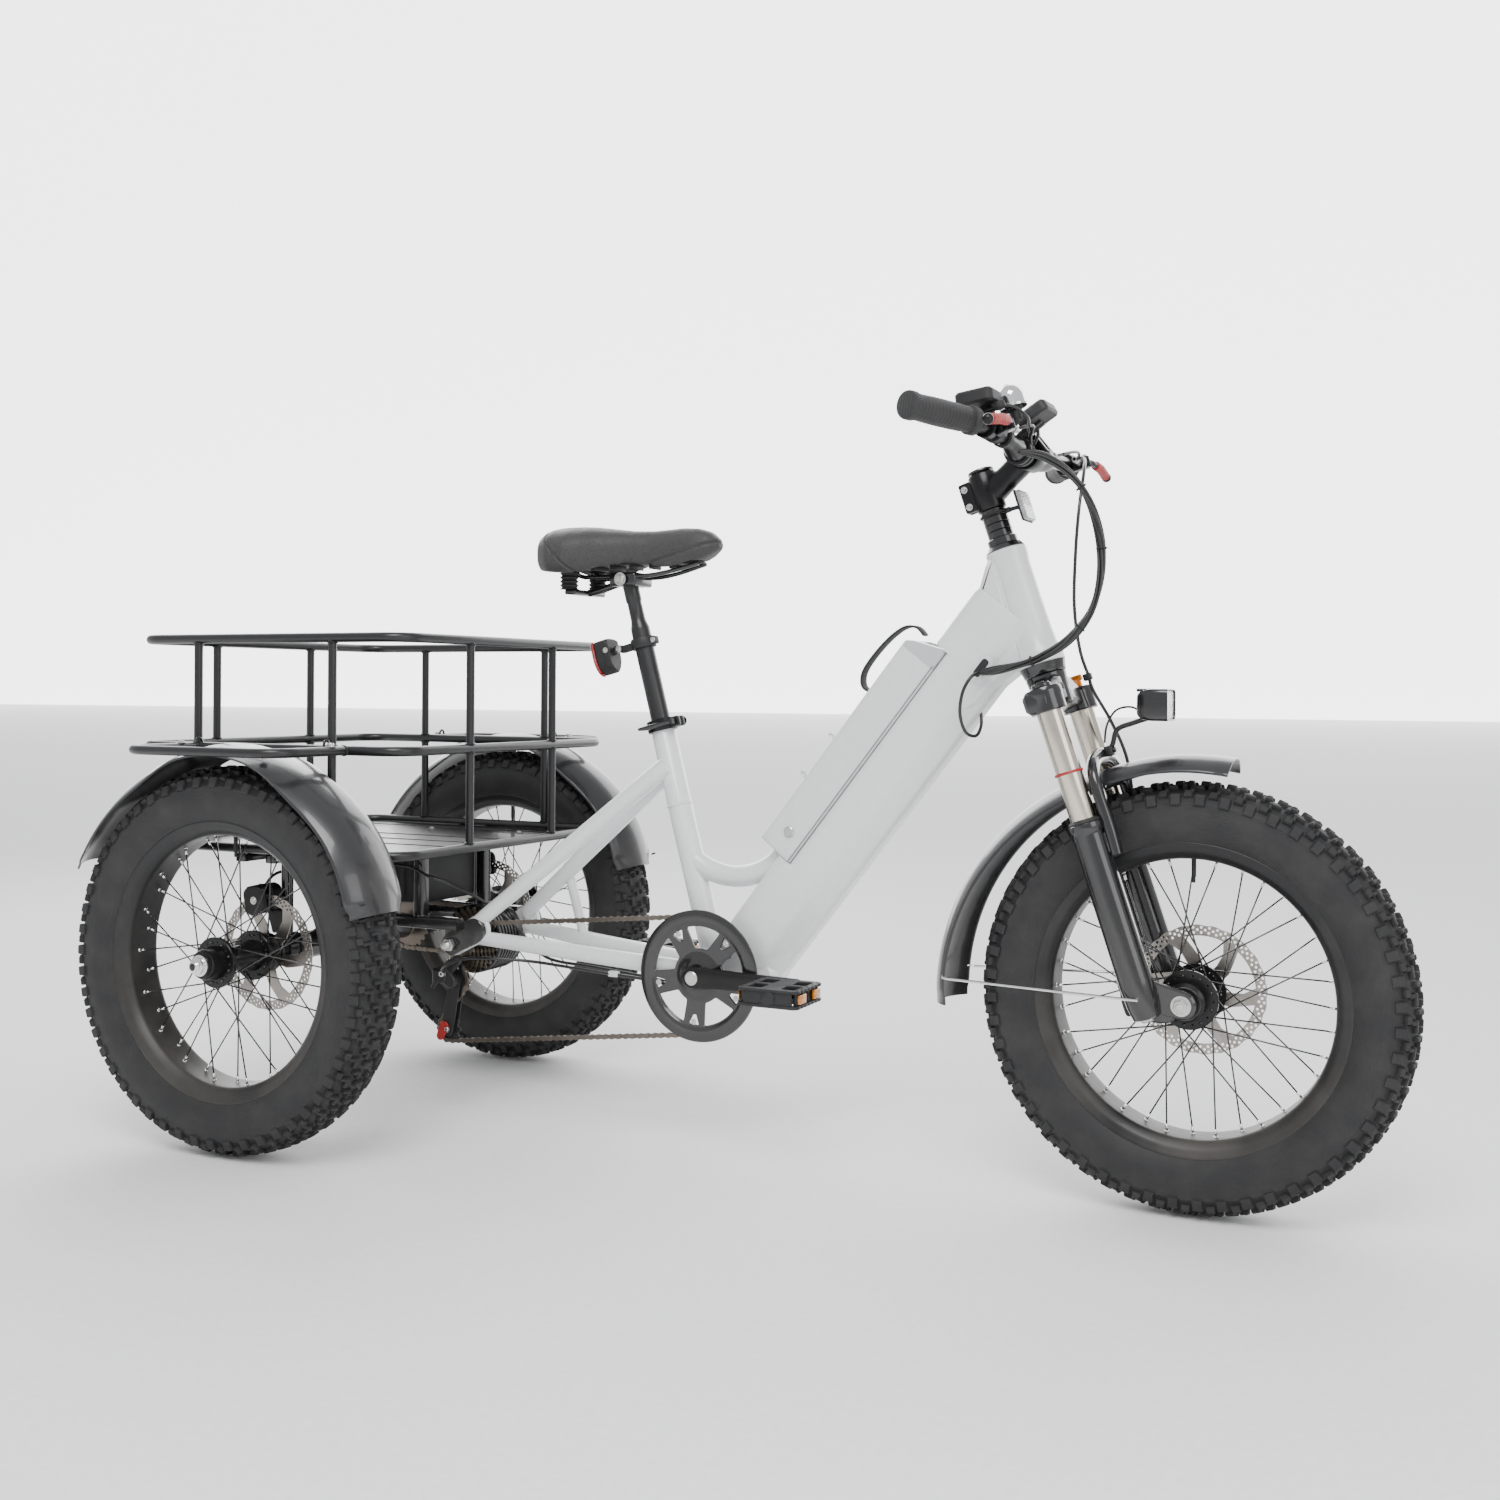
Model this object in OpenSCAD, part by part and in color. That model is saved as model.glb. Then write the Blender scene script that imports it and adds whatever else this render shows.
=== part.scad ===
// Electric cargo tricycle for an adult: step-through frame with a battery in the down tube,
// suspension fork, three fat-tyred wheels with disc brakes, and a cargo basket over the rear axle.
// Millimetres. +X points forward, +Y to the rider's left, +Z up. The origin is on the ground,
// halfway between the front axle and the rear axle, in the tricycle's middle plane.

/* [Wheels] */
// Outside diameter of each tyre
tyre_d = 584; // [574:1:590]
// Width of each tyre
tyre_w = 100; // [84:1:104]
// Diameter of the seat that the tyre's bead grips
bead_d = 406; // [400:1:420]
// Outside width of each rim
rim_w = 78; // [64:1:80]
// Depth of the rim from its bead seat to the spoke face
rim_depth = 15; // [10:1:24]
// Diameter of each brake rotor
rotor_d = 180; // [160:1:203]
// Number of spokes in a wheel, a multiple of four
spoke_count = 36; // [28:4:40]
// Diameter of a spoke
spoke_d = 2.5; // [2:0.1:2.6]
// Diameter of the threaded stub at each rear axle's outer end
stub_d = 15; // [12:1:17]

/* [Layout] */
// Distance between the front axle and the rear axle
wheelbase = 1360; // [1345:5:1420]
// Distance between the middles of the rear tyres
track = 716; // [708:2:780]
// Angle of the head tube from the ground
head_angle = 71.4; // [70.5:0.1:72.5]
// Angle of the seat tube from the ground
seat_angle = 75; // [74:0.5:76]
// Distance from the rear axle forward to the crank's axis
crank_x = 633; // [625:1:640]
// Height of the crank's axis
crank_z = 270; // [264:1:276]

/* [Fork] */
// Distance from the steering axis forward to the front axle
fork_offset = 59; // [54:1:64]
// Distance from the middle plane to each fork leg's axis
leg_y = 83; // [82:1:92]
// Diameter of the sliding inner legs
stanchion_d = 36; // [30:1:38]
// Diameter of the outer legs
lower_d = 46; // [42:1:48]
// Stroke of the fork
fork_travel = 60; // [40:5:60]
// Diameter of the steerer
steerer_d = 28.6; // [25.4:0.1:30]
// Diameter of the front axle
front_axle_d = 15; // [12:1:18]

/* [Frame] */
// Width of the down tube
down_w = 76; // [70:1:84]
// Depth of the down tube seen from the side
down_h = 112; // [106:1:118]
// Wall of the down tube
down_wall = 3; // [2:0.5:5]
// Outside diameter of the seat tube
seat_tube_d = 38; // [36:0.5:44]
// Length of the seat tube above the crank's axis
seat_tube_l = 395; // [370:5:420]
// Diameter of the seat post
post_d = 30; // [25:0.5:31]
// Exposed length of the seat post up to the saddle clamp
post_up = 220; // [180:5:260]
// Diameter of the crank's spindle
spindle_d = 18; // [15:1:22]

/* [Handlebar] */
// Diameter of the bar where the stem holds it
bar_mid_d = 31.8; // [25.4:0.1:31.8]
// Diameter of the bar where the controls sit
bar_d = 22.2; // [20:0.1:24]
// Distance from the middle plane to each end of the bar
bar_half = 335; // [325:5:360]
// Diameter of each grip
grip_d = 34; // [30:1:36]

/* [Drivetrain] */
// Teeth on the chainring
ring_teeth = 44; // [42:1:46]
// Teeth on the cog that the chain is on
cog_teeth = 14; // [13:1:14]
// Teeth on the two sprockets of the axle drive
drive_teeth = 20; // [18:1:21]
// Length of each crank arm
crank_l = 170; // [160:1:175]
// Length of each pedal
pedal_l = 94; // [80:1:100]
// Width of each pedal
pedal_w = 88; // [80:1:96]

/* [Basket] */
// Length of the basket
basket_l = 531; // [500:1:560]
// Width of the basket
basket_w = 570; // [540:2:580]
// Height of the basket's floor rail
basket_z = 450; // [446:1:456]
// Height of the basket from its floor rail to its top rail
basket_h = 328; // [280:2:360]
// Diameter of the basket's tubes
basket_d = 15; // [12:1:16]
// Distance of each guard rail outside the centre of its wheel
guard_out = 80; // [76:1:92]
// Distance along the tricycle between the crate holes in the basket's floor
crate_l = 120; // [100:5:120]
// Distance across the tricycle between the crate holes
crate_w = 300; // [200:10:400]

/* [Hidden] */
$fn = 48;

// Clearances
run = 0.06;    // radial play of a shaft that turns or slides in its bore
apart = 0.4;   // gap between faces on bodies that move past each other
rest = 0.05;   // gap between two pieces of one body

// Places that follow from the driving sizes
axle_z = tyre_d / 2;
rear_y = track / 2;
caster = 90 - head_angle;
steer_x = wheelbase - fork_offset * cos(caster);
steer_z = axle_z - fork_offset * sin(caster);
flange_r = bead_d / 2 + 8;
rim_in_r = bead_d / 2 - rim_depth;

// Heights along the steering axis, from the point nearest to the front axle
lower_top = 262;
crown_low = 421;
crown_leg = 453;
crown_top = 477.6;
head_low = 493;
head_high = 664;
spacer_low = 672.4;
stem_low = 726;
stem_high = 780;
leg_x = 12;

// The rear end
shell_y = 42;
hub_x = 190;
hub_z = 289;
hub_r = 56;
plate_y = 66;
plate_t = 8;
rail_y = 84;
chain_y = -54;
drive_y = 50;
housing_r = 22;
housing_end = rear_y - 96;
rear_axle_r = 10;
rotor_in = 68;
floor_t = 2.5;
floor_low = basket_z - basket_d / 2;
floor_top = floor_low + floor_t;
basket_x0 = -281;
basket_x1 = basket_x0 + basket_l;
hoop_bend = 45;
crate_x = 25;
crate_hole_d = 6.4;
basket_top = basket_z + basket_h;
basket_mid = basket_z + 157;
basket_y = basket_w / 2;
guard_y = rear_y + guard_out;

// The drive
pitch = 12.7;
function sprocket_r(teeth) = pitch / (2 * sin(180 / teeth));
ring_r = sprocket_r(ring_teeth);
cog_r = sprocket_r(cog_teeth);
drive_r = sprocket_r(drive_teeth);
pulley_r = sprocket_r(10);
guide_xz = [183, 226];
tension_xz = [168, 146];
tooth_t = 2.4;
guard_r = ring_r + 11;

// The down tube's lower edge starts here and climbs at this angle
down_a = 52;
down_x = 749;
down_z = 271;
bat_t0 = 150;
bat_t1 = 548;
bat_w0 = 90;
bat_w1 = 152;

// ---------------------------------------------------------------- helpers

module to_origin() translate([-wheelbase / 2, 0, 0]) children();
module steer_axes() translate([steer_x, 0, steer_z]) rotate([0, -caster, 0]) children();
module seat_axes() translate([crank_x, 0, crank_z]) rotate([0, seat_angle - 90, 0]) children();
module down_axes() translate([down_x, 0, down_z]) rotate([0, -down_a, 0]) children();
module at_front() translate([wheelbase, 0, axle_z]) children();
module at_right() translate([0, -rear_y, axle_z]) children();
module at_left() translate([0, rear_y, axle_z]) children();
module both_sides() { children(); mirror([0, 1, 0]) children(); }

// A round rod from a to b, which may taper
module rod(a, b, r, r_end) {
  v = b - a;
  len = norm(v);
  translate(a) rotate([0, acos(v.z / len), atan2(v.y, v.x)])
    cylinder(h = len, r1 = r, r2 = is_undef(r_end) ? r : r_end);
}

// A disc or sleeve whose axis is along Y, from y0 to y1
module disc(r, y0, y1) translate([0, y0, 0]) rotate([-90, 0, 0]) cylinder(h = y1 - y0, r = r);

// A plate drawn in the side view, from y0 to y1
module side_plate(points, y0, y1)
  translate([0, y1, 0]) rotate([90, 0, 0]) linear_extrude(y1 - y0) polygon(points);

// A box between two corners
module block(a, b) translate(a) cube(b - a);

// A turned piece about Y, from a section of [radius, place along Y]
module turned(section, sweep = 360)
  rotate([-90, 0, 0]) rotate_extrude(angle = sweep, $fn = 96) polygon([for (p = section) [p[0], p[1]]]);

// Outline of a bar with two round ends of different radii
function bar_outline(len, r0, r1) = let (a = asin((r0 - r1) / len))
  [[r0 * sin(a), r0 * cos(a)], [len + r1 * sin(a), r1 * cos(a)],
   [len + r1 * sin(a), -r1 * cos(a)], [r0 * sin(a), -r0 * cos(a)]];

// A flat link in the side view between two points, with a round boss at each
module link(a, b, r0, r1, y0, y1) {
  v = b - a;
  translate([a.x, 0, a.y]) rotate([0, -atan2(v.y, v.x), 0]) {
    side_plate(bar_outline(norm(v), r0, r1), y0, y1);
    disc(r0, y0, y1);
    translate([norm(v), 0, 0]) disc(r1, y0, y1);
  }
}

// A rectangle with rounded corners as points, from its low corner to its high corner
function soft_rect(x0, y0, x1, y1, r, n = 5) =
  [for (c = [[x1 - r, y1 - r, 0], [x0 + r, y1 - r, 90], [x0 + r, y0 + r, 180], [x1 - r, y0 + r, 270]])
    for (i = [0:n]) [c[0] + r * cos(c[2] + 90 * i / n), c[1] + r * sin(c[2] + 90 * i / n)]];

// ---------------------------------------------------------------- belts and chains

// Each wheel of a chain's path is [x, z, radius, turn], with turn +1 for anticlockwise
function heading(a, b) = let (d = [b[0] - a[0], b[1] - a[1]])
  atan2(d.y, d.x) - asin((b[3] * b[2] - a[3] * a[2]) / norm(d));
function side_r(w, off) = w[2] - w[3] * off;
function grown(path, off) = [for (w = path) [w[0], w[1], side_r(w, off), w[3]]];
function sweep_of(from, to, turn) = turn > 0 ? (to - from + 720) % 360 : -((from - to + 720) % 360);
function chain_points(path, off, n = 14) = let (p = grown(path, off), m = len(p))
  [for (i = [0:m - 1])
    let (w = p[i], a0 = heading(p[(i + m - 1) % m], w) - 90 * w[3],
         a1 = heading(w, p[(i + 1) % m]) - 90 * w[3], s = sweep_of(a0, a1, w[3]))
      for (k = [0:n]) [w[0] + w[2] * cos(a0 + s * k / n), w[1] + w[2] * sin(a0 + s * k / n)]];

// Two side plates that run the whole way round, with pins on the long straight runs
module chain_loop(path, y, runs) {
  for (s = [-1, 1])
    difference() {
      side_plate(chain_points(path, 4), y + s * 2.3 - 0.7, y + s * 2.3 + 0.7);
      side_plate(chain_points(path, -4), y + s * 2.3 - 2, y + s * 2.3 + 2);
    }
  m = len(path);
  for (i = runs) {
    a = path[i];
    b = path[(i + 1) % m];
    h = heading(a, b);
    p = [a[0], a[1]] + a[2] * [cos(h - 90 * a[3]), sin(h - 90 * a[3])];
    q = [b[0], b[1]] + b[2] * [cos(h - 90 * b[3]), sin(h - 90 * b[3])];
    len = norm(q - p);
    for (d = [40:4 * pitch:len - 40])
      translate([p.x + d * cos(h), 0, p.y + d * sin(h)]) disc(2.5, y - 2.3, y + 2.3);
  }
}

main_path = [[crank_x, crank_z, ring_r, -1], [tension_xz.x, tension_xz.y, pulley_r, -1],
  [guide_xz.x, guide_xz.y, pulley_r, 1], [hub_x, hub_z, cog_r, -1]];
drive_path = [[hub_x, hub_z, drive_r, -1], [0, axle_z, drive_r, -1]];

// A toothed disc about Y
module sprocket(teeth, y, bore_r) {
  r = sprocket_r(teeth);
  root = r - 3.4;
  tip = r + 2.2;
  step = 360 / teeth;
  difference() {
    side_plate([for (i = [0:teeth - 1]) for (k = [[root, -0.34], [tip, -0.12], [tip, 0.12], [root, 0.34]])
      k[0] * [cos(step * (i + k[1])), sin(step * (i + k[1]))]], y - tooth_t / 2, y + tooth_t / 2);
    disc(bore_r, y - tooth_t, y + tooth_t);
  }
}

// ---------------------------------------------------------------- cables

// A cable swept along its points as one closed skin, each ring square to the path
function unit(v) = v / norm(v);
function tangent(p, i) = unit(p[min(i + 1, len(p) - 1)] - p[max(i - 1, 0)]);
function ring_axes(t) = let (u = unit(cross(t, abs(t.y) < 0.9 ? [0, 1, 0] : [1, 0, 0]))) [u, cross(t, u)];
function spline_at(p, i, t) = let (a = p[max(i - 1, 0)], b = p[i], c = p[i + 1],
  d = p[min(i + 2, len(p) - 1)])
  0.5 * (2 * b + (c - a) * t + (2 * a - 5 * b + 4 * c - d) * t * t + (3 * b - a - 3 * c + d) * t * t * t);
function smooth(p, n) = concat([for (i = [0:len(p) - 2]) for (k = [0:n - 1]) spline_at(p, i, k / n)],
  [p[len(p) - 1]]);
module cable(route, r, steps = 4, sides = 8) {
  p = smooth(route, steps);
  n = len(p);
  points = [for (i = [0:n - 1]) let (f = ring_axes(tangent(p, i)))
    for (k = [0:sides - 1]) p[i] + r * (cos(360 * k / sides) * f[0] + sin(360 * k / sides) * f[1])];
  walls = [for (i = [0:n - 2]) for (k = [0:sides - 1]) let (a = i * sides + k,
    b = i * sides + (k + 1) % sides) [a, a + sides, b + sides, b]];
  ends = [[for (k = [0:sides - 1]) k], [for (k = [sides - 1:-1:0]) (n - 1) * sides + k]];
  polyhedron(points, concat(walls, ends), convexity = 6);
}

// Routes, in the tricycle's side view from the rear axle: X forward, Y left, Z up
bundle_route = [[1146, -112, 1026], [1172, -84, 1022], [1200, -52, 1000], [1222, -34, 962],
  [1236, -28, 912], [1238, -32, 862], [1226, -42, 812], [1198, -54, 772], [1160, -62, 748],
  [1120, -60, 737], [1090, -52, 731], [1070, -42, 728]];
shift_route = [[560, -28, 246], [520, -34, 252], [470, -40, 256], [400, -48, 262], [330, -58, 268],
  [270, -84, 272], [220, -92, 268], [182, -88, 252], [168, -72, 238]];
brake_route = [[560, -14, 246], [500, -18, 254], [420, -24, 262], [340, -32, 272], [285, -38, 318],
  [240, -50, 352], [190, -80, 385], [162, -106, 400], [120, -118, 416], [40, -180, 420],
  [-24, -236, 410], [-26, -268, 392]];

// ---------------------------------------------------------------- wheels

tyre_half = [[0, 0], [0.4, 0], [0.7, 0.012], [0.86, 0.04], [0.95, 0.11], [1, 0.34], [0.985, 0.52],
  [0.9, 0.76], [0.78, 0.9], [0.72, 0.995]];

// Tyre casing: a hollow ring that grips the rim's bead seats and is open towards the rim
module tyre() color("dimgray") {
  high = tyre_d / 2;
  span = high - flange_r;
  wall = 4;
  bead_y = rim_w / 2 - 3 - rest;
  outside = [for (p = tyre_half) [high - p[1] * span, p[0] * tyre_w / 2]];
  inside = [for (p = tyre_half) [high - 9 - p[1] * (span - 9), max(0, p[0] * tyre_w / 2 - wall)]];
  n = len(tyre_half) - 1;
  half = concat(outside, [[flange_r + 0.2, bead_y], [bead_d / 2 + rest, bead_y],
    [bead_d / 2 + rest, bead_y - wall]], [for (i = [n:-1:0]) inside[i]]);
  back = [for (i = [len(half) - 1:-1:0]) [half[i][0], -half[i][1]]];
  turned(concat(half, [for (p = back) if (p[1] != 0) p]));
}

// Rim: two flanges, a bead seat on each side and a shallow box below
module rim() color("black") {
  w = rim_w / 2;
  r = bead_d / 2;
  turned([[flange_r, w], [flange_r, w - 3], [r, w - 3], [r, w - 14], [r - 7, w - 18], [r - 7, -(w - 18)],
    [r, -(w - 14)], [r, -(w - 3)], [flange_r, -(w - 3)], [flange_r, -w], [r - 4, -w],
    [rim_in_r, -(w - 14)], [rim_in_r, w - 14], [r - 4, w]]);
}

// Spokes: half of them from each flange, crossing their neighbours three times
module spokes(flange_y, hole_r) {
  per_side = spoke_count / 2;
  for (side = [-1, 1])
    for (i = [0:per_side - 1]) {
      lean = i % 2 == 0 ? 1 : -1;
      rim_a = 360 * i / per_side + (side > 0 ? 180 / per_side : 0);
      hub_a = rim_a + lean * 62;
      y0 = side * (flange_y + lean * 2.4);
      rod([hole_r * cos(hub_a), y0, hole_r * sin(hub_a)],
        [(rim_in_r + 1) * cos(rim_a), side * 6, (rim_in_r + 1) * sin(rim_a)], spoke_d / 2, $fn = 16);
    }
}

// Brake rotor about Y, centred on y: a braking band carried by six arms
module rotor(y) color("silver") {
  r = rotor_d / 2;
  band = 15;
  difference() {
    union() {
      difference() {
        disc(r, y - 1, y + 1);
        disc(r - band, y - 2, y + 2);
      }
      disc(31, y - 1, y + 1);
      for (a = [0:60:300])
        rotate([0, a, 0]) side_plate([[26, -4], [r - band + 2, -12], [r - band + 2, -4], [26, 4]], y - 1, y + 1);
    }
    disc(22, y - 2, y + 2);
  }
}

module wheel_hub(flange_y, body_r, y0, y1, seat_y) {
  disc(body_r, y0, y1);
  for (s = [-1, 1]) disc(body_r + 15, s * flange_y - 4, s * flange_y + 4);
  disc(30, min(seat_y, 0), max(seat_y, 0));
}

module front_tyre() to_origin() at_front() tyre();
module front_rim() to_origin() at_front() rim();
module front_hub() to_origin() at_front() color("black") {
  difference() {
    wheel_hub(30, 24, -66, 66, 53.9);
    disc(front_axle_d / 2 + run, -80, 80);
  }
  spokes(30, 33);
}
module front_rotor() to_origin() at_front() difference() {
  rotor(55);
  disc(24 + rest, 50, 60);
}

// A rear wheel's hub is fixed on its own axle, which turns inside the subframe's housing
module rear_hub(inner_end) color("black") {
  wheel_hub(38, 22, -66.9, 70, -66.9);
  disc(rear_axle_r, -(rear_y - inner_end), 70);
  disc(12.5, 69, 77);
  disc(stub_d / 2, 76, 85.4);
  spokes(38, 30);
}
module right_tyre() to_origin() at_right() tyre();
module right_rim() to_origin() at_right() rim();
module right_hub() to_origin() at_right() mirror([0, 1, 0]) rear_hub(150);
module right_rotor() to_origin() at_right() mirror([0, 1, 0]) rotor(-rotor_in);
module left_tyre() to_origin() at_left() tyre();
module left_rim() to_origin() at_left() rim();
module left_hub() to_origin() {
  at_left() rear_hub(14);
  translate([0, 0, axle_z]) color("dimgray") {
    sprocket(drive_teeth, drive_y, rear_axle_r - 1);
    disc(18, drive_y - 8, drive_y + 8);
  }
}
module left_rotor() to_origin() at_left() rotor(-rotor_in);

// ---------------------------------------------------------------- frame

// Outline of the down tube in the side view, from the crank shell to the head tube
function down_point(t, w) = [down_x + t * cos(down_a) - w * sin(down_a),
  down_z + t * sin(down_a) + w * cos(down_a)];
head_foot = [steer_x - head_low * sin(caster), steer_z + head_low * cos(caster)];
head_tip = [steer_x - head_high * sin(caster), steer_z + head_high * cos(caster)];

module down_box(inset) {
  front = 652;
  difference() {
    down_axes() rotate([90, 0, 90])
      translate([0, 0, -6 + inset]) linear_extrude(front - inset)
        polygon(soft_rect(-down_w / 2 + inset, inset, down_w / 2 - inset, down_h - inset, 14 - inset));
    down_axes() block([bat_t0 - inset, -down_w, bat_w0 - inset], [bat_t1 + inset, down_w, down_h + 10]);
  }
}

module crank_lug(inset) {
  side_plate([[crank_x + 4, crank_z - 22 + inset], [down_x - 12, down_z - 16 + inset],
    down_point(4, inset + 1), down_point(30, down_h - inset - 2), [crank_x + 10, crank_z + 42 - inset]],
    -down_w / 2 + 8 + inset, down_w / 2 - 8 - inset);
}

// The seat stays leave the seat tube at this point of the side view
stay_s = seat_tube_l - 70;
stay_top = [crank_x - stay_s * cos(seat_angle), crank_z + stay_s * sin(seat_angle)];

module main_frame() to_origin() color("white") {
  stay_r = 11;
  difference() {
    union() {
      down_box(0);
      crank_lug(0);
      // Gusset that joins the down tube to the lower end of the head tube
      side_plate([down_point(470, 2), down_point(534, 0), head_foot + [-12, 4], head_tip + [-6, -14],
        down_point(650, down_h - 4), down_point(520, down_h - 30)], -27, 27);
      steer_axes() translate([0, 0, head_low]) cylinder(h = head_high - head_low, r1 = 34, r2 = 28);
      seat_axes() cylinder(h = seat_tube_l, r = seat_tube_d / 2);
      translate([crank_x, 0, crank_z]) disc(25, -shell_y, shell_y);
      // Sagging brace between the seat tube and the down tube
      translate([crank_x + 28, 0, crank_z + 262]) rotate([90, 0, 0]) rotate([0, 0, 228])
        rotate_extrude(angle = 92) translate([116, 0]) circle(r = 17);
      both_sides() {
        rod([crank_x - 28, 26, crank_z + 2], [hub_x + 40, plate_y + 4, hub_z + 12], 13, stay_r);
        rod([stay_top.x, 12, stay_top.y], [hub_x + 38, plate_y + 4, hub_z + 32], 16, stay_r);
        link([hub_x + 44, hub_z + 24], [hub_x, hub_z], 24, 20, plate_y, plate_y + plate_t);
      }
      rod([354, 56, hub_z + 10], [324, 58, hub_z + 108], 8);
    }
    // Inside of the down tube
    down_box(down_wall);
    crank_lug(6);
    // Bores for the headset, the seat post, the bottom bracket and the middle axle
    steer_axes() translate([0, 0, head_low - 20]) cylinder(h = head_high - head_low + 40, r = 22);
    seat_axes() translate([0, 0, 60]) cylinder(h = seat_tube_l, r = post_d / 2 + run);
    translate([crank_x, 0, crank_z]) disc(20, -shell_y - 5, shell_y + 5);
    translate([hub_x, 0, hub_z]) disc(6 + rest, -100, 100);
    // Room for the lower headset cup
    steer_axes() translate([0, 0, head_low - 20]) cylinder(h = 20, r = 33 + apart);
    // Flat outer faces of the dropouts, for the subframe's plates
    both_sides() block([hub_x - 40, plate_y + plate_t, hub_z - 60], [hub_x + 72, plate_y + plate_t + 20, hub_z + 72]);
  }
}

module headset() to_origin() steer_axes() color("black") difference() {
  union() {
    translate([0, 0, crown_top + apart]) cylinder(h = head_low - crown_top - apart - rest, r1 = 30, r2 = 33);
    translate([0, 0, head_low - 1]) cylinder(h = 14, r = 22 - rest);
    translate([0, 0, head_high + rest]) cylinder(h = spacer_low - head_high - apart - rest, r1 = 28, r2 = 25);
    translate([0, 0, head_high - 14]) cylinder(h = 15, r = 22 - rest);
  }
  translate([0, 0, crown_top]) cylinder(h = 240, r = steerer_d / 2 + run);
}

module bottom_bracket() to_origin() translate([crank_x, 0, crank_z]) color("dimgray") difference() {
  union() {
    disc(20 - rest, -shell_y - 1, shell_y + 1);
    both_sides() disc(22, shell_y + rest, shell_y + 4);
  }
  disc(spindle_d / 2 + run, -50, 50);
}

module battery() to_origin() down_axes() color("whitesmoke") {
  gap = 0.3;
  wide = down_w / 2 - 1;
  difference() {
    rotate([90, 0, 90]) translate([0, 0, bat_t0 + gap]) linear_extrude(bat_t1 - bat_t0 - 2 * gap)
      polygon(soft_rect(-wide, bat_w0 + gap, wide, bat_w1, 9));
    // Slanted end faces
    translate([bat_t1, 0, bat_w1]) rotate([0, 35, 0]) block([-60, -60, 0], [60, 60, 60]);
  }
}

module seat_collar() to_origin() seat_axes() color("black") difference() {
  union() {
    translate([0, 0, seat_tube_l - 16]) cylinder(h = 20, r = seat_tube_d / 2 + 4.5);
    block([seat_tube_d / 2, -12, seat_tube_l - 14], [seat_tube_d / 2 + 18, 12, seat_tube_l + 2]);
    translate([seat_tube_d / 2 + 11, 0, seat_tube_l - 6]) disc(3, -17.5, 17);
  }
  translate([0, 0, seat_tube_l - 20]) cylinder(h = 20 + rest, r = seat_tube_d / 2 + rest);
  translate([0, 0, seat_tube_l - 30]) cylinder(h = 60, r = post_d / 2 + run);
  block([seat_tube_d / 2 - 6, -1, seat_tube_l - 30], [seat_tube_d / 2 + 8, 1, seat_tube_l + 20]);
}

// ---------------------------------------------------------------- rear end

module rear_subframe() to_origin() color("black") {
  rail = 20;
  rail_z = axle_z + 30;
  foot_x = 132;
  top_z = floor_low - rest;
  cross_y = max(basket_y + 3, housing_end - 2);
  difference() {
    union() {
      translate([0, 0, axle_z]) {
        disc(housing_r, -housing_end, drive_y - 16);
        disc(housing_r, drive_y + 16, housing_end);
      }
      both_sides() {
        block([-70, rail_y - 10, rail_z - 10], [hub_x + 20, rail_y + 10, rail_z + 10]);
        link([hub_x + 44, hub_z + 24], [hub_x, hub_z], 20, 18, plate_y + plate_t + rest, rail_y);
        for (x = [-60, foot_x])
          block([x - 10, rail_y - 10, rail_z], [x + 10, rail_y + 10, top_z]);
        rod([0, housing_end - 14, axle_z], [0, housing_end - 14, top_z - 4], 10);
      }
      for (x = [-60, foot_x, 0])
        block([x - 10, -cross_y, top_z - 14], [x + 10, cross_y, top_z]);
    }
    translate([0, 0, axle_z]) disc(rear_axle_r + run, -housing_end - 5, housing_end + 5);
    translate([hub_x, 0, hub_z]) disc(6 + rest, -100, 100);
  }
  // Fixed axle of the middle hub, with its nuts
  translate([hub_x, 0, hub_z]) {
    disc(6, -102, 102);
    both_sides() disc(11, rail_y + rest, rail_y + 10);
  }
}

// A rectangular hoop of tube with round corners, at height z
module hoop(x0, x1, y, z, bend, r) {
  for (s = [-1, 1]) {
    rod([x0 + bend, s * y, z], [x1 - bend, s * y, z], r);
    x = s < 0 ? x0 : x1;
    rod([x, -y + bend, z], [x, y - bend, z], r);
  }
  for (c = [[x1 - bend, y - bend, 0], [x0 + bend, y - bend, 90], [x0 + bend, -y + bend, 180],
            [x1 - bend, -y + bend, 270]])
    translate([c[0], c[1], z]) rotate([0, 0, c[2]]) rotate_extrude(angle = 90) translate([bend, 0]) circle(r = r);
}

module basket() to_origin() color("black") {
  r = basket_d / 2;
  guard_x = 150;
  bend = 42;
  for (z = [basket_z, basket_mid, basket_top]) hoop(basket_x0, basket_x1, basket_y, z, hoop_bend, r);
  for (s = [-1, 1]) {
    for (x = [-151, 120]) rod([x, s * basket_y, basket_z], [x, s * basket_y, basket_top], r - 0.4);
    for (x = [basket_x0, basket_x1]) rod([x, s * 115, basket_z], [x, s * 115, basket_top], r - 0.4);
  }
  // Guards that carry the fenders
  both_sides() {
    for (x = [-1, 1]) {
      rod([x * guard_x, basket_y, basket_mid], [x * guard_x, guard_y - bend, basket_mid], r - 0.4);
      translate([x * (guard_x - bend), guard_y - bend, basket_mid]) rotate([0, 0, x > 0 ? 0 : 90])
        rotate_extrude(angle = 90) translate([bend, 0]) circle(r = r - 0.4);
    }
    rod([-guard_x + bend, guard_y, basket_mid], [guard_x - bend, guard_y, basket_mid], r - 0.4);
  }
}

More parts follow.
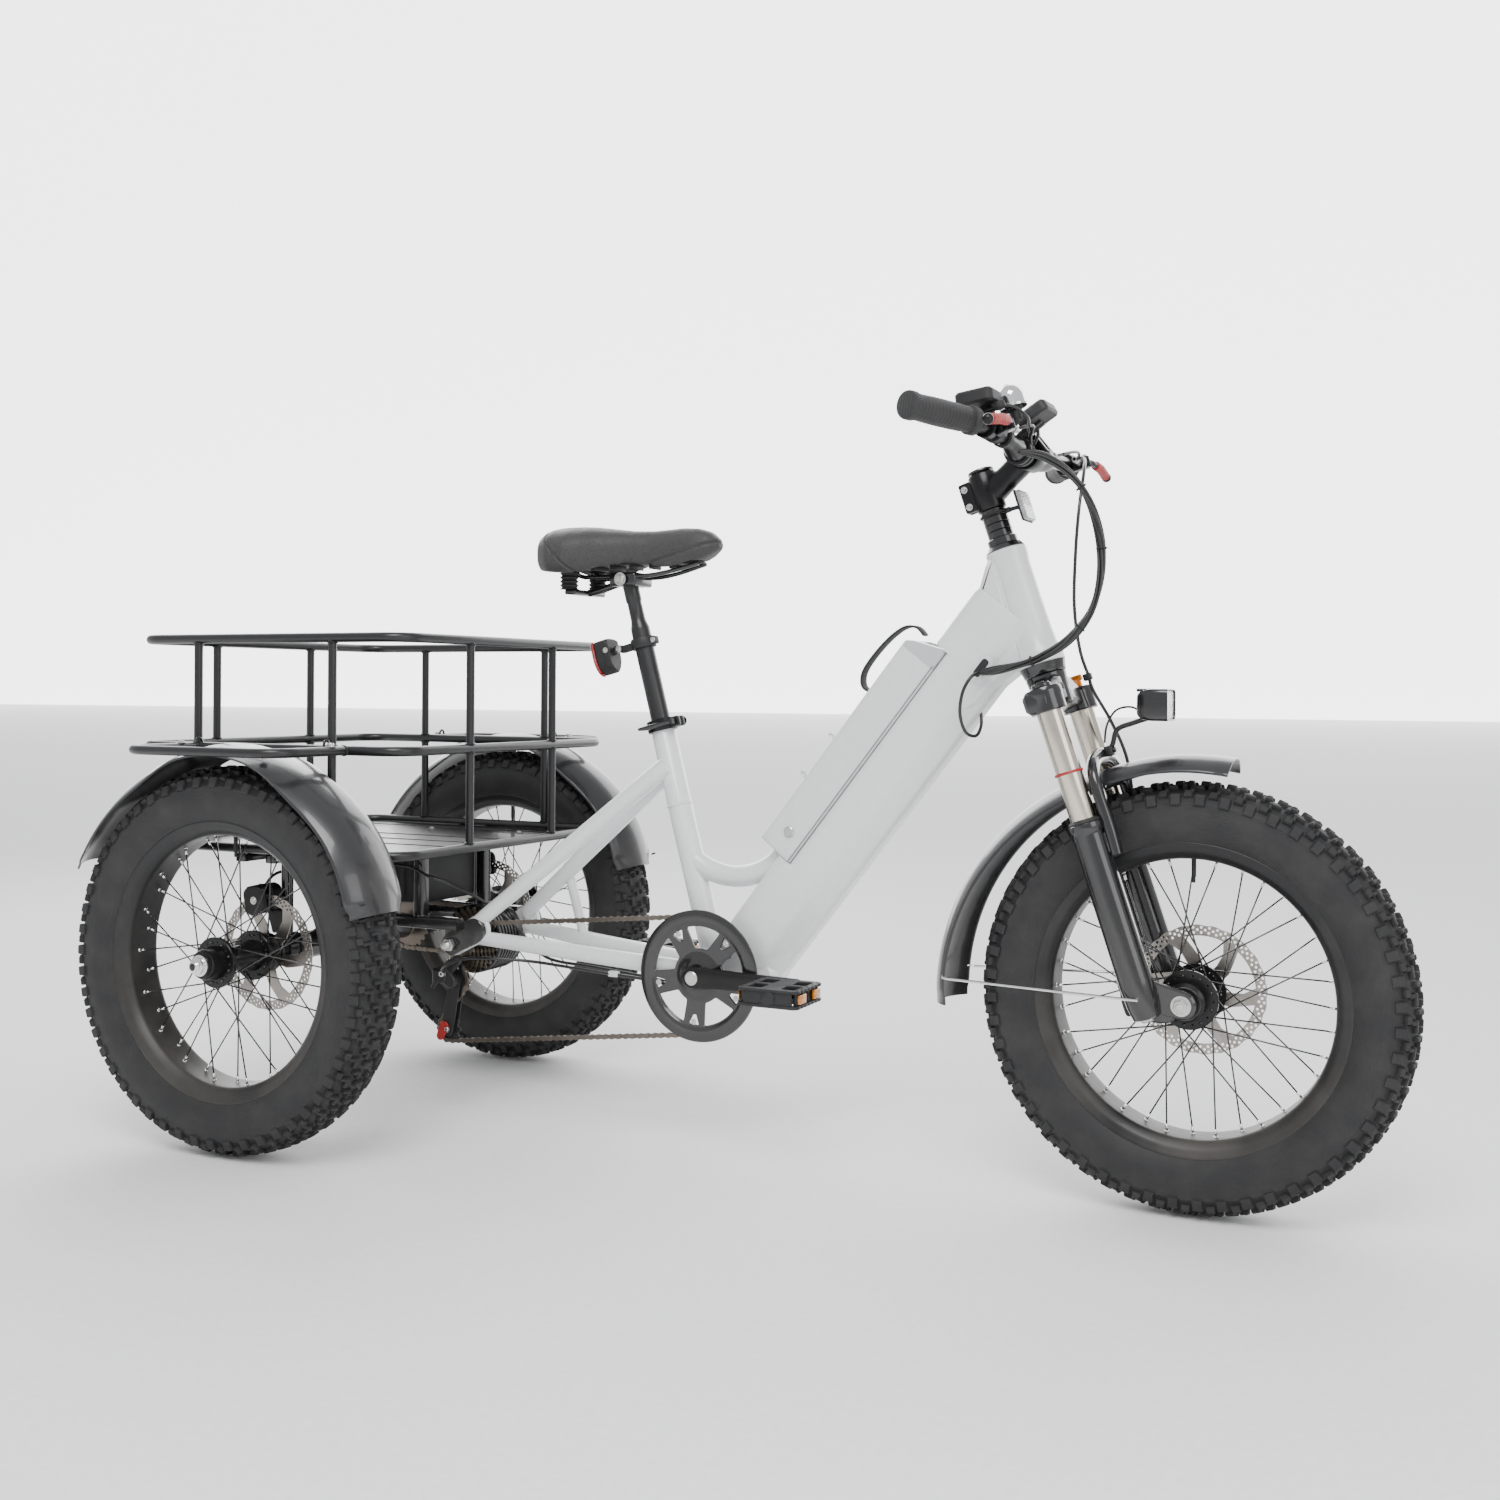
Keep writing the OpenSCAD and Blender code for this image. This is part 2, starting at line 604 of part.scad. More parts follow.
module basket_floor() to_origin() color("black") {
  inset = basket_d / 2 + 1;
  difference() {
    translate([0, 0, floor_low]) linear_extrude(floor_t)
      polygon(soft_rect(basket_x0 + inset, -basket_y + inset, basket_x1 - inset, basket_y - inset,
        hoop_bend - inset));
    // Holes that take a crate's bolts
    for (x = [-1, 1]) for (y = [-1, 1])
      translate([crate_x + x * crate_l / 2, y * crate_w / 2, floor_low - 5]) cylinder(h = 20, r = crate_hole_d / 2);
  }
}

module controller_box() to_origin() color("black") {
  high = floor_low - 14 - 3 * rest;
  low = axle_z + 56;
  wall = 3;
  difference() {
    block([4, -70, low], [126, 70, high]);
    block([4 + wall, -70 + wall, low + wall], [126 - wall, 70 - wall, high - wall]);
  }
}

// Fender over one rear wheel: a domed band with turned-down lips, and the tab that holds it
module fender_band(r_top, half_w, wall, a0, a1) {
  section = [[0, 0], [0.35, 1], [0.66, 5], [0.86, 12], [1, 22]];
  top = [for (p = section) [r_top - p[1], p[0] * half_w]];
  low = [for (i = [len(section) - 1:-1:0]) [r_top - wall - section[i][1], section[i][0] * half_w - (i == 4 ? 1.5 : 0)]];
  half = concat(top, low);
  back = [for (i = [len(half) - 1:-1:0]) if (half[i][1] > 0) [half[i][0], -half[i][1]]];
  rotate([0, -a0, 0]) mirror([0, 0, 1]) turned(concat(half, back), a1 - a0);
}

module rear_fender() {
  inner = basket_y + basket_d / 2;
  half_w = rear_y - inner - 4;
  at_left() fender_band(axle_z + 34, half_w, 2.5, 17, 154);
  for (x = [-44, 20])
    block([x, inner + rest, axle_z + 298], [x + 24, inner + 8, axle_z + 314]);
}
module left_fender() to_origin() color("dimgray") rear_fender();
module right_fender() to_origin() color("dimgray") mirror([0, 1, 0]) rear_fender();

module rear_calipers() to_origin() color("black") both_sides() {
  rotor_y = rear_y - rotor_in;
  mid_r = rotor_d / 2 - 8;
  translate([0, 0, axle_z]) rotate([0, -12, 0]) difference() {
    union() {
      block([-22, housing_end - 2, mid_r - 16], [22, rotor_y + 13, mid_r + 24]);
      side_plate([[-16, housing_r - 6], [16, housing_r - 6], [22, mid_r], [-22, mid_r]], housing_end - 12, housing_end);
    }
    block([-40, rotor_y - 2, 0], [40, rotor_y + 2, mid_r + 14]);
    block([-40, housing_end + 8, 0], [40, rotor_y - 9, mid_r + 6]);
    disc(housing_r + rest, 0, rear_y);
    rotate([0, 12, 0]) block([-10.1, housing_end - 24.1, 0], [10.1, housing_end - 3.9, 200]);
  }
}

// ---------------------------------------------------------------- drive

module chains() to_origin() color("rosybrown") {
  chain_loop(main_path, chain_y, [0, 3]);
  chain_loop(drive_path, drive_y, [0, 1]);
}

module derailleur() to_origin() color("dimgray") {
  plate = 2;
  outer_y = chain_y - 6 - plate;
  for (y = [outer_y, chain_y + 6]) link(guide_xz, tension_xz, 12, 12, y, y + plate);
  for (c = [guide_xz, tension_xz]) translate([c.x, 0, c.y]) disc(3, outer_y - 3, chain_y + 8.5);
  // Knuckle and hanger on the right dropout
  link(guide_xz, [hub_x - 22, hub_z - 52], 11, 13, outer_y - 14, outer_y);
  link([hub_x - 22, hub_z - 52], [hub_x + 4, hub_z - 27], 12, 7, -plate_y - plate_t, -plate_y);
}

module upper_pulley() to_origin() translate([guide_xz.x, 0, guide_xz.y]) color("black")
  sprocket(10, chain_y, 3 + run);
module lower_pulley() to_origin() translate([tension_xz.x, 0, tension_xz.y]) color("black")
  sprocket(10, chain_y, 3 + run);

cog_step = 4.2;
module cassette() to_origin() translate([hub_x, 0, hub_z]) color("silver") {
  for (i = [0:6]) sprocket(cog_teeth + i * 2, chain_y + i * cog_step, 20);
  difference() {
    disc(23, chain_y - 1.2, chain_y + 6 * cog_step + 1.2);
    disc(18 + run, chain_y - 5, chain_y + 40);
  }
}

module mid_hub() to_origin() translate([hub_x, 0, hub_z]) color("black") {
  inner = chain_y + 6 * cog_step + 3;
  difference() {
    union() {
      disc(18, chain_y - 3, inner);
      disc(hub_r, inner, drive_y - 8);
      disc(24, inner, drive_y + 3);
    }
    disc(6 + run, -100, 100);
    for (y = [inner + 8:8:drive_y - 14])
      difference() {
        disc(hub_r + 5, y, y + 3);
        disc(hub_r - 3, y - 1, y + 4);
      }
  }
  sprocket(drive_teeth, drive_y, 20);
}

module chainring() to_origin() translate([crank_x, 0, crank_z]) color("black") {
  spider_y = chain_y - 5;
  difference() {
    sprocket(ring_teeth, chain_y, ring_r - 12);
    disc(ring_r - 11.9, chain_y - 5, chain_y + 5);
  }
  difference() {
    disc(guard_r, spider_y - 2, spider_y);
    disc(ring_r - 12, spider_y - 4, spider_y + 2);
  }
  difference() {
    union() {
      disc(28, spider_y - 2, chain_y + 0.8);
      for (a = [0:72:288]) rotate([0, a, 0])
        side_plate([[10, -13], [ring_r - 8, -9], [ring_r - 8, 9], [10, 13]], spider_y - 1.6, chain_y + 0.5);
    }
    disc(spindle_d / 2 + rest, -80, 0);
  }
}

// A crank arm along +X outside y0, with the pedal's spindle at its end
module crank_arm(y0) {
  wide = 14;
  difference() {
    union() {
      link([0, 0], [crank_l, 0], 17, 12.5, y0, y0 + wide);
      disc(19, y0 - 8, y0 + 2);
    }
    disc(spindle_d / 2 + rest, 0, y0 + wide - 4);
  }
  translate([crank_l, 0, 0]) {
    disc(5.5, y0 + wide, y0 + wide + pedal_w + 6);
    disc(9, y0 + wide, y0 + wide + 3);
  }
}
arm_y = 70;
module right_crank() to_origin() translate([crank_x, 0, crank_z]) color("black") mirror([0, 1, 0]) crank_arm(arm_y);
module left_crank() to_origin() translate([crank_x, 0, crank_z]) color("black") {
  rotate([0, 180, 0]) crank_arm(arm_y);
  disc(spindle_d / 2, -arm_y - 9.9, arm_y + 9.9);
}

// Pedal: a cage round a barrel that turns on the spindle, with a reflector in front and behind
module pedal(y0) color("black") {
  thick = 26;
  l = pedal_l / 2;
  y1 = y0 + pedal_w;
  difference() {
    block([-l, y0, -thick / 2], [l, y1, thick / 2]);
    for (s = [-1, 1]) block([s > 0 ? 14 : -l + 12, y0 + 10, -thick], [s > 0 ? l - 12 : -14, y1 - 10, thick]);
    disc(5.5 + run, y0 - 5, y1 + 5);
  }
}
module right_pedal() to_origin() translate([crank_x + crank_l, 0, crank_z])
  mirror([0, 1, 0]) pedal(arm_y + 14 + 3 + apart);
module left_pedal() to_origin() translate([crank_x - crank_l, 0, crank_z]) pedal(arm_y + 14 + 3 + apart);

// ---------------------------------------------------------------- seat

clamp_s = seat_tube_l + post_up;
module seat_post() to_origin() seat_axes() color("black") difference() {
  translate([0, 0, seat_tube_l - 130]) cylinder(h = post_up + 136, r = post_d / 2);
  translate([0, 0, seat_tube_l - 135]) cylinder(h = post_up + 110, r = post_d / 2 - 2.5);
  translate([0, 0, seat_tube_l + post_up]) rotate([0, 90 - seat_angle, 0]) block([-50, -50, 0], [50, 50, 50]);
}

module at_clamp() seat_axes() translate([0, 0, clamp_s]) rotate([0, 90 - seat_angle, 0]) children();

module saddle_rails() to_origin() at_clamp() color("dimgray") {
  rail = 3.5;
  for (s = [-1, 1]) {
    rod([-70, s * 22, 16], [40, s * 22, 16], rail);
    rod([40, s * 22, 16], [128, s * 12, 34], rail);
    rod([-70, s * 22, 16], [-92, s * 36, 30], rail);
    translate([40, s * 22, 16]) sphere(rail + 0.2);
    translate([-70, s * 22, 16]) sphere(rail + 0.2);
    // Elastomer blocks below the rear of the saddle
    translate([-88, s * 42, -8]) cylinder(h = 44 - apart, r = 15);
  }
  block([-95, -46, -12], [-75, 46, -4]);
  rod([-78, 0, -8], [-20, 0, 6], 6);
  difference() {
    block([-24, -28, rest], [24, 28, 22]);
    block([-30, -9, 10], [30, 9, 30]);
  }
}

// The cushion: a plain form, wide at the back and narrow at the nose
module saddle() to_origin() at_clamp() color("dimgray") {
  skirt_z = 6;
  pan_z = 40;
  hull() {
    for (s = [-1, 1]) {
      translate([-88, s * 48, pan_z]) cylinder(h = 44, r = 54, $fn = 32);
      translate([-88, s * 44, pan_z - 3.5]) cylinder(h = 60, r = 40, $fn = 32);
    }
    translate([30, 0, pan_z]) cylinder(h = 52, r = 42, $fn = 32);
  }
  hull() {
    translate([30, 0, pan_z]) cylinder(h = 52, r = 42, $fn = 32);
    translate([140, 0, 48]) cylinder(h = 34, r = 22, $fn = 32);
    translate([126, 0, 48]) cylinder(h = 40, r = 22, $fn = 32);
  }
  // Padded skirt round the rear, open below and in front for the rails
  difference() {
    hull() for (s = [-1, 1]) {
      translate([-88, s * 48, skirt_z]) cylinder(h = pan_z + 1 - skirt_z, r1 = 47, r2 = 53.4, $fn = 32);
      translate([-40, s * 40, pan_z - 12]) cylinder(h = 13, r = 20, $fn = 32);
    }
    hull() for (s = [-1, 1]) translate([-88, s * 40, skirt_z - 1]) cylinder(h = pan_z - skirt_z - 2.5, r = 30);
    block([-88, -70, skirt_z - 1], [20, 70, pan_z - 3.5]);
  }
}

module tail_light() to_origin() seat_axes() color("black") {
  s = seat_tube_l + 128;
  difference() {
    union() {
      translate([0, 0, s - 8]) cylinder(h = 16, r = post_d / 2 + 4);
      block([-54, -7, s - 6], [-post_d / 2, 7, s + 6]);
    }
    translate([0, 0, s - 10]) cylinder(h = 20, r = post_d / 2 + rest);
  }
  block([-86, -20, s - 34], [-54, 20, s + 22]);
}

module seat_lever() to_origin() seat_axes() color("black")
  translate([seat_tube_d / 2 + 11, 0, seat_tube_l - 6]) {
    rod([0, -22, -5], [0, -22, 5], 4);
    rod([0, -22, 0], [-52, -34, 0], 2.6, 3.4);
  }

// ---------------------------------------------------------------- fork and steering

module fork_crown() to_origin() steer_axes() color("black") {
  r = stanchion_d / 2;
  difference() {
    union() {
      translate([0, 0, crown_leg - 16]) cylinder(h = stem_high + 3 - crown_leg + 16, r = steerer_d / 2);
      translate([0, 0, crown_leg - 20]) cylinder(h = crown_top - crown_leg + 20, r = 27);
      both_sides() translate([leg_x, leg_y, crown_low]) cylinder(h = crown_leg - crown_low, r = r + 7);
      translate([24, 0, 0]) rotate([90, 0, -90]) linear_extrude(38)
        polygon([[-leg_y, crown_low], [-leg_y + 24, crown_low + 4], [0, crown_low + 14], [leg_y - 24, crown_low + 4],
          [leg_y, crown_low], [leg_y, crown_leg], [leg_y - 14, crown_leg], [32, crown_top - 6],
          [-32, crown_top - 6], [14 - leg_y, crown_leg], [-leg_y, crown_leg]]);
      both_sides() translate([leg_x, leg_y, 118]) cylinder(h = crown_low - 110, r = r);
    }
    both_sides() translate([leg_x, leg_y, 110]) cylinder(h = crown_low - 110, r = r - 3);
    translate([0, 0, crown_low - 5]) cylinder(h = 500, r = steerer_d / 2 - 2.5);
  }
  // Ring spacers between the headset and the stem
  gap = 0.5;
  count = 5;
  high = (stem_low - spacer_low) / count;
  for (i = [0:count - 1]) difference() {
    translate([0, 0, spacer_low + i * high]) cylinder(h = high, r = 18.5 + (i == 0 ? 3 : 0));
    translate([0, 0, spacer_low + i * high + high - gap]) difference() {
      cylinder(h = 1, r = 30);
      cylinder(h = 1, r = 18);
    }
    translate([0, 0, spacer_low - 1]) cylinder(h = 80, r = steerer_d / 2 - 1);
  }
}

bar_x = 74;
bar_z = 780;
bar_path = [[bar_x, 0, bar_z], [bar_x, 60, bar_z], [bar_x + 5, 110, bar_z + 6], [bar_x + 4, 215, bar_z + 13],
  [bar_x - 46, bar_half, bar_z + 38]];

module stem() to_origin() steer_axes() color("black") {
  mid = (stem_low + stem_high) / 2;
  difference() {
    union() {
      translate([0, 0, stem_low + rest]) cylinder(h = stem_high - stem_low - rest, r = 21);
      block([-36, -11, stem_low + 6], [-15, 11, stem_high - 4]);
      rod([4, 0, mid - 3], [bar_x, 0, bar_z], 18, 17);
      translate([bar_x, 0, bar_z]) disc(bar_mid_d / 2 + 6, -22, 22);
      translate([bar_x, 0, bar_z]) rotate([0, -20, 0]) block([10, -21, -26], [28, 21, 26]);
    }
    translate([0, 0, stem_low - 5]) cylinder(h = 80, r = steerer_d / 2 + rest);
    translate([bar_x, 0, bar_z]) disc(bar_mid_d / 2 + rest, -30, 30);
    block([-40, -1, stem_low - 5], [-10, 1, stem_high + 10]);
  }
  for (z = [stem_low + 14, stem_high - 14]) translate([-28, 0, z]) disc(3.5, -15, 15);
  translate([0, 0, stem_high + 3.2]) cylinder(h = 4, r = 19);
  translate([0, 0, stem_high - 6]) cylinder(h = 10, r = steerer_d / 2 - 2.6);
}

module handlebar() to_origin() steer_axes() color("black") {
  r_mid = bar_mid_d / 2;
  r = bar_d / 2;
  translate(bar_path[0]) disc(r_mid, -60, 60);
  both_sides() {
    translate(bar_path[1]) sphere(r_mid + 0.1);
    rod(bar_path[1], bar_path[2], r_mid, r);
    translate(bar_path[2]) sphere(r + 0.15);
    rod(bar_path[2], bar_path[3], r);
    translate(bar_path[3]) sphere(r + 0.15);
    rod(bar_path[3], bar_path[4], r);
  }
}

// Local frame on the outer slope of the bar, with Z along it towards the end
module on_bar(i, d) {
  a = bar_path[i];
  v = bar_path[i + 1] - a;
  len = norm(v);
  translate(a + v * d / len) rotate([0, acos(v.z / len), atan2(v.y, v.x)]) children();
}
function bar_run(i) = norm(bar_path[i + 1] - bar_path[i]);

module grips() to_origin() steer_axes() color("gray") both_sides() {
  l = bar_run(3);
  on_bar(3, 12) difference() {
    union() {
      cylinder(h = l - 12 + 3, r = grip_d / 2);
      cylinder(h = 11, r = grip_d / 2 + 2);
      translate([0, 0, l - 12 - 7]) cylinder(h = 10, r = grip_d / 2 + 1.5);
    }
    translate([0, 0, -5]) cylinder(h = l - 12 + 5 + rest, r = bar_d / 2 + rest);
  }
}

module display() to_origin() steer_axes() color("dimgray") {
  for (y = [[-43, -33], [-57, -48]])
    difference() {
      union() {
        translate([bar_x, 0, bar_z]) disc(bar_mid_d / 2 + 4, y[0], y[1]);
        side_plate([[bar_x - 4, bar_z + 17], [bar_x + 12, bar_z + 14], [bar_x + 48, bar_z + 26],
          [bar_x + 34, bar_z + 34]], y[0], y[1]);
      }
      translate([bar_x, 0, bar_z]) disc(bar_mid_d / 2 + rest, -100, 0);
    }
  translate([bar_x + 40, 0, bar_z + 36]) rotate([0, -14, 0]) block([-24, -84, -9], [24, -22, 11]);
}

bell_y = -128;
bell_on = [bar_x + 4.7, bell_y, bar_z + 7.2];
bell_at = bell_on + [26, 0, 30];
stalk_r = 5;
striker_z = -3.4;
module bell() to_origin() steer_axes() color("silver") {
  dome_r = 20;
  difference() {
    union() {
      translate([bell_on.x, 0, bell_on.z]) disc(bar_d / 2 + 4, bell_y - 6, bell_y + 6);
      rod(bell_on, bell_at - [0, 0, 16], stalk_r);
    }
    mirror([0, 1, 0]) rod(bar_path[2], bar_path[3], bar_d / 2 + 0.6);
  }
  translate(bell_at) {
    translate([0, 0, -18]) cylinder(h = 20, r = stalk_r);
    translate([0, 0, -18]) cylinder(h = 18 + striker_z - apart, r = stalk_r + 3);
    cylinder(h = 14, r = dome_r - 1);
    translate([0, 0, 14]) intersection() {
      sphere(dome_r);
      translate([0, 0, 10]) cube([60, 60, 20], center = true);
    }
  }
}

module bell_striker() to_origin() steer_axes() color("black")
  translate(bell_at + [0, 0, striker_z]) difference() {
    union() {
      cylinder(h = 3, r = 12);
      block([-34, -4, 0], [-8, 4, 3]);
      block([-34, -4, 0], [-30, 4, 16]);
    }
    translate([0, 0, -1]) cylinder(h = 10, r = stalk_r + run);
  }

module reflector() to_origin() steer_axes() color("gainsboro") {
  z = stem_low - 10;
  difference() {
    union() {
      translate([0, 0, z + 1]) cylinder(h = 3, r = 21);
      block([10, -5, z - 2], [44, 5, z + 4]);
    }
    translate([0, 0, z - 10]) cylinder(h = 30, r = 18.5 + rest);
  }
  block([42, -24, z - 24], [51, 24, z + 22]);
}

// Brake lever housings: a split ring on the bar and an arm forward to the lever's pivot
lever_y = 192;
pivot_x = bar_x + 34;
pivot_z = bar_z + 4;
module brake_mounts() to_origin() steer_axes() color("black") both_sides() {
  difference() {
    union() {
      on_bar(2, 76) cylinder(h = 14, r = bar_d / 2 + 5);
      block([bar_x + 14, lever_y - 12, pivot_z - 9], [pivot_x - 9, lever_y - 2, pivot_z + 9]);
      for (z = [-9, 5]) translate([0, 0, pivot_z + z])
        linear_extrude(4) polygon([[bar_x + 12, lever_y - 14], [pivot_x + 2, lever_y - 9], [pivot_x + 8, lever_y + 4],
          [pivot_x - 4, lever_y + 8], [bar_x + 14, lever_y + 2]]);
      translate([pivot_x, lever_y, pivot_z - 9]) cylinder(h = 18, r = 2.5);
      rod([pivot_x - 4, lever_y - 34, pivot_z], [pivot_x - 8, lever_y - 10, pivot_z], 4.5, 5.5);
    }
    rod(bar_path[2], bar_path[3], bar_d / 2 + rest);
  }
}

module brake_lever() color("crimson") difference() {
  union() {
    translate([pivot_x, lever_y, pivot_z - 5 + apart]) cylinder(h = 10 - 2 * apart, r = 7);
    rod([pivot_x, lever_y, pivot_z], [pivot_x + 6, lever_y + 30, pivot_z - 3], 3.9);
    rod([pivot_x + 6, lever_y + 30, pivot_z - 3], [pivot_x + 2, lever_y + 104, pivot_z - 12], 7, 7.5);
    translate([pivot_x + 2, lever_y + 104, pivot_z - 12]) sphere(7.6);
  }
  translate([pivot_x, lever_y, pivot_z - 10]) cylinder(h = 20, r = 2.5 + run);
}
module left_brake_lever() to_origin() steer_axes() brake_lever();
module right_brake_lever() to_origin() steer_axes() mirror([0, 1, 0]) brake_lever();

module shifter_body() to_origin() steer_axes() color("black") {
  difference() {
    union() {
      mirror([0, 1, 0]) on_bar(2, 48) cylinder(h = 12, r = bar_d / 2 + 4.5);
      block([bar_x - 4, -172, bar_z + 22], [bar_x + 14, -160, bar_z + 46]);
    }
    mirror([0, 1, 0]) rod(bar_path[2], bar_path[3], bar_d / 2 + rest);
  }
  translate([bar_x - 2, 0, bar_z + 52]) rotate([0, 10, 0]) block([-22, -206, -8], [30, -152, 12]);
}
module shifter_lever() to_origin() steer_axes() color("black") translate([bar_x, -182, bar_z + 30]) {
  translate([26, 0, 0]) cylinder(h = 8, r = 9);
  block([-22, -8, 0], [26, 2, 5]);
  block([-26, -14, -2], [-18, 8, 7]);
}

module lockout_knob() to_origin() steer_axes() translate([leg_x, leg_y, crown_leg + apart]) color("orange") {
  cylinder(h = 12, r = 13);
  block([-16, -3.5, 8], [16, 3.5, 18]);
}

// ---------------------------------------------------------------- the fork's moving lower half

module fork_lowers() to_origin() steer_axes() color("black") {
  r = lower_d / 2;
  drop_y = 68;
  difference() {
    union() {
      both_sides() {
        translate([leg_x, leg_y, 40]) cylinder(h = lower_top - 40, r = r);
        translate([leg_x, leg_y, -4]) cylinder(h = 44, r1 = r - 5, r2 = r);
        translate([leg_x, leg_y, lower_top - 10]) cylinder(h = 12, r = r + 1.5);
        link([fork_offset, 0], [leg_x, 26], 19, 22, drop_y, drop_y + 12);
        // Arch that joins the legs over the tyre
        rod([leg_x + r + 4, leg_y - 2, lower_top - 40], [leg_x + r + 5, leg_y - 6, 318], 8);
        rod([leg_x + r + 5, leg_y - 6, 318], [leg_x + r + 5, 0, 346], 8);
        translate([leg_x + r + 5, leg_y - 6, 318]) sphere(8.1);
        block([leg_x + r - 6, leg_y - 9, lower_top - 46], [leg_x + r + 8, leg_y + 5, lower_top - 24]);
        translate([fork_offset, 0, 0]) disc(12, drop_y + 12, drop_y + 22);
      }
      translate([leg_x + r + 5, 0, 346]) sphere(8.1);
      translate([fork_offset, 0, 0]) disc(front_axle_d / 2, -drop_y - 5, drop_y + 5);
    }
    both_sides() translate([leg_x, leg_y, 40]) cylinder(h = 300, r = stanchion_d / 2 + run);
  }
}

module front_fender() to_origin() color("dimgray") {
  at_front() {
    translate([0, 0, 4]) fender_band(axle_z + 34, 56, 2.5, 82, 113);
    translate([-20, 0, -23]) fender_band(axle_z + 53, 56, 2.5, 106.5, 181);
  }
  steer_axes() block([leg_x + 24, -5, 328], [leg_x + 36, 5, 335.6]);
  // Wire stays from the lower end of the band to the fork legs
  at_front() both_sides() {
    rod([-340.4, 57, 4], [-48, 108, 8], 2);
    rod([-340.4, 50, 4], [-340.4, 58, 4], 2);
  }
}

module headlight() to_origin() steer_axes() color("black") {
  r = lower_d / 2;
  rod([leg_x + r + 14 , 0, 350], [leg_x + r + 38, 0, 374], 3.5);
  rod([leg_x + r + 38, 0, 374], [118, 0, 376], 3.5);
  translate([leg_x + r + 38, 0, 374]) sphere(3.6);
  block([leg_x + r + 13.2, -9, 342], [leg_x + r + 24, 9, 356]);
  translate([134, 0, 390]) rotate([0, caster, 0]) difference() {
    block([-22, -28, -22], [22, 28, 22]);
    block([18, -24, -18], [30, 24, 18]);
  }
}

module front_caliper() to_origin() steer_axes() color("black") difference() {
  block([-52, 43, -14], [leg_x - lower_d / 2 + 0.6, 75, 40]);
  block([-38, 52.5, -60], [100, 57.5, 100]);
}

// ---------------------------------------------------------------- cables

module frame_cables() to_origin() color("black") {
  cable(shift_route, 2.5, 5);
  cable(brake_route, 2.5, 6);
}
module cable_bundle() to_origin() color("black") cable(bundle_route, 7, 5, 10);

main_frame();
rear_subframe();
battery();
headset();
bottom_bracket();
seat_collar();
basket();
basket_floor();
controller_box();
right_fender();
left_fender();
rear_calipers();
chains();
derailleur();
frame_cables();
cable_bundle();
seat_post();
saddle();
saddle_rails();
tail_light();
seat_lever();
fork_crown();
stem();
handlebar();
grips();
display();
bell();
reflector();
brake_mounts();
shifter_body();
right_brake_lever();
left_brake_lever();
shifter_lever();
bell_striker();
lockout_knob();
fork_lowers();
front_fender();
headlight();
front_caliper();
chainring();
right_crank();
left_crank();
right_pedal();
left_pedal();
cassette();
mid_hub();
upper_pulley();
lower_pulley();
front_tyre();
front_rim();
front_hub();
front_rotor();
right_tyre();
right_rim();
right_hub();
right_rotor();
left_tyre();
left_rim();
left_hub();
left_rotor();
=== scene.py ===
# %% [markdown]
# # An electric cargo tricycle, piece by piece
# This lesson dresses a imported CAD model of an adult tricycle. The CAD frame gives every place and
# every joint, so the work here is to give each piece its true curves, its small fittings and a
# finish that looks like powder coat, rubber, machined metal or stitched leatherette.

# The finished model has to stay inside it.

# %% Load the frame
import math
import bmesh
import bpy
import numpy as np
from mathutils import Matrix


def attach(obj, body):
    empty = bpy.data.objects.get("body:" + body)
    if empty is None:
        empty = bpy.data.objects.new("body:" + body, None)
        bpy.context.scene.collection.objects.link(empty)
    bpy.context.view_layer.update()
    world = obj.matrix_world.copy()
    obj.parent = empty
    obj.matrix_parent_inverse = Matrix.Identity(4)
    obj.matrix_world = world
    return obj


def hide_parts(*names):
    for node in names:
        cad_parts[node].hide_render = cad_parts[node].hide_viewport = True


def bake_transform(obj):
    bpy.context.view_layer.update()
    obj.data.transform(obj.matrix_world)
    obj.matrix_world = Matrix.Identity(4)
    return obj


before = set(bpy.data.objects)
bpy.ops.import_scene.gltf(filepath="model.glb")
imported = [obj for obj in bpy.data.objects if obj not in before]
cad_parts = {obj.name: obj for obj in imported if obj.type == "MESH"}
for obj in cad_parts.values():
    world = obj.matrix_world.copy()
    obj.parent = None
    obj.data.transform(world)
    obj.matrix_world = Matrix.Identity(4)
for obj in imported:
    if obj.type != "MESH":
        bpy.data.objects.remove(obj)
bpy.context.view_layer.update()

# %% [markdown]
# The camera and the studio come first. The camera stands low and to the tricycle's right, far
# enough away to keep the wheels nearly round. Its two shifts only frame the picture.

# %% Camera and soft light
# Metres for the place, degrees for yaw, pitch and roll, millimetres for the lens
EYE, EYE_TURNS, LENS, SENSOR = (1.1074, -2.1915, 0.7017), (24.949, 0.053, 0.372), 38.44, 36


def camera():
    """Right = (cos a, sin a, 0), forward = (-sin a cos e, cos a cos e, -sin e), up = right x forward,
    and the first and last are then turned by the roll."""
    yaw, pitch, roll = (math.radians(v) for v in EYE_TURNS)
    ahead = np.array([-math.sin(yaw) * math.cos(pitch), math.cos(yaw) * math.cos(pitch), -math.sin(pitch)])
    right = np.array([math.cos(yaw), math.sin(yaw), 0])
    up = np.cross(right, ahead)
    side = math.cos(roll) * right + math.sin(roll) * up
    top = math.cos(roll) * up - math.sin(roll) * right
    data = bpy.data.cameras.new("camera")
    data.sensor_width, data.lens = SENSOR, LENS
    data.shift_x, data.shift_y = -0.0322, -0.0385
    eye = bpy.data.objects.new("camera", data)
    matrix = np.eye(4)
    matrix[:3] = np.stack([side, top, -ahead, EYE], 1)
    eye.matrix_world = Matrix(matrix.tolist())
    bpy.context.collection.objects.link(eye)
    bpy.context.scene.camera = eye
    return eye


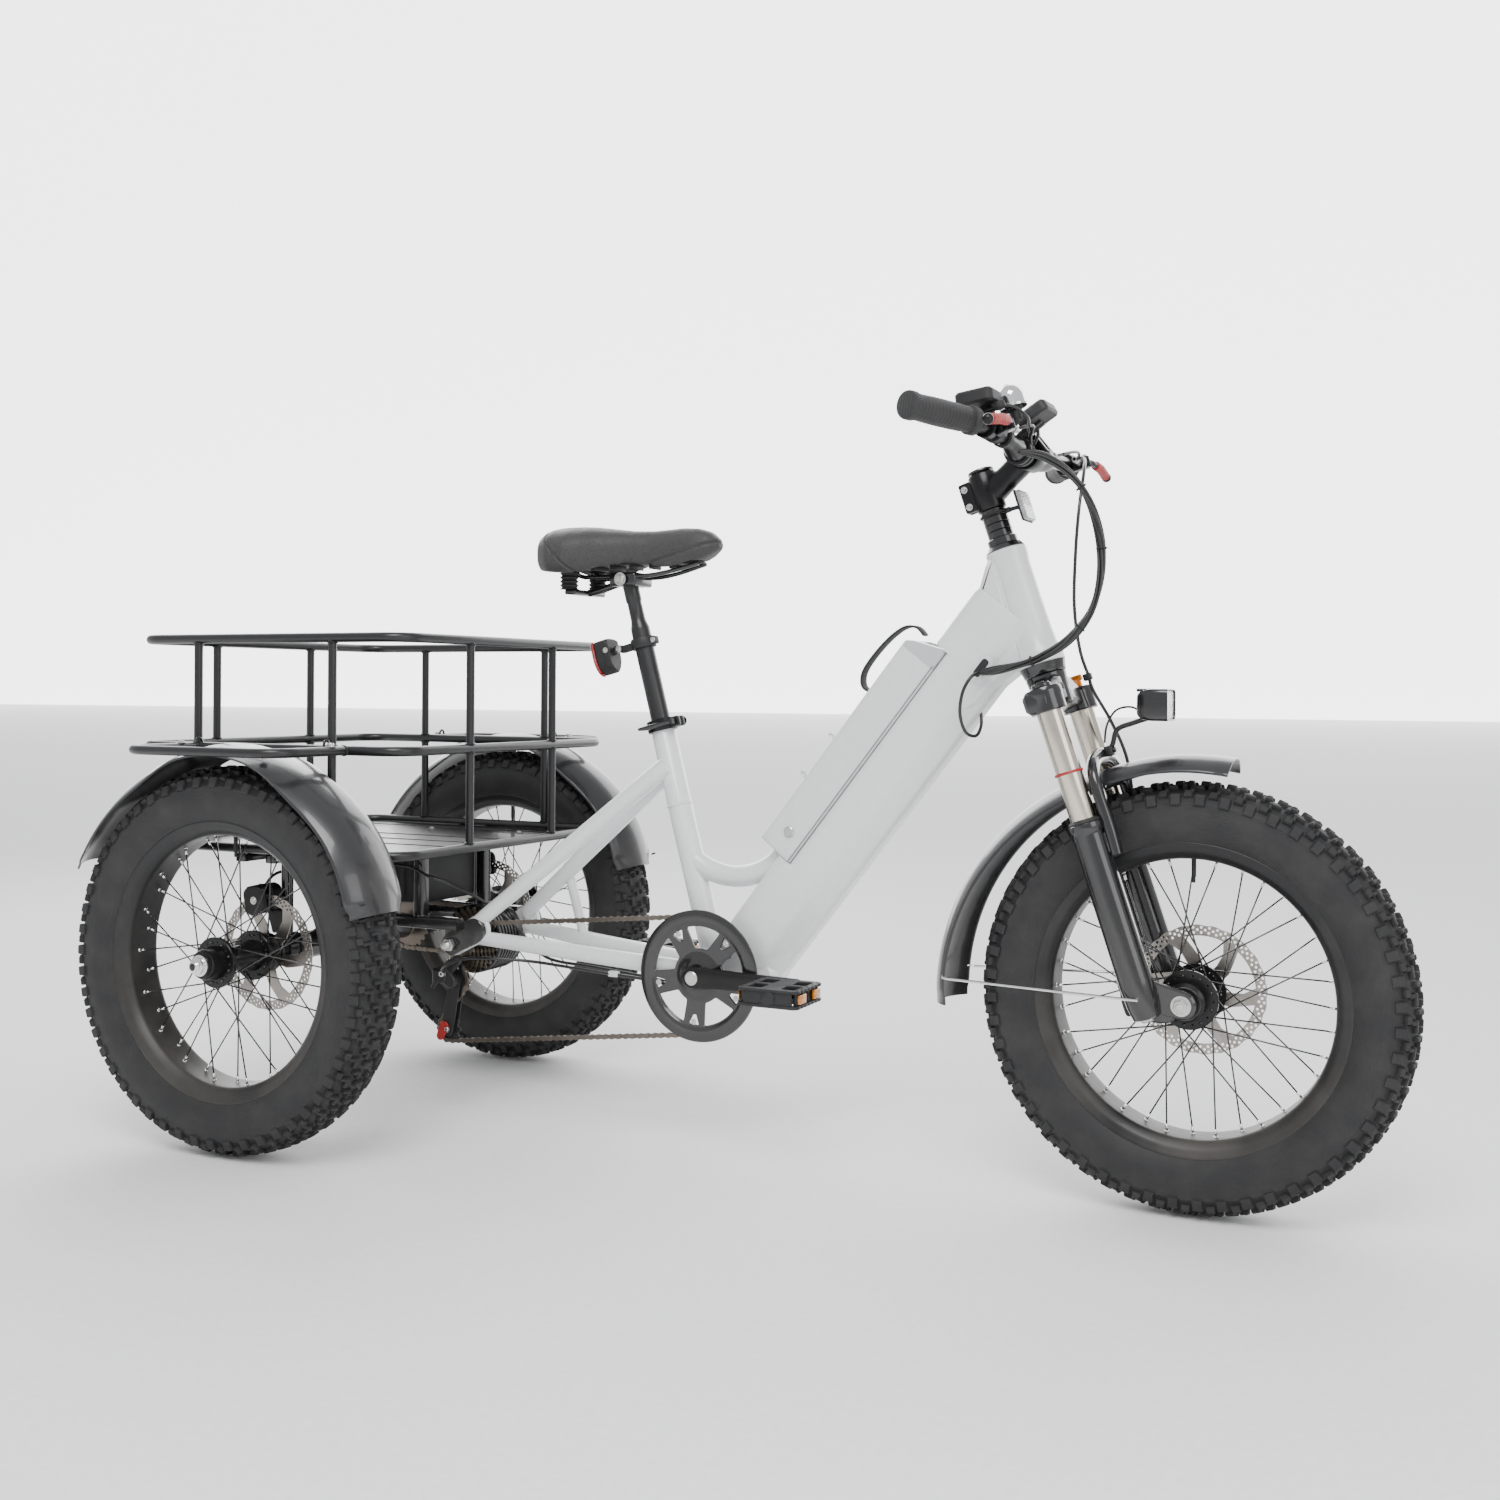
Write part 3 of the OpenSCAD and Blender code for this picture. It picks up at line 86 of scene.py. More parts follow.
def soft_light(name, place, aim, size, watts):
    """A square area light at place whose face looks at aim."""
    data = bpy.data.lights.new(name, "AREA")
    data.shape, data.size, data.energy = "SQUARE", size, watts
    lamp = bpy.data.objects.new(name, data)
    back = np.array(place, float) - np.array(aim, float)
    back /= np.linalg.norm(back)
    side = np.cross([0, 1, 0.001], back)
    side /= np.linalg.norm(side)
    matrix = np.eye(4)
    matrix[:3] = np.stack([side, np.cross(back, side), back, place], 1)
    lamp.matrix_world = Matrix(matrix.tolist())
    bpy.context.collection.objects.link(lamp)


camera()
soft_light("key_light", (0.9, -2.6, 3.6), (0, 0, 0.4), 2.0, 125)
soft_light("fill_light", (3.6, -1.6, 1.8), (0.2, 0, 0.5), 2.0, 34)
soft_light("rear_light", (-2.6, 1.8, 2.8), (-0.3, 0, 0.5), 2.4, 60)
world = bpy.data.worlds.new("studio")
world.use_nodes = True
world.node_tree.nodes["Background"].inputs[0].default_value = (0.97, 0.98, 1, 1)
world.node_tree.nodes["Background"].inputs[1].default_value = 0.85
bpy.context.scene.world = world
print("camera and", len(bpy.data.lights), "lights")

# %% [markdown]
# A finish is a node material. Writing its maths as Python keeps it readable, so a small class wraps a
# socket: adding, subtracting or scaling it makes the Math nodes. Colours are mixed by a Mix node, because a
# Math node would turn them grey.

# %% Sockets that take part in arithmetic
class Value:
    """A shader socket with Python's arithmetic."""

    def __init__(self, tree, socket):
        self.tree, self.socket = tree, socket

    def math(self, operation, *others, clamp=False):
        node = self.tree.nodes.new("ShaderNodeMath")
        node.operation, node.use_clamp = operation, clamp
        for slot, value in zip(node.inputs, others):
            feed(self.tree, slot, value)
        return Value(self.tree, node.outputs[0])

    def __add__(self, other): return self.math("ADD", self, other)
    __radd__ = __add__
    def __mul__(self, other): return self.math("MULTIPLY", self, other)
    __rmul__ = __mul__
    def __sub__(self, other): return self.math("SUBTRACT", self, other)
    def __rsub__(self, other): return self.math("SUBTRACT", other, self)
    def clip(self): return self.math("ADD", self, 0.0, clamp=True)
    def sine(self): return self.math("SINE", self)


def feed(tree, slot, value):
    """Links a Value, or sets a plain number, vector or colour."""
    if isinstance(value, Value):
        tree.links.new(value.socket, slot)
    else:
        slot.default_value = value


class Finish:
    """A material with one Principled shader. node() makes any other node."""

    def __init__(self, name, **sockets):
        self.material = bpy.data.materials.new(name)
        self.material.use_nodes = True
        self.tree = self.material.node_tree
        self.shader = self.tree.nodes["Principled BSDF"]
        self.place = self.node("TexCoord").outputs["Object"]
        self.set(**sockets)

    def node(self, kind, settings=(), **inputs):
        node = self.tree.nodes.new("ShaderNode" + kind)
        for key, value in dict(settings).items():
            setattr(node, key, value)
        for key, value in inputs.items():
            feed(self.tree, node.inputs[key.replace("_", " ")], value)
        return node

    def set(self, **sockets):
        for key, value in sockets.items():
            feed(self.tree, self.shader.inputs[key.replace("_", " ")], value)
        return self

    def at(self, scale=(1, 1, 1)):
        """Object coordinates stretched by scale."""
        node = self.node("Mapping", Scale=scale)
        self.tree.links.new(self.place, node.inputs["Vector"])
        return Value(self.tree, node.outputs["Vector"])

    def noise(self, size, detail=4, scale=(1, 1, 1), rough=0.55):
        """Noise whose blobs are about size metres across, from 0 to 1."""
        node = self.node("TexNoise", Vector=self.at(scale), Scale=1 / size, Detail=detail, Roughness=rough)
        return Value(self.tree, node.outputs["Fac"])

    def cells(self, size, feature="F1", scale=(1, 1, 1)):
        node = self.node("TexVoronoi", {"feature": feature}, Vector=self.at(scale), Scale=1 / size)
        return Value(self.tree, node.outputs["Distance"])

    def axis(self, letter):
        """One object coordinate in metres."""
        node = self.node("SeparateXYZ")
        self.tree.links.new(self.place, node.inputs[0])
        return Value(self.tree, node.outputs[letter])

    def attribute(self, name):
        return Value(self.tree, self.node("Attribute", {"attribute_name": name}).outputs["Fac"])

    def ramp(self, value, low, high):
        """0 below low, 1 above high, and a straight line between."""
        node = self.node("MapRange", {"clamp": True}, Value=value)
        node.inputs["From Min"].default_value, node.inputs["From Max"].default_value = low, high
        return Value(self.tree, node.outputs["Result"])

    def mix(self, factor, first, second):
        node = self.node("Mix", {"data_type": "RGBA"})
        for slot, value in ((0, factor), (6, first), (7, second)):
            feed(self.tree, node.inputs[slot], value if isinstance(value, Value) or slot == 0
                else (*value[:3], 1))
        return Value(self.tree, node.outputs[2])

    def bump(self, height, depth, strength=0.6):
        node = self.node("Bump", Height=height, Strength=strength, Distance=depth)
        self.set(Normal=Value(self.tree, node.outputs[0]))
        return self


print("shader helpers ready")

# %% [markdown]
# Painted and coated metal. A gloss paint has a faint orange peel and gathers a little dust low
# down. Powder coat is finer, rougher and darker. Both are made by one function, so that a frame,
# a basket and a rim differ only in their numbers.

# %% Paints, plastics and metals
def painted(name, colour, rough, coat, peel_size, peel_depth, dust=0.12, metal=0.0):
    """Colour = paint mixed with dust where slow noise and nearness to the ground are high.
    Roughness = base + noise + dust. Height = fine noise."""
    f = Finish(name, Metallic=metal, Coat_Roughness=0.08)
    slow = f.noise(0.11, 3)
    low = 1 - f.ramp(f.axis("Z"), 0.1, 0.75)
    dirt = f.ramp(slow * low, 0.22, 0.62) * dust
    fine = f.noise(0.012, 5)
    shade = [c * 0.86 for c in colour]
    base = f.mix(f.ramp(fine, 0.35, 0.7) * 0.35, colour, shade)
    f.set(Base_Color=f.mix(dirt, base, (0.34, 0.31, 0.27)),
        Roughness=(rough + (fine - 0.5) * 0.1 + dirt * 0.4).clip(), Coat_Weight=(coat - dirt * 1.2).clip())
    return f.bump(f.noise(peel_size, 2), peel_depth, 0.35).material


def machined(name, colour, rough, along=(1, 1, 1), line=0.0012, stain=(0.25, 0.23, 0.21)):
    """Metal with fine lines: noise stretched along one axis moves the roughness and the height."""
    f = Finish(name, Metallic=1.0)
    lines = f.noise(line, 3, along)
    cloud = f.noise(0.03, 4)
    f.set(Base_Color=f.mix(f.ramp(cloud, 0.5, 0.9) * 0.3, colour, stain),
        Roughness=(rough + (lines - 0.5) * 0.16 + (cloud - 0.5) * 0.12).clip())
    return f.bump(lines, 0.00006, 0.5).material


def moulded(name, colour, rough, grain=0.0011, depth=0.00012, coat=0.0):
    """Moulded plastic: spark-eroded grain from noise, and slow changes of gloss where hands rub it."""
    f = Finish(name, Coat_Weight=coat, Coat_Roughness=0.15)
    cloud = f.noise(0.04, 3)
    f.set(Base_Color=f.mix(f.ramp(cloud, 0.4, 0.8) * 0.3, colour, [min(1, c * 1.5 + 0.01) for c in colour]),
        Roughness=(rough + (cloud - 0.5) * 0.2).clip())
    return f.bump(f.noise(grain, 2), depth, 0.5).material


white_paint = painted("gloss_white_paint", (0.80, 0.81, 0.82), 0.26, 0.7, 0.004, 0.00005, 0.10)
white_case = painted("white_battery_case", (0.76, 0.77, 0.78), 0.34, 0.35, 0.0016, 0.00004, 0.06)
black_coat = painted("black_powder_coat", (0.009, 0.009, 0.010), 0.36, 0.15, 0.0012, 0.00007, 0.10)
black_gloss = painted("gloss_black_lacquer", (0.010, 0.010, 0.011), 0.20, 0.6, 0.004, 0.00003, 0.06)
fender_skin = painted("charcoal_fender_plastic", (0.018, 0.018, 0.020), 0.30, 0.45, 0.006, 0.00008, 0.12)
black_anodised = painted("black_anodised_alloy", (0.011, 0.011, 0.012), 0.30, 0.1, 0.0009, 0.00003, 0.06,
    0.6)
rim_black = painted("satin_black_rim", (0.007, 0.007, 0.008), 0.42, 0.1, 0.0016, 0.00004, 0.14, 0.2)
legs_metal = machined("champagne_stanchion_metal", (0.66, 0.60, 0.52), 0.20, (8, 8, 0.4))
steel = machined("zinc_steel", (0.62, 0.61, 0.59), 0.30)
rotor_steel = machined("rotor_steel", (0.40, 0.37, 0.34), 0.36, line=0.0009)
chain_steel = machined("oiled_chain_steel", (0.19, 0.165, 0.14), 0.36, line=0.0007,
    stain=(0.08, 0.06, 0.045))
silver = machined("bright_alloy", (0.80, 0.80, 0.79), 0.18)
bell_metal = machined("bell_chrome", (0.86, 0.86, 0.87), 0.10, line=0.004)
matte_black = moulded("black_moulded_plastic", (0.010, 0.010, 0.011), 0.52)
grey_plastic = moulded("grey_moulded_plastic", (0.075, 0.078, 0.082), 0.45)
orange_metal = painted("orange_anodised_alloy", (0.62, 0.19, 0.02), 0.30, 0.2, 0.001, 0.00003, 0.0, 0.7)
red_rubber = moulded("red_rubber", (0.34, 0.016, 0.014), 0.42, 0.0016, 0.0001)
cable_sheath = moulded("black_cable_sheath", (0.012, 0.012, 0.012), 0.30, 0.004, 0.00005, 0.2)
print("finishes so far", len(bpy.data.materials))

# %% [markdown]
# Rubber and leatherette. A tyre's side has fine moulding rings about the axle, so its rings come
# from the distance that the mesh keeps in its own attribute. Leatherette is grain between soft
# pebbles: a Voronoi edge distance gives the creases, and noise bends them.

# %% Rubber, leatherette and lenses
def tyre_rubber():
    """Dust = noise, stronger on the sides. Rings = sine of the radius attribute, faded at the tread."""
    f = Finish("tyre_rubber", Specular_IOR_Level=0.35)
    cloud, fine = f.noise(0.05, 5), f.noise(0.0016, 3)
    radius = f.attribute("radius")
    side = 1 - f.ramp(radius, 0.264, 0.27)
    dust = f.ramp(cloud, 0.42, 0.75) * 0.35
    f.set(Base_Color=f.mix(dust, (0.020, 0.020, 0.021), (0.060, 0.058, 0.054)),
        Roughness=(0.66 + (fine - 0.5) * 0.12 + dust * 0.2 - side * 0.1).clip())
    rings = (radius * 2600).sine() * side
    return f.bump(rings * 0.35 + fine, 0.0003, 0.45).material


def leatherette():
    """Pebbles = edge distance of warped cells; the colour has painted shade in the creases and painted
    light on the pebble tops, which are paler.
    """
    f = Finish("black_leatherette", Sheen_Weight=0.15, Sheen_Roughness=0.5)
    pebble = f.cells(0.0022, "DISTANCE_TO_EDGE")
    crease = f.ramp(pebble, 0.0, 0.16)
    cloud = f.noise(0.05, 4)
    # Painted shade: the colour darkens from the pebble tops down into the creases between them.
    colour = f.mix(crease, (0.014, 0.014, 0.015), (0.034, 0.033, 0.033))
    f.set(Base_Color=f.mix(f.ramp(cloud, 0.5, 0.8) * 0.3, colour, (0.055, 0.053, 0.052)),
        Roughness=(0.46 + (cloud - 0.5) * 0.25 + (1 - crease) * 0.15).clip())
    return f.bump(crease + f.noise(0.0009, 2) * 0.3, 0.00028, 0.55).material


def lens(name, colour, size, clear):
    """Moulded prisms: cells give small facets in the surface, painted shade darkens the colour towards each
    facet's edge, and a little light passes through.
    """
    f = Finish(name, Transmission_Weight=clear, IOR=1.49, Coat_Weight=0.6)
    prism = f.cells(size, "F1")
    # Painted shade: the colour darkens by up to a third towards the edges of the prism cells.
    f.set(Base_Color=f.mix(f.ramp(prism, 0.1, 0.7) * 0.6, colour, [c * 0.45 for c in colour]),
        Roughness=(0.08 + prism * 0.1).clip())
    return f.bump(prism, 0.0006, 0.7).material


def grip_rubber():
    """Knurled rubber: two crossed sines make diamonds, and noise rubs the gloss."""
    f = Finish("grip_rubber")
    u, v = f.axis("Y"), f.axis("Z")
    diamonds = ((u + v) * 1500).sine() * ((u - v) * 1500).sine()
    rub = f.noise(0.02, 3)
    f.set(Base_Color=f.mix(f.ramp(rub, 0.4, 0.8) * 0.5, (0.018, 0.018, 0.019), (0.045, 0.045, 0.045)),
        Roughness=(0.55 + (rub - 0.5) * 0.3).clip())
    return f.bump(diamonds, 0.0004, 0.6).material


rubber, leather, grip_skin = tyre_rubber(), leatherette(), grip_rubber()
clear_lens = lens("clear_prism_lens", (0.86, 0.88, 0.90), 0.004, 0.45)
smooth_lens = lens("clear_smooth_lens", (0.90, 0.92, 0.94), 0.02, 0.7)
amber_lens = lens("amber_reflector", (0.80, 0.26, 0.02), 0.003, 0.1)
red_lens = lens("red_lens", (0.45, 0.01, 0.012), 0.003, 0.15)
wall_light = bpy.data.materials.new("bright_wall")
wall_light.use_nodes = True
for slot_name, value in (("Emission Color", (1, 1, 1, 1)), ("Emission Strength", 3.2),
        ("Base Color", (0.9, 0.9, 0.9, 1))):
    wall_light.node_tree.nodes["Principled BSDF"].inputs[slot_name].default_value = value
floor_paint = painted("pale_floor", (0.93, 0.93, 0.93), 0.7, 0.0, 0.01, 0.00004, 0.0)
print("finishes", len(bpy.data.materials))

# %% [markdown]
# Shapes are worked out in millimetres in the drawing's own views, then placed. The tricycle has
# three of them: the plain side view from the rear axle, the steering axis, which leans back by
# 18.6 degrees, and the seat tube, which leans by 15.

# %% From drawing millimetres to the frame
WHEELBASE, AXLE_Z, REAR_Y = 1360, 292, 358


def leaning(points, lean_deg, foot):
    """X = foot + x cos a - z sin a, Z = foot + x sin a + z cos a, Y unchanged, then to metres."""
    p = np.asarray(points, float)
    c, s = math.cos(math.radians(lean_deg)), math.sin(math.radians(lean_deg))
    x, z = p[..., 0] * c - p[..., 2] * s, p[..., 0] * s + p[..., 2] * c
    return np.stack([(foot[0] + x - WHEELBASE / 2) / 1000, p[..., 1] / 1000, (foot[1] + z) / 1000], -1)


def upright(points): return leaning(points, 0, (0, 0))
def steered(points): return leaning(points, 18.6, (1304.08, 273.18))
def seated(points): return leaning(points, 15, (633, 270))
def down_tube(points): return leaning(points, 52, (749, 271))


def turned_frame(centre, degrees, place=steered):
    """X = x cos a + z sin a, Z = z cos a - x sin a, moved to centre and then placed: the frame of
    a part that leans about the cross axis through centre."""
    a = math.radians(degrees)

    def lean(points):
        p = np.asarray(points, float)
        x, z = p[:, 0] * math.cos(a) + p[:, 2] * math.sin(a), -p[:, 0] * math.sin(a) + p[:, 2] * math.cos(a)
        return place(np.stack([x, p[:, 1], z], -1) + centre)
    return lean


print("front axle at", np.round(steered((59, 0, 0)), 4))

# %% [markdown]
# Nearly every piece is one of four surfaces: a section carried along a path, a profile turned about
# an axle, a flat plate with an outline, or a box with rolled edges. Each is a grid of points from
# whole numpy arrays, and joining them is only an offset of face numbers.

# %% The four surfaces
def smooth_path(points, steps):
    """Catmull-Rom: each span is a cubic through its ends, with slopes from the neighbours."""
    p = np.asarray(points, float)
    ends = np.concatenate([p[:1], p, p[-1:]])
    t = np.linspace(0, 1, steps, endpoint=False)[:, None, None]
    a, b, c, d = ends[:-3], ends[1:-2], ends[2:-1], ends[3:]
    curve = 0.5 * (2 * b + (c - a) * t + (2 * a - 5 * b + 4 * c - d) * t ** 2 + (3 * b - a - 3 * c + d)
        * t ** 3)
    return np.concatenate([curve.transpose(1, 0, 2).reshape(-1, p.shape[1]), p[-1:]])


def grid(points, close_u=False, close_v=True):
    """Faces between neighbouring rows u and columns v of points[u, v], and a cap on each open end."""
    nu, nv = points.shape[:2]
    i = np.arange(nu if close_u else nu - 1)[:, None]
    j = np.arange(nv if close_v else nv - 1)[None, :]
    a, b = i * nv + j, i * nv + (j + 1) % nv
    c, d = ((i + 1) % nu) * nv + (j + 1) % nv, ((i + 1) % nu) * nv + j
    faces = np.stack([a, b, c, d], -1).reshape(-1, 4).tolist()
    if close_v and not close_u:
        faces += [list(range(nv))[::-1], list(range((nu - 1) * nv, nu * nv))]
    return points.reshape(-1, 3), faces


def section(rx, ry, power=2.0, n=20):
    """Superellipse: x = rx sgn(cos)|cos|^(2/p), y = ry sgn(sin)|sin|^(2/p)."""
    a = np.linspace(0, 2 * np.pi, n, endpoint=False)
    c, s = np.cos(a), np.sin(a)
    return np.stack([rx * np.sign(c) * abs(c) ** (2 / power), ry * np.sign(s) * abs(s) ** (2 / power)], -1)


def tube(path, radius, n=16, steps=6, outline=None, ring=False, across=(0, 1, 0)):
    """Section carried along a smooth path: point = centre + x side + y normal, where side is square
    to the tangent and as near to across as it can be. radius may change along the path."""
    p = smooth_path(path, steps) if steps > 1 else np.asarray(path, float)
    if ring:
        tangent = np.roll(p, -1, 0) - np.roll(p, 1, 0)
    else:
        tangent = np.gradient(p, axis=0)
    tangent /= np.linalg.norm(tangent, axis=1)[:, None]
    normal = np.cross(tangent, across)
    weak = np.linalg.norm(normal, axis=1) < 0.2
    normal[weak] = np.cross(tangent[weak], (0.3, 0, 1))
    normal /= np.linalg.norm(normal, axis=1)[:, None]
    side = np.cross(normal, tangent)
    shape = section(1, 1, n=n) if outline is None else np.asarray(outline, float)
    r = np.interp(np.linspace(0, 1, len(p)), np.linspace(0, 1, np.size(radius)), np.atleast_1d(radius))
    points = p[:, None] + r[:, None, None] * (shape[None, :, :1] * side[:, None] + shape[None, :, 1:]
        * normal[:, None])
    return grid(points, ring)


def turned(profile, centre=(0, 0, 0), axis="y", n=48, closed=False):
    """Each (radius, height) turned about an axis: (r cos a, h, r sin a). An open profile that ends
    at radius 0 is shut by its caps."""
    p = np.asarray(profile, float)
    a = np.radians(np.linspace(0, 360, n, endpoint=False))[:, None]
    r, h = p[None, :, 0], p[None, :, 1] + 0 * a
    rings = {"y": (r * np.cos(a), h, r * np.sin(a)), "z": (r * np.sin(a), r * np.cos(a), h),
        "x": (h, r * np.sin(a), r * np.cos(a))}[axis]
    points = np.stack(rings, -1) + np.asarray(centre, float)
    verts, faces = grid(points, True, closed)
    if not closed:
        count = len(p)
        faces += [list(range(0, n * count, count)), list(range(count - 1, n * count, count))[::-1]]
    return verts, faces


def plate(outline, low, high, axis="y", edge=0.8):
    """An outline in two coordinates, raised from low to high, with its edges rolled by edge."""
    p = np.asarray(outline, float)
    centre = p.mean(0)
    ahead = np.roll(p, -1, 0) - np.roll(p, 1, 0)
    normal = np.stack([ahead[:, 1], -ahead[:, 0]], -1) / np.maximum(np.linalg.norm(ahead, axis=1), 1e-6)[:,
        None]
    turn = np.sign(np.sum((p - centre) * normal, 1).mean())
    small = p - normal * turn * edge
    rings = [(small, low), (p, low + edge), (p, high - edge), (small, high)]
    order = {"y": (0, 2, 1), "z": (0, 1, 2), "x": (1, 2, 0)}[axis]
    points = np.stack([np.concatenate([q, np.full((len(q), 1), h)], 1) for q, h in rings])
    flat = np.empty_like(points)
    flat[..., order[0]], flat[..., order[1]], flat[..., order[2]] = points[..., 0], points[...,
        1], points[..., 2]
    return grid(flat)


def soft_box(low, high, r=2.0, n=3):
    """Point = r times a direction on the sphere + the corner of the box shrunk by r. Each eighth of
    the sphere goes to its own corner, so the flats appear between them."""
    low, high = np.asarray(low, float), np.asarray(high, float)
    half = (high - low) / 2
    r = min(r, half.min() * 0.98)
    quarter = np.linspace(0, np.pi / 2, n + 1)
    around = np.concatenate([quarter + k * np.pi / 2 for k in range(4)])
    rise = np.concatenate([quarter - np.pi / 2, quarter])
    sx = np.repeat([1, -1, -1, 1], n + 1)
    sy = np.repeat([1, 1, -1, -1], n + 1)
    sz = np.repeat([-1, 1], n + 1)
    a, e = around[None, :], rise[:, None]
    inner = half - r
    x = r * np.cos(e) * np.cos(a) + sx[None, :] * inner[0]
    y = r * np.cos(e) * np.sin(a) + sy[None, :] * inner[1]
    z = r * np.sin(e) + sz[:, None] * inner[2] + 0 * a
    return grid(np.stack([x, y, z], -1) + (low + high) / 2)


def bolt(centre, axis, r=4.5, height=4.0, out=1):
    """A button head with a socket, on its washer, standing out along axis."""
    c = {"y": 1, "z": 2, "x": 0}[axis]
    head = [(0, 0), (r * 1.5, 0), (r * 1.5, 0.9), (r, 1.0), (r, height * 0.7), (r * 0.82, height)]
    head += [(r * 0.45, height), (r * 0.45, height * 0.5), (0, height * 0.5)]
    verts, faces = turned(head, axis=axis, n=16)
    verts = verts.copy()
    verts[:, c] *= out
    return verts + np.asarray(centre, float), faces


def joined(*shapes):
    """One shape from several: the face numbers of each are raised by the points before it."""
    verts, faces, start = [], [], 0
    for v, f in shapes:
        verts.append(np.asarray(v, float).reshape(-1, 3))
        faces += [[k + start for k in face] for face in f]
        start += len(verts[-1])
    return np.concatenate(verts), faces


def mirrored(shape):
    """The same shape and its twin across the tricycle's middle plane."""
    verts, faces = shape
    return joined(shape, (verts * [1, -1, 1], [face[::-1] for face in faces]))


def other_side(shape):
    """The twin alone: y changes its sign, so each face is listed backwards to stay outward."""
    verts, faces = shape
    return verts * [1, -1, 1], [face[::-1] for face in faces]


def on_side(shape, sign):
    """A shape drawn for the left: kept where sign is 1, its twin where sign is -1."""
    return other_side(shape) if sign < 0 else shape


def moved(shape, by):
    """The same shape, by millimetres further along x, y and z."""
    return shape[0] + by, shape[1]


print("a soft box has", len(soft_box((0, 0, 0), (10, 10, 10))[1]), "faces")

# %% [markdown]
# A piece is one object. Its points go straight to their place in the frame, doubled points are
# merged, faces are turned outwards, and an edge sharper than 35 degrees is marked sharp, so that
# round tubes shade smoothly and machined corners stay crisp.

# %% Making a piece
made = []


def piece(name, shape, body, finish, replaces=(), place=upright, sharp=35, numbers=None):
    verts, faces = shape
    mesh = bpy.data.meshes.new(name)
    mesh.from_pydata(place(verts).tolist(), [], faces)
    for key, values in (numbers or {}).items():
        mesh.attributes.new(key, "FLOAT", "POINT").data.foreach_set("value", np.asarray(values, np.float32))
    work = bmesh.new()
    work.from_mesh(mesh)
    bmesh.ops.remove_doubles(work, verts=work.verts, dist=1e-6)
    bmesh.ops.recalc_face_normals(work, faces=work.faces)
    for edge in work.edges:
        edge.smooth = len(edge.link_faces) != 2 or edge.calc_face_angle(0) < math.radians(sharp)
    work.to_mesh(mesh)
    work.free()
    mesh.polygons.foreach_set("use_smooth", [True] * len(mesh.polygons))
    mesh.materials.append(finish)
    thing = bpy.data.objects.new(name, mesh)
    bpy.context.collection.objects.link(thing)
    if body:
        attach(thing, body)
    if replaces:
        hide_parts(*([replaces] if isinstance(replaces, str) else replaces))
    made.append(name)
    return thing


floor = bpy.data.objects.new("floor", bpy.data.meshes.new("floor"))
floor.data.from_pydata([(-60, -60, 0), (60, -60, 0), (60, 60, 0), (-60, 60, 0)], [], [(0, 1, 2, 3)])
floor.data.materials.append(floor_paint)
bpy.context.collection.objects.link(floor)
wall = bpy.data.objects.new("bright_wall", bpy.data.meshes.new("bright_wall"))
wall.data.from_pydata([(-60, 40, -1), (30, 46, -1), (30, 46, 45), (-60, 40, 45)], [], [(0, 1, 2, 3)])
wall.data.materials.append(wall_light)
bpy.context.collection.objects.link(wall)
print("floor and wall stand")

# %% [markdown]
# ## Wheels
# A fat tyre is a turned casing with rubber blocks standing on it. The casing is one profile turned
# about the axle. A block is a small frustum in the casing's own coordinates: distance round the
# tyre, distance across it, and height. The same few blocks repeat round the wheel, so one pitch is
# computed and numpy turns it into the whole tread.

# %% Tyre casing and tread
CASING = [(285.5, 0), (285, 9), (283.4, 20), (279.8, 31), (273, 40), (264, 45.6), (263, 46.6), (262, 46.4),
    (252, 48.6), (240, 48.8), (227, 46.2), (217, 42.4), (212.5, 39.6), (207, 36.4), (203.2, 35.5),
    (203.2, 31)]
PITCHES = 52


def casing_profile():
    """The half profile, a copy of it across the wheel, and an inner wall 4 mm below."""
    half = np.array(CASING, float)
    inner = half[3:-2] * [1, 0.92] - [5, 0]
    side = np.concatenate([half, inner[::-1]])
    return np.concatenate([side[::-1], (side * [1, -1])[1:]])


def lugs():
    """Each lug is (round, across, length, width, height): places in mm on one pitch of the tread."""
    step = 2 * math.pi * 286 / PITCHES
    half = [(0.0, 50, 15, 13, 7.6), (0.5, 41, 12, 9, 6.4), (0.22, 27, 17, 6, 6.6), (0.36, 31.5, 6, 14, 6.6),
        (0.72, 18, 6, 13, 6.6), (0.60, 13.5, 13, 5, 6.6)]
    middle = [(0.12, 4.5, 7, 15, 6.6), (0.5, -5, 9, 6, 6.6)]
    rows = [(u * step, v, a, b, h) for u, v, a, b, h in half]
    rows += [((u + 0.5) * step, -v, a, b, h) for u, v, a, b, h in half]
    return np.array(rows + [(u * step, v, a, b, h) for u, v, a, b, h in middle])


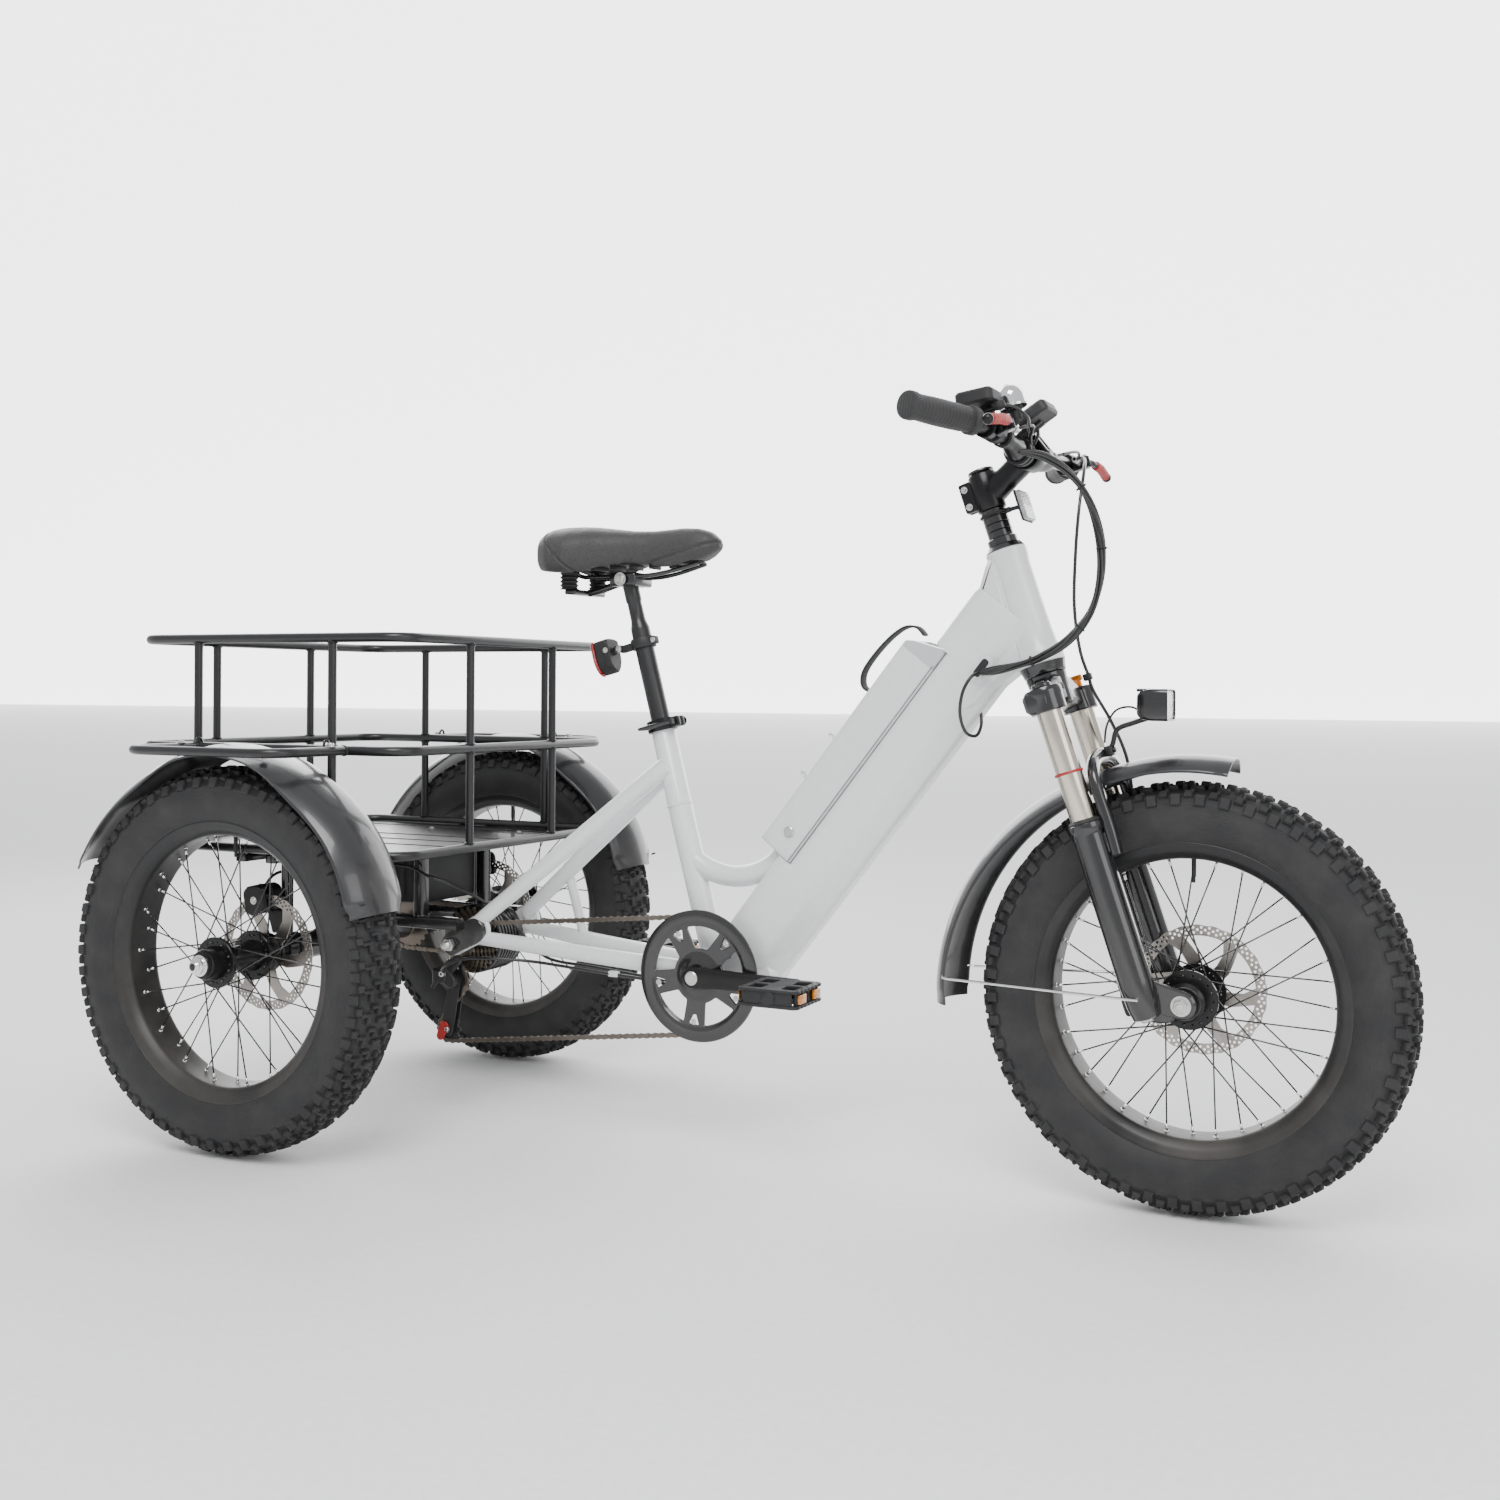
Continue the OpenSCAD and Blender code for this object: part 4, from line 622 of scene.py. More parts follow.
def tread():
    """Corner = lug place + half size, shrunk by 1.3 mm at the top. The distance across walks along
    the casing's profile, and height goes along the profile's normal. Then each point turns."""
    profile = np.array(CASING[:9], float)
    full = np.concatenate([(profile * [1, -1])[:0:-1], profile])
    arc = np.concatenate([[0], np.cumsum(np.linalg.norm(np.diff(full, axis=0), axis=1))])
    arc -= arc[len(arc) // 2]
    slope = np.gradient(full, axis=0)
    normal = np.stack([slope[:, 1], -slope[:, 0]], -1) / np.linalg.norm(slope, axis=1)[:, None]
    rows = lugs()
    signs = np.array([(-1, -1), (1, -1), (1, 1), (-1, 1)])
    levels = [(-1.5, 0.6), (1.0, 0.0), (0.82, -0.5), (0.0, -1.4)]
    u, v, w = [], [], []
    for drop, grow in levels:
        u.append(rows[:, None, 0] + signs[:, 0] * (rows[:, None, 2] / 2 + grow))
        v.append(rows[:, None, 1] + signs[:, 1] * (rows[:, None, 3] / 2 + grow))
        top = rows[:, None, 4] + 0 * u[-1]
        w.append(top * drop if drop == 0.82
            else (top if drop == 0.0 else (-1.5 if drop < 0 else 0.55 * top)))
    u, v, w = (np.stack([np.broadcast_to(q, u[0].shape) for q in s], 1) for s in (u, v, w))
    r = np.interp(v, arc, full[:, 0]) + w * np.interp(v, arc, normal[:, 0])
    y = np.interp(v, arc, full[:, 1]) + w * np.interp(v, arc, normal[:, 1])
    a = (u / 286)[None] + (np.arange(PITCHES) * 2 * np.pi / PITCHES)[:, None, None, None]
    r, y = np.minimum(r, 291.9)[None] + 0 * a, np.clip(y, -49.8, 49.8)[None] + 0 * a
    points = np.stack([r * np.cos(a), y, r * np.sin(a)], -1).reshape(-1, 16, 3)
    walls = [[k * 4 + i, k * 4 + (i + 1) % 4, k * 4 + 4 + (i + 1) % 4, k * 4 + 4 + i] for k in range(3)
        for i in range(4)]
    quads = np.array(walls + [[12, 13, 14, 15]])
    faces = (quads[None] + 16 * np.arange(len(points))[:, None, None]).reshape(-1, 4)
    return points.reshape(-1, 3), faces.tolist()


tyre_shape = joined(turned(casing_profile(), n=120, closed=True), tread())
print("tyre faces", len(tyre_shape[1]))

# %% [markdown]
# The rim is a closed profile with a rolled flange and a soft step below it. Thirty-six spokes lace
# it to the hub, each crossing its neighbours. All spokes are computed at once: a spoke is a ring of
# points about the line between its two ends.

# %% Rim, spokes and rotor
RIM_HALF = [(211, 38.4), (210.4, 39), (208.6, 39), (206.5, 38.2), (203, 36.8), (199.6, 36), (196, 33.4),
    (191, 28.6), (188.4, 25), (187.8, 21), (187.8, 6)]
rim_profile = np.array(RIM_HALF + [(r, -y) for r, y in RIM_HALF[::-1]] + [(208, -36.8), (203, -33.5),
    (199, -24), (199, 24), (203, 33.5), (208, 36.8)], float)


def rods(starts, ends, radius, n=6):
    """Many straight rods: point = end + r (cos k side + sin k normal), all in one array."""
    a, b = np.asarray(starts, float), np.asarray(ends, float)
    along = (b - a) / np.linalg.norm(b - a, axis=1)[:, None]
    guide = np.where(abs(along[:, 1:2]) < 0.9, [[0.0, 1, 0]], [[1.0, 0, 0]])
    side = np.cross(along, guide)
    side /= np.linalg.norm(side, axis=1)[:, None]
    normal = np.cross(side, along)
    k = np.linspace(0, 2 * np.pi, n, endpoint=False)[None, :, None]
    ring = radius * (np.cos(k) * side[:, None] + np.sin(k) * normal[:, None])
    points = np.stack([a[:, None] + ring, b[:, None] + ring], 1)
    base = np.array([[i, (i + 1) % n, n + (i + 1) % n, n + i] for i in range(n)])
    start = 2 * n * np.arange(len(a))
    faces = (base[None] + start[:, None, None]).reshape(-1, 4).tolist()
    caps = np.concatenate([np.arange(n)[::-1][None] + start[:, None], np.arange(n, 2 * n)[None] + start[:,
        None]])
    return points.reshape(-1, 3), faces + caps.tolist()


def spoke_lines(flange_y, hole_r, count=36):
    """Rim angle = i 360/18, hub angle = rim angle +- 62 degrees, on each flange in turn."""
    i = np.arange(count)
    side = np.where(i < count // 2, -1, 1)
    k = i % (count // 2)
    lean = np.where(k % 2 == 0, 1, -1)
    rim_a = np.radians(360 * k / (count // 2) + np.where(side > 0, 360 / count, 0))
    hub_a = rim_a + lean * math.radians(62)
    hub = np.stack([hole_r * np.cos(hub_a), side * (flange_y + lean * 2.4), hole_r * np.sin(hub_a)], -1)
    rim = np.stack([188.5 * np.cos(rim_a), side * 7.0, 188.5 * np.sin(rim_a)], -1)
    return hub, rim


def circle(cx, cy, r, n=10):
    """Point = centre + r (cos a, sin a), n times round."""
    a = np.linspace(0, 2 * np.pi, n, endpoint=False)
    return np.stack([cx + r * np.cos(a), cy + r * np.sin(a)], -1)


def pierced(outline, holes, low, high, axis="y", roll=0.0):
    """A flat plate with holes. Blender's own curve fill finds the faces between the loops, and the
    curve's extrusion gives the thickness."""
    curve = bpy.data.curves.new("cutting", "CURVE")
    curve.dimensions, curve.fill_mode = "2D", "BOTH"
    curve.extrude, curve.bevel_depth, curve.bevel_resolution = (high - low) / 2 - roll, roll, 0
    for loop in [outline, *holes]:
        spline = curve.splines.new("POLY")
        spline.points.add(len(loop) - 1)
        spline.points.foreach_set("co",
            np.concatenate([loop, np.zeros((len(loop), 1)), np.ones((len(loop), 1))], 1).ravel())
        spline.use_cyclic_u = True
    thing = bpy.data.objects.new("cutting", curve)
    mesh = bpy.data.meshes.new_from_object(thing)
    flat = np.empty(len(mesh.vertices) * 3, np.float32)
    mesh.vertices.foreach_get("co", flat)
    flat = flat.reshape(-1, 3).astype(float)
    flat[:, 2] += (high + low) / 2
    faces = [list(p.vertices) for p in mesh.polygons]
    bpy.data.objects.remove(thing)
    bpy.data.curves.remove(curve)
    bpy.data.meshes.remove(mesh)
    return flat[:, {"y": (0, 2, 1), "z": (0, 1, 2), "x": (2, 0, 1)}[axis]], faces


def polar(radius, degrees):
    """Point = radius (cos a, sin a)."""
    a = np.radians(degrees)
    return np.stack([np.asarray(radius) * np.cos(a), np.asarray(radius) * np.sin(a)], -1)


def rotor(y):
    """Scalloped band with three rows of drillings, and six swept arms between six windows."""
    t = np.linspace(0, 360, 144, endpoint=False)
    outline = polar(89.2 + 0.7 * np.sin(np.radians(t * 24)), t)
    holes = [circle(*polar(r, 360 * (k + s) / 48), 2.0, 8) for r, s in ((79.0, 0), (82.6, 0.5), (86.0, 0))
        for k in range(48)]
    for k in range(6):
        a = k * 60
        holes.append(np.concatenate([polar(74.5, np.linspace(a + 6, a + 48, 9)),
            polar([60, 45, 34], [a + 42, a + 32, a + 27]), polar(29, np.linspace(a + 22, a + 4, 4)),
            polar([40, 58], [a - 2, a - 1])]))
    return pierced(outline, holes, y - 0.9, y + 0.9)


rotor_shape = rotor(0)
carrier = joined(turned([(12, -1.5), (30, -1.5), (30, 2.2), (12, 2.2)], closed=True, n=32),
    *[bolt((22 * math.cos(a), -1.5, 22 * math.sin(a)), "y", 3.2, 2.6, -1)
    for a in np.radians(range(0, 360, 60))])
print("rotor faces", len(rotor_shape[1]))

# %% [markdown]
# The hubs are turned pieces with a drilled flange for each side of spokes. The rear hubs carry a
# locknut and a bright threaded end that the axle stops in.

# %% Hubs and the three wheels
def flange(y, r=40.0, holes=18, hole_r=33.0):
    """A disc round y with a ring of spoke holes, 360 / holes degrees apart."""
    return pierced(circle(0, 0, r, 48), [circle(*polar(hole_r, 360 * k / holes), 1.9, 6)
        for k in range(holes)] + [circle(0, 0, 14, 24)], y - 3.4, y + 3.4, roll=0.8)


def thread(r, y0, y1, pitch=1.25, n=20):
    """Ridges as a zigzag of radius along the axis."""
    y = np.arange(y0, y1, pitch / 2)
    return turned([(0, y0), *[(r - 0.5 * (k % 2), v) for k, v in enumerate(y)], (r - 0.8, y1), (0, y1)],
        n=n)


front_hub_shape = joined(turned([(8, -66), (21, -66), (22, -64.5), (22, -58), (26, -54), (24, -40),
    (25, -34), (20, -26), (19, 0), (20, 26), (25, 34), (28, 40), (29, 52), (27, 58), (21, 62), (20, 66),
    (8, 66)], closed=True), flange(-30, 39), flange(30, 39))
rear_hub_shape = joined(turned([(0, -66.9), (27, -66.9), (30, -65), (30, -50), (26, -44), (23, -30),
    (19.5, -20), (19, 0), (19.5, 20), (24, 31), (25, 44), (22.5, 50), (22.5, 62), (21, 65), (19, 65.5),
    (19, 68), (17.4, 68.2), (17.4, 69.6), (0, 69.6)]), flange(-38, 37, hole_r=30),
    flange(38, 37, hole_r=30))
rear_nut_shape = joined(turned([(0, 69), (15.4, 69), (15.8, 70), (15.8, 71.2), (14, 71.6), (14, 72.6)]
    + [(12.6, 72.8), (12.6, 77.6), (11.4, 78.4), (0, 78.4)], n=32), thread(7.4, 78, 84.6))
rear_cap_shape = turned([(0, 83.5), (5.4, 83.8), (5.6, 84.6), (3.6, 85.3), (0, 85.4)], n=20)


def wheel_at(x, y):
    """The frame of a wheel whose centre is x ahead and y to the left, at axle height."""
    return lambda p: upright(np.asarray(p, float) + (x, y, AXLE_Z))


def wheel(side, x, y, hub, hub_flange, hole_r, rotor_y, sign):
    """One wheel: tyre, rim, spokes, nipples, hub, rotor, each in its own finish on the same body."""
    body, here = side + "_wheel", wheel_at(x, y)
    tyre = on_side(tyre_shape, sign)
    piece(side + "_tread_and_casing", tyre, body, rubber, side + "_tyre", here, 50,
        numbers={"radius": np.linalg.norm(tyre[0][:, [0, 2]], axis=1) / 1000})
    piece(side + "_rim_hoop", turned(rim_profile, n=120, closed=True), body, rim_black,
        side + "_rim", here, 50)
    hub_ends, rim_ends = spoke_lines(hub_flange, hole_r)
    along = (hub_ends - rim_ends) / np.linalg.norm(hub_ends - rim_ends, axis=1)[:, None]
    heads = rods(hub_ends - [0, 3.2, 0], hub_ends + [0, 3.2, 0], 1.9)
    piece(side + "_spokes", joined(rods(hub_ends, rim_ends, 1.15), heads), body, black_gloss, place=here)
    piece(side + "_nipples", joined(rods(rim_ends - along * 1, rim_ends + along * 11, 1.9),
        rods(rim_ends - along * 1, rim_ends + along * 1.5, 3.2)), body, silver, place=here)
    piece(side + "_hub_shell", on_side(hub, sign), body, black_anodised, side + "_hub", here)
    disc = moved(on_side(rotor_shape, sign), (0, rotor_y, 0))
    piece(side + "_brake_rotor", disc, body, rotor_steel, side + "_rotor", here)
    carry = moved(on_side(carrier, 1 if rotor_y > 0 else -1), (0, rotor_y, 0))
    piece(side + "_rotor_carrier", carry, body, black_anodised, place=here)
    valve = turned([(0, 0), (4.5, 0), (4.2, 2), (3.2, 3), (3.2, 26), (2.4, 27), (2.4, 34), (0, 35)],
        axis="z", n=12)
    piece(side + "_valve", (valve[0] * [1, 1, -1] + [0, 0, 188], [f[::-1] for f in valve[1]]), body,
        matte_black, place=here)


wheel("front", WHEELBASE, 0, front_hub_shape, 30, 33, 55, 1)
for side, sign in (("right", -1), ("left", 1)):
    wheel(side, 0, sign * REAR_Y, rear_hub_shape, 38, 30, -68 * sign, sign)
    here = wheel_at(0, sign * REAR_Y)
    piece(side + "_axle_nut", on_side(rear_nut_shape, sign), side + "_wheel", silver, place=here)
    piece(side + "_axle_cap", on_side(rear_cap_shape, sign), side + "_wheel", matte_black, place=here)
print("wheels done,", len(made), "pieces")

# %% [markdown]
# ## Fenders
# A rear fender is a sheet whose section changes as it goes round the wheel. Along the crown it
# domes up between the guard rails and its edges flatten into shelves under them, while the front
# and rear ends keep deep turned-down lips. One array holds the outer skin and the inner skin.

# %% Rear and front fenders
def fender(angles, half_w, radius, drop, dome, wall=2.4, n=13, lip=3.0):
    """Radius(angle, t) = radius - drop |t|^2.6 + dome (1 - t^2)^2, with t from -1 to 1 across. The
    inner skin is the same surface moved inwards by the wall. Edges roll in by the lip."""
    a = np.radians(angles)[:, None]
    t = np.sin(np.linspace(-np.pi / 2, np.pi / 2, n))[None, :]
    r = radius[:, None] - drop[:, None] * abs(t) ** 2.6 + dome[:, None] * (1 - t ** 2) ** 2
    y = t * half_w[:, None]
    r_in, y_in = r[:, ::-1] - wall, y[:, ::-1] * (1 - wall / half_w[:, None])
    edge_r, edge_y = r[:, -1:] - lip, y[:, -1:] * 0.995
    back_r, back_y = r[:, :1] - lip, y[:, :1] * 0.995
    r = np.concatenate([r, edge_r, r_in, back_r], 1)
    y = np.concatenate([y, edge_y, y_in, back_y], 1)
    return grid(np.stack([r * np.cos(a), y, r * np.sin(a)], -1))


def bell_curve(x, centre, width, power=2):
    """exp(-|(x - centre) / width| to the power)."""
    return np.exp(-abs((x - centre) / width) ** power)


around = np.linspace(17, 154.5, 90)
rear_fender_shape = fender(around, 61.5 - 9 * bell_curve(around, 17, 3, 4) - 5 * bell_curve(around, 154.5,
    2.5, 4), 317 - 14 * np.clip((44 - around) / 27, 0, 1) ** 1.5 + 3.5 * bell_curve(around, 154.5, 3),
    24 - 17 * bell_curve(around, 88, 24, 4), 8.6 * bell_curve(around, 90, 17))
left_fender = moved(rear_fender_shape, (0, REAR_Y, AXLE_Z))
for side, sign in (("left", 1), ("right", -1)):
    piece(side + "_rear_fender", on_side(left_fender, sign), "frame", fender_skin,
        side + "_fender", sharp=60)
    screws = [bolt((x, sign * (REAR_Y + y), z), "z", 4, 3.4) for x, y,
        z in ((-92, -44, 596.5), (92, -44, 596.5), (96, 44, 596))]
    piece(side + "_fender_screws", joined(*screws), "frame", steel)
    # Painted shade: a thin black slot-shaped plate on the fender stands in for the dark of a slot.
    slot_shade_plate = plate(section(1.6, 5, 3, 12), -0.6, 0.6)
    slot_turn = np.array([[0.3, 0, -0.95], [0, 1, 0], [0.95, 0, 0.3]])
    slot_place = [283, sign * (REAR_Y + 47.6), 396]
    piece(side + "_fender_slot_shade", (slot_shade_plate[0] @ slot_turn + slot_place, slot_shade_plate[1]), "frame", matte_black)

# The front fender is two bands on the moving fork legs: a short visor ahead of the arch and a long
# tail behind it, joined behind the arch.
front_low, front_high, front_place = np.linspace(106, 182, 50), np.linspace(80, 112,
    26), wheel_at(WHEELBASE, 0)
tail = fender(front_low, 56 - 8 * bell_curve(front_low, 182, 3, 4), 342 + 0 * front_low, 22 + 0 * front_low,
    0 * front_low)
visor = fender(front_high, 56 - 6 * bell_curve(front_high, 80, 2.5, 4), 323.5 + 0 * front_high,
    20 + 0 * front_high, 0 * front_high)
wires = [tube([(-338, s * 52, 8), (-336, s * 57, 6), (-300, s * 64, 6), (-120, s * 95, 7),
    (-50, s * 108, 8)], 2.0, 8, 5) for s in (-1, 1)]
piece("front_fender_tail", joined(moved(tail, (-20, 0, -23)), moved(visor, (0, 0, 4))), "lowers",
    fender_skin, "front_fender", front_place, 60)
piece("front_fender_stays", joined(*wires), "lowers", silver, place=front_place)
print("fenders done")

# %% [markdown]
# ## Basket and rear subframe
# The cargo basket is three hoops of bent tube with short uprights, and a guard loop over each
# wheel. A hoop is a path of straight runs and quarter circles, and the tube carries a round section
# along it. A weld shows at each joint as a small uneven ring.

# %% Bent hoops, uprights and welds
BX0, BX1, BY, BR = -281, 250, 285, 7.5


def arc(cx, cy, r, a0, a1, n=7):
    """Point = centre + r (cos a, sin a), from a0 to a1 degrees."""
    a = np.radians(np.linspace(a0, a1, n))
    return np.stack([cx + r * np.cos(a), cy + r * np.sin(a)], -1)


def hoop(x0, x1, y, z, bend=45, r=BR):
    """Four quarter circles of radius bend; the tube runs straight between them."""
    flat = np.concatenate([arc(x1 - bend, y - bend, bend, 0, 90), arc(x0 + bend, y - bend, bend, 90, 180),
        arc(x0 + bend, bend - y, bend, 180, 270), arc(x1 - bend, bend - y, bend, 270, 360)])
    return tube(np.concatenate([flat, np.full((len(flat), 1), z)], 1), r, 18, 1, ring=True,
        across=(0, 0, 1))


def weld(centre, along, r, size=1.5, n=30):
    """A ring of bead: tube radius = size (1 + 0.22 sin 15 a)."""
    axis = np.asarray(along, float) / np.linalg.norm(along)
    side = np.cross(axis, (0.3, 1, 0.2))
    side /= np.linalg.norm(side)
    normal = np.cross(side, axis)
    a = np.linspace(0, 2 * np.pi, n, endpoint=False)[:, None]
    path = np.asarray(centre, float) + r * (np.cos(a) * side + np.sin(a) * normal)
    fat = size * (1 + 0.22 * np.sin(a[:, 0] * 15))
    return tube(path, fat, 6, 1, ring=True, across=axis)


hoops = [hoop(BX0, BX1, BY, z) for z in (450, 607, 778)]
posts = [((x, s * BY, 450), (x, s * BY, 778)) for x in (-151, 120) for s in (-1, 1)]
posts += [((x, s * 115, 450), (x, s * 115, 778)) for x in (BX0, BX1) for s in (-1, 1)]
uprights = [tube([a, b], 6.6, 16, 1) for a, b in posts]
beads = [weld((a[0], a[1], z), (0, 0, 1), 6.9) for a, b in posts for z in (458, 599.5, 614.5, 770.5)]
guard_path = np.concatenate([[(150, 287)], arc(108, 396, 42, 0, 90), arc(-108, 396, 42, 90, 180),
    [(-150, 287)]])
guard = tube(np.concatenate([guard_path, np.full((len(guard_path), 1), 607)], 1), 7.1, 16, 1,
    across=(0, 0, 1))
guard_beads = [weld((x, 293, 607), (0, 1, 0), 7.2) for x in (-150, 150)]
piece("basket_tubes", joined(*hoops, *uprights, *beads, *[mirrored(g) for g in (guard, *guard_beads)]),
    "frame", black_coat, "basket")
hooks = [tube([(x, 299, 611), (x, 301, 619), (x, 306, 622), (x, 311, 619), (x, 312, 612)], 2.0, 8, 4)
    for x in (-128, 128)]
nuts = [bolt((150, 322, 613.5), "z", 5, 6), bolt((-150, 322, 613.5), "z", 5, 4)]
piece("guard_hooks", mirrored(joined(*hooks)), "frame", black_gloss)
piece("guard_bolts", mirrored(joined(*nuts)), "frame", steel)

# %% [markdown]
# The floor is a pressed plate with long beads in it, and it lies on three cross members of the
# subframe. Two rails run forward from the axle housing to the frame's dropouts.

# %% Floor, controller box, subframe and axle housing
def rounded(x0, y0, x1, y1, r, n=4):
    """A rectangle whose corners are quarter circles of radius r."""
    return np.concatenate([arc(x1 - r, y1 - r, r, 0, 90, n), arc(x0 + r, y1 - r, r, 90, 180, n),
        arc(x0 + r, y0 + r, r, 180, 270, n), arc(x1 - r, y0 + r, r, 270, 360, n)])


crate_holes = [circle(25 + 60 * sx, 150 * sy, 3.2, 12) for sx in (-1, 1) for sy in (-1, 1)]
floor_sheet = pierced(rounded(-272.5, -276.5, 241.5, 276.5, 36.5, 6), crate_holes, 442.5, 445, "z")
beads_pressed = [plate(rounded(-240, y - 5, 205, y + 5, 4.9), 444.6, 446.2, "z", 0.7) for y in (-225, -75,
    0, 75, 225)]
floor_bolts = [bolt((x, y, 445), "z", 4, 3) for x in (-60, 132) for y in (-190, 190)]
piece("basket_floor_sheet", joined(floor_sheet, *beads_pressed), "frame", black_coat,
    "basket_floor")
piece("floor_bolts", joined(*floor_bolts), "frame", steel)
box_ribs = [soft_box((12 + 17 * k, -71.4, 356), (20 + 17 * k, -69, 420), 1.1) for k in range(7)]
piece("controller_case", joined(soft_box((4, -70, 348), (126, 70, 428.2), 6), *box_ribs), "frame",
    matte_black, "controller_box")
housing = [turned([(10.3, y0), (21, y0), (22, y0 + s), (22, y1 - s), (21, y1), (10.3, y1)], (0, 0, AXLE_Z),
    closed=True) for y0, y1, s in ((-262, 34, 1.2), (66, 262, 1.2))]
collars = [turned([(21.5, y - 6), (25, y - 5), (25, y + 5), (21.5, y + 6)], (0, 0, AXLE_Z), closed=True)
    for y in (-236, -84, 84, 236)]
rails = [tube([(-70, 84, 322), (-40, 84, 322), (150, 84, 322), (209, 84, 322)], 1,
    outline=section(10, 10, 7, 28), steps=2)]
plates_side = [plate(np.concatenate([circle(190, 289, 18, 24)[8:20], circle(234, 313, 20, 24)[-4:],
    circle(234, 313, 20, 24)[:9]]), 74.4, 83, edge=1)]
legs = [tube([(x, 84, 322), (x, 84, 440)], 1, outline=section(9.4, 9.4, 7, 24), steps=1) for x in (-60,
    132)]
struts = [tube([(0, 248, 300), (0, 248, 438)], 9.4, 14, 1)]
members = [soft_box((x - 9.6, -287, 428.6), (x + 9.6, 287, 442.2), 2.2) for x in (-60, 0, 132)]
joints = [weld((x, 84, z), (0, 0, 1), 11, 1.8) for x in (-60, 132) for z in (333,
    428)] + [weld((0, 248, 313), (0, 0, 1), 10, 1.8)]
sub = joined(*housing, *members, *[mirrored(s) for s in (*rails, *plates_side, *legs, *struts, *joints)],
    *collars)
piece("subframe_rails", sub, "frame", black_gloss, "rear_subframe")
mid_nuts = [turned([(6, 84.2), (11, 84.2), (11, 92), (9.6, 94), (6, 94)], (190, 0, 289), closed=True, n=6),
    moved(thread(6, 93, 102), (190, 0, 289))]
piece("middle_axle_nuts", mirrored(joined(*mid_nuts)), "frame", steel)
print("rear end done,", len(made), "pieces")

# %% [markdown]
# ## The white frame
# The frame is welded aluminium. Its down tube is a drawn box with chamfered lower edges and a
# recess that the battery lies in, so its section changes along the tube. The other tubes are round
# or slightly oval. Everything is one welded piece, so it becomes one mesh with weld beads on it.

# %% Down tube, head tube and the round tubes
def rolled(outline, r, n=4):
    """Each corner becomes a quadratic curve between the points r before it and r after it."""
    p = np.asarray(outline, float)
    before, after = np.roll(p, 1, 0) - p, np.roll(p, -1, 0) - p
    lb, la = np.linalg.norm(before, axis=1)[:, None], np.linalg.norm(after, axis=1)[:, None]
    start, end = p + before / lb * np.minimum(r, lb * 0.45), p + after / la * np.minimum(r, la * 0.45)
    t = np.linspace(0, 1, n + 1)[None, :, None]
    return ((1 - t) ** 2 * start[:, None] + 2 * t * (1 - t) * p[:, None] + t ** 2 * end[:,
        None]).reshape(-1, 2)


def down_section(top, shoulder, neck=1.0):
    """Flat below, chamfers up to the full width, upright sides and a rolled top."""
    return rolled(np.array([(-19, 0), (19, 0), (38, 36), (38, shoulder), (31, top), (-31, top),
        (-38, shoulder), (-38, 36)]) * [neck, 1], 9)


def lofted(rows, sections):
    """Section k stands at distance rows[k] along the tube."""
    points = np.stack([np.concatenate([np.full((len(s), 1), t), s], 1) for t, s in zip(rows, sections)])
    return grid(points)


full, seat_cut = down_section(112, 100), down_section(90.2, 84)
tube_rows = [-8, -3, 20, 90, 149.4, 149.8, 548.2, 548.6, 600, 640, 650]
down = lofted(tube_rows, [full * [0.93, 1] + [0, 1.5], full, full, full, full, seat_cut, seat_cut, full,
    full, full * [0.97, 1], full * [0.88, 0.97] + [0, 2]])


def to_side(shape, place):
    """Puts a shape drawn in a leaning view back in the side view's millimetres."""
    verts = place(shape[0]) * 1000 + [WHEELBASE / 2, 0, 0]
    return verts, shape[1]


def dp(t, w):
    """A point of the down tube's view, t along it and w above its underside, in the side view."""
    p = down_tube((t, 0, w)) * 1000
    return [p[0] + WHEELBASE / 2, p[2]]


def st(x, z):
    """A point of the steering axis's view in the side view."""
    p = steered((x, 0, z)) * 1000
    return [p[0] + WHEELBASE / 2, p[2]]


head = turned([(22.2, 493.2), (33, 493.2), (34, 494.4), (34, 509), (33, 512), (30.6, 518), (29, 545),
    (28.2, 590), (28, 640), (29.4, 652), (29.6, 663), (28.6, 664), (22.2, 664)], axis="z", closed=True,
    n=56)
gusset = plate(rolled([dp(440, 30), dp(520, 4), dp(552, 3), st(-14, 500), st(-8, 655), st(-22, 660),
    dp(636, 106), dp(560, 100)], 14, 5), -30, 30, edge=9)
shell = turned([(20, -42), (24, -42), (25, -41), (25, 41), (24, 42), (20, 42)], (633, 0, 270), closed=True)
lug = plate(rolled([(612, 262), (637, 249), (736, 256), dp(4, 1.5), dp(40, 108), dp(20, 112), (650, 320),
    (622, 300)], 16, 5), -31, 31, edge=8)
seat_tube = to_side(turned([(15.1, 0), (19, 0), (19, 394), (18.4, 395), (15.1, 395)], axis="z", closed=True,
    n=40), seated)
brace_a = np.radians(np.linspace(226, 322, 16))
brace = tube(np.stack([661 + 116 * np.cos(brace_a), 0 * brace_a, 532 + 116 * np.sin(brace_a)], -1), 16.6,
    20, 1)
stay_foot = np.array([549, 12, 584])
stays = [tube([stay_foot, stay_foot * 0.6 + np.array([228, 70, 321]) * 0.4, (250, 66.5, 339),
    (236, 69, 327)], [15.5, 14, 12, 11], 20, 6), tube([(612, 24, 271), (560, 33, 275), (420, 48, 286),
    (300, 62, 296), (232, 69.5, 301)], [14, 13.6, 13, 12, 11], 20, 6)]
hanger = plate(rolled(np.concatenate([circle(190, 289, 19.6, 24)[8:20], circle(234, 313, 23.6, 24)[-6:],
    circle(234, 313, 23.6, 24)[:8]]), 2, 1), 66, 73.8, edge=1.2)
strut = tube([(354, 56, 299), (324, 58, 397)], 8, 14, 1)


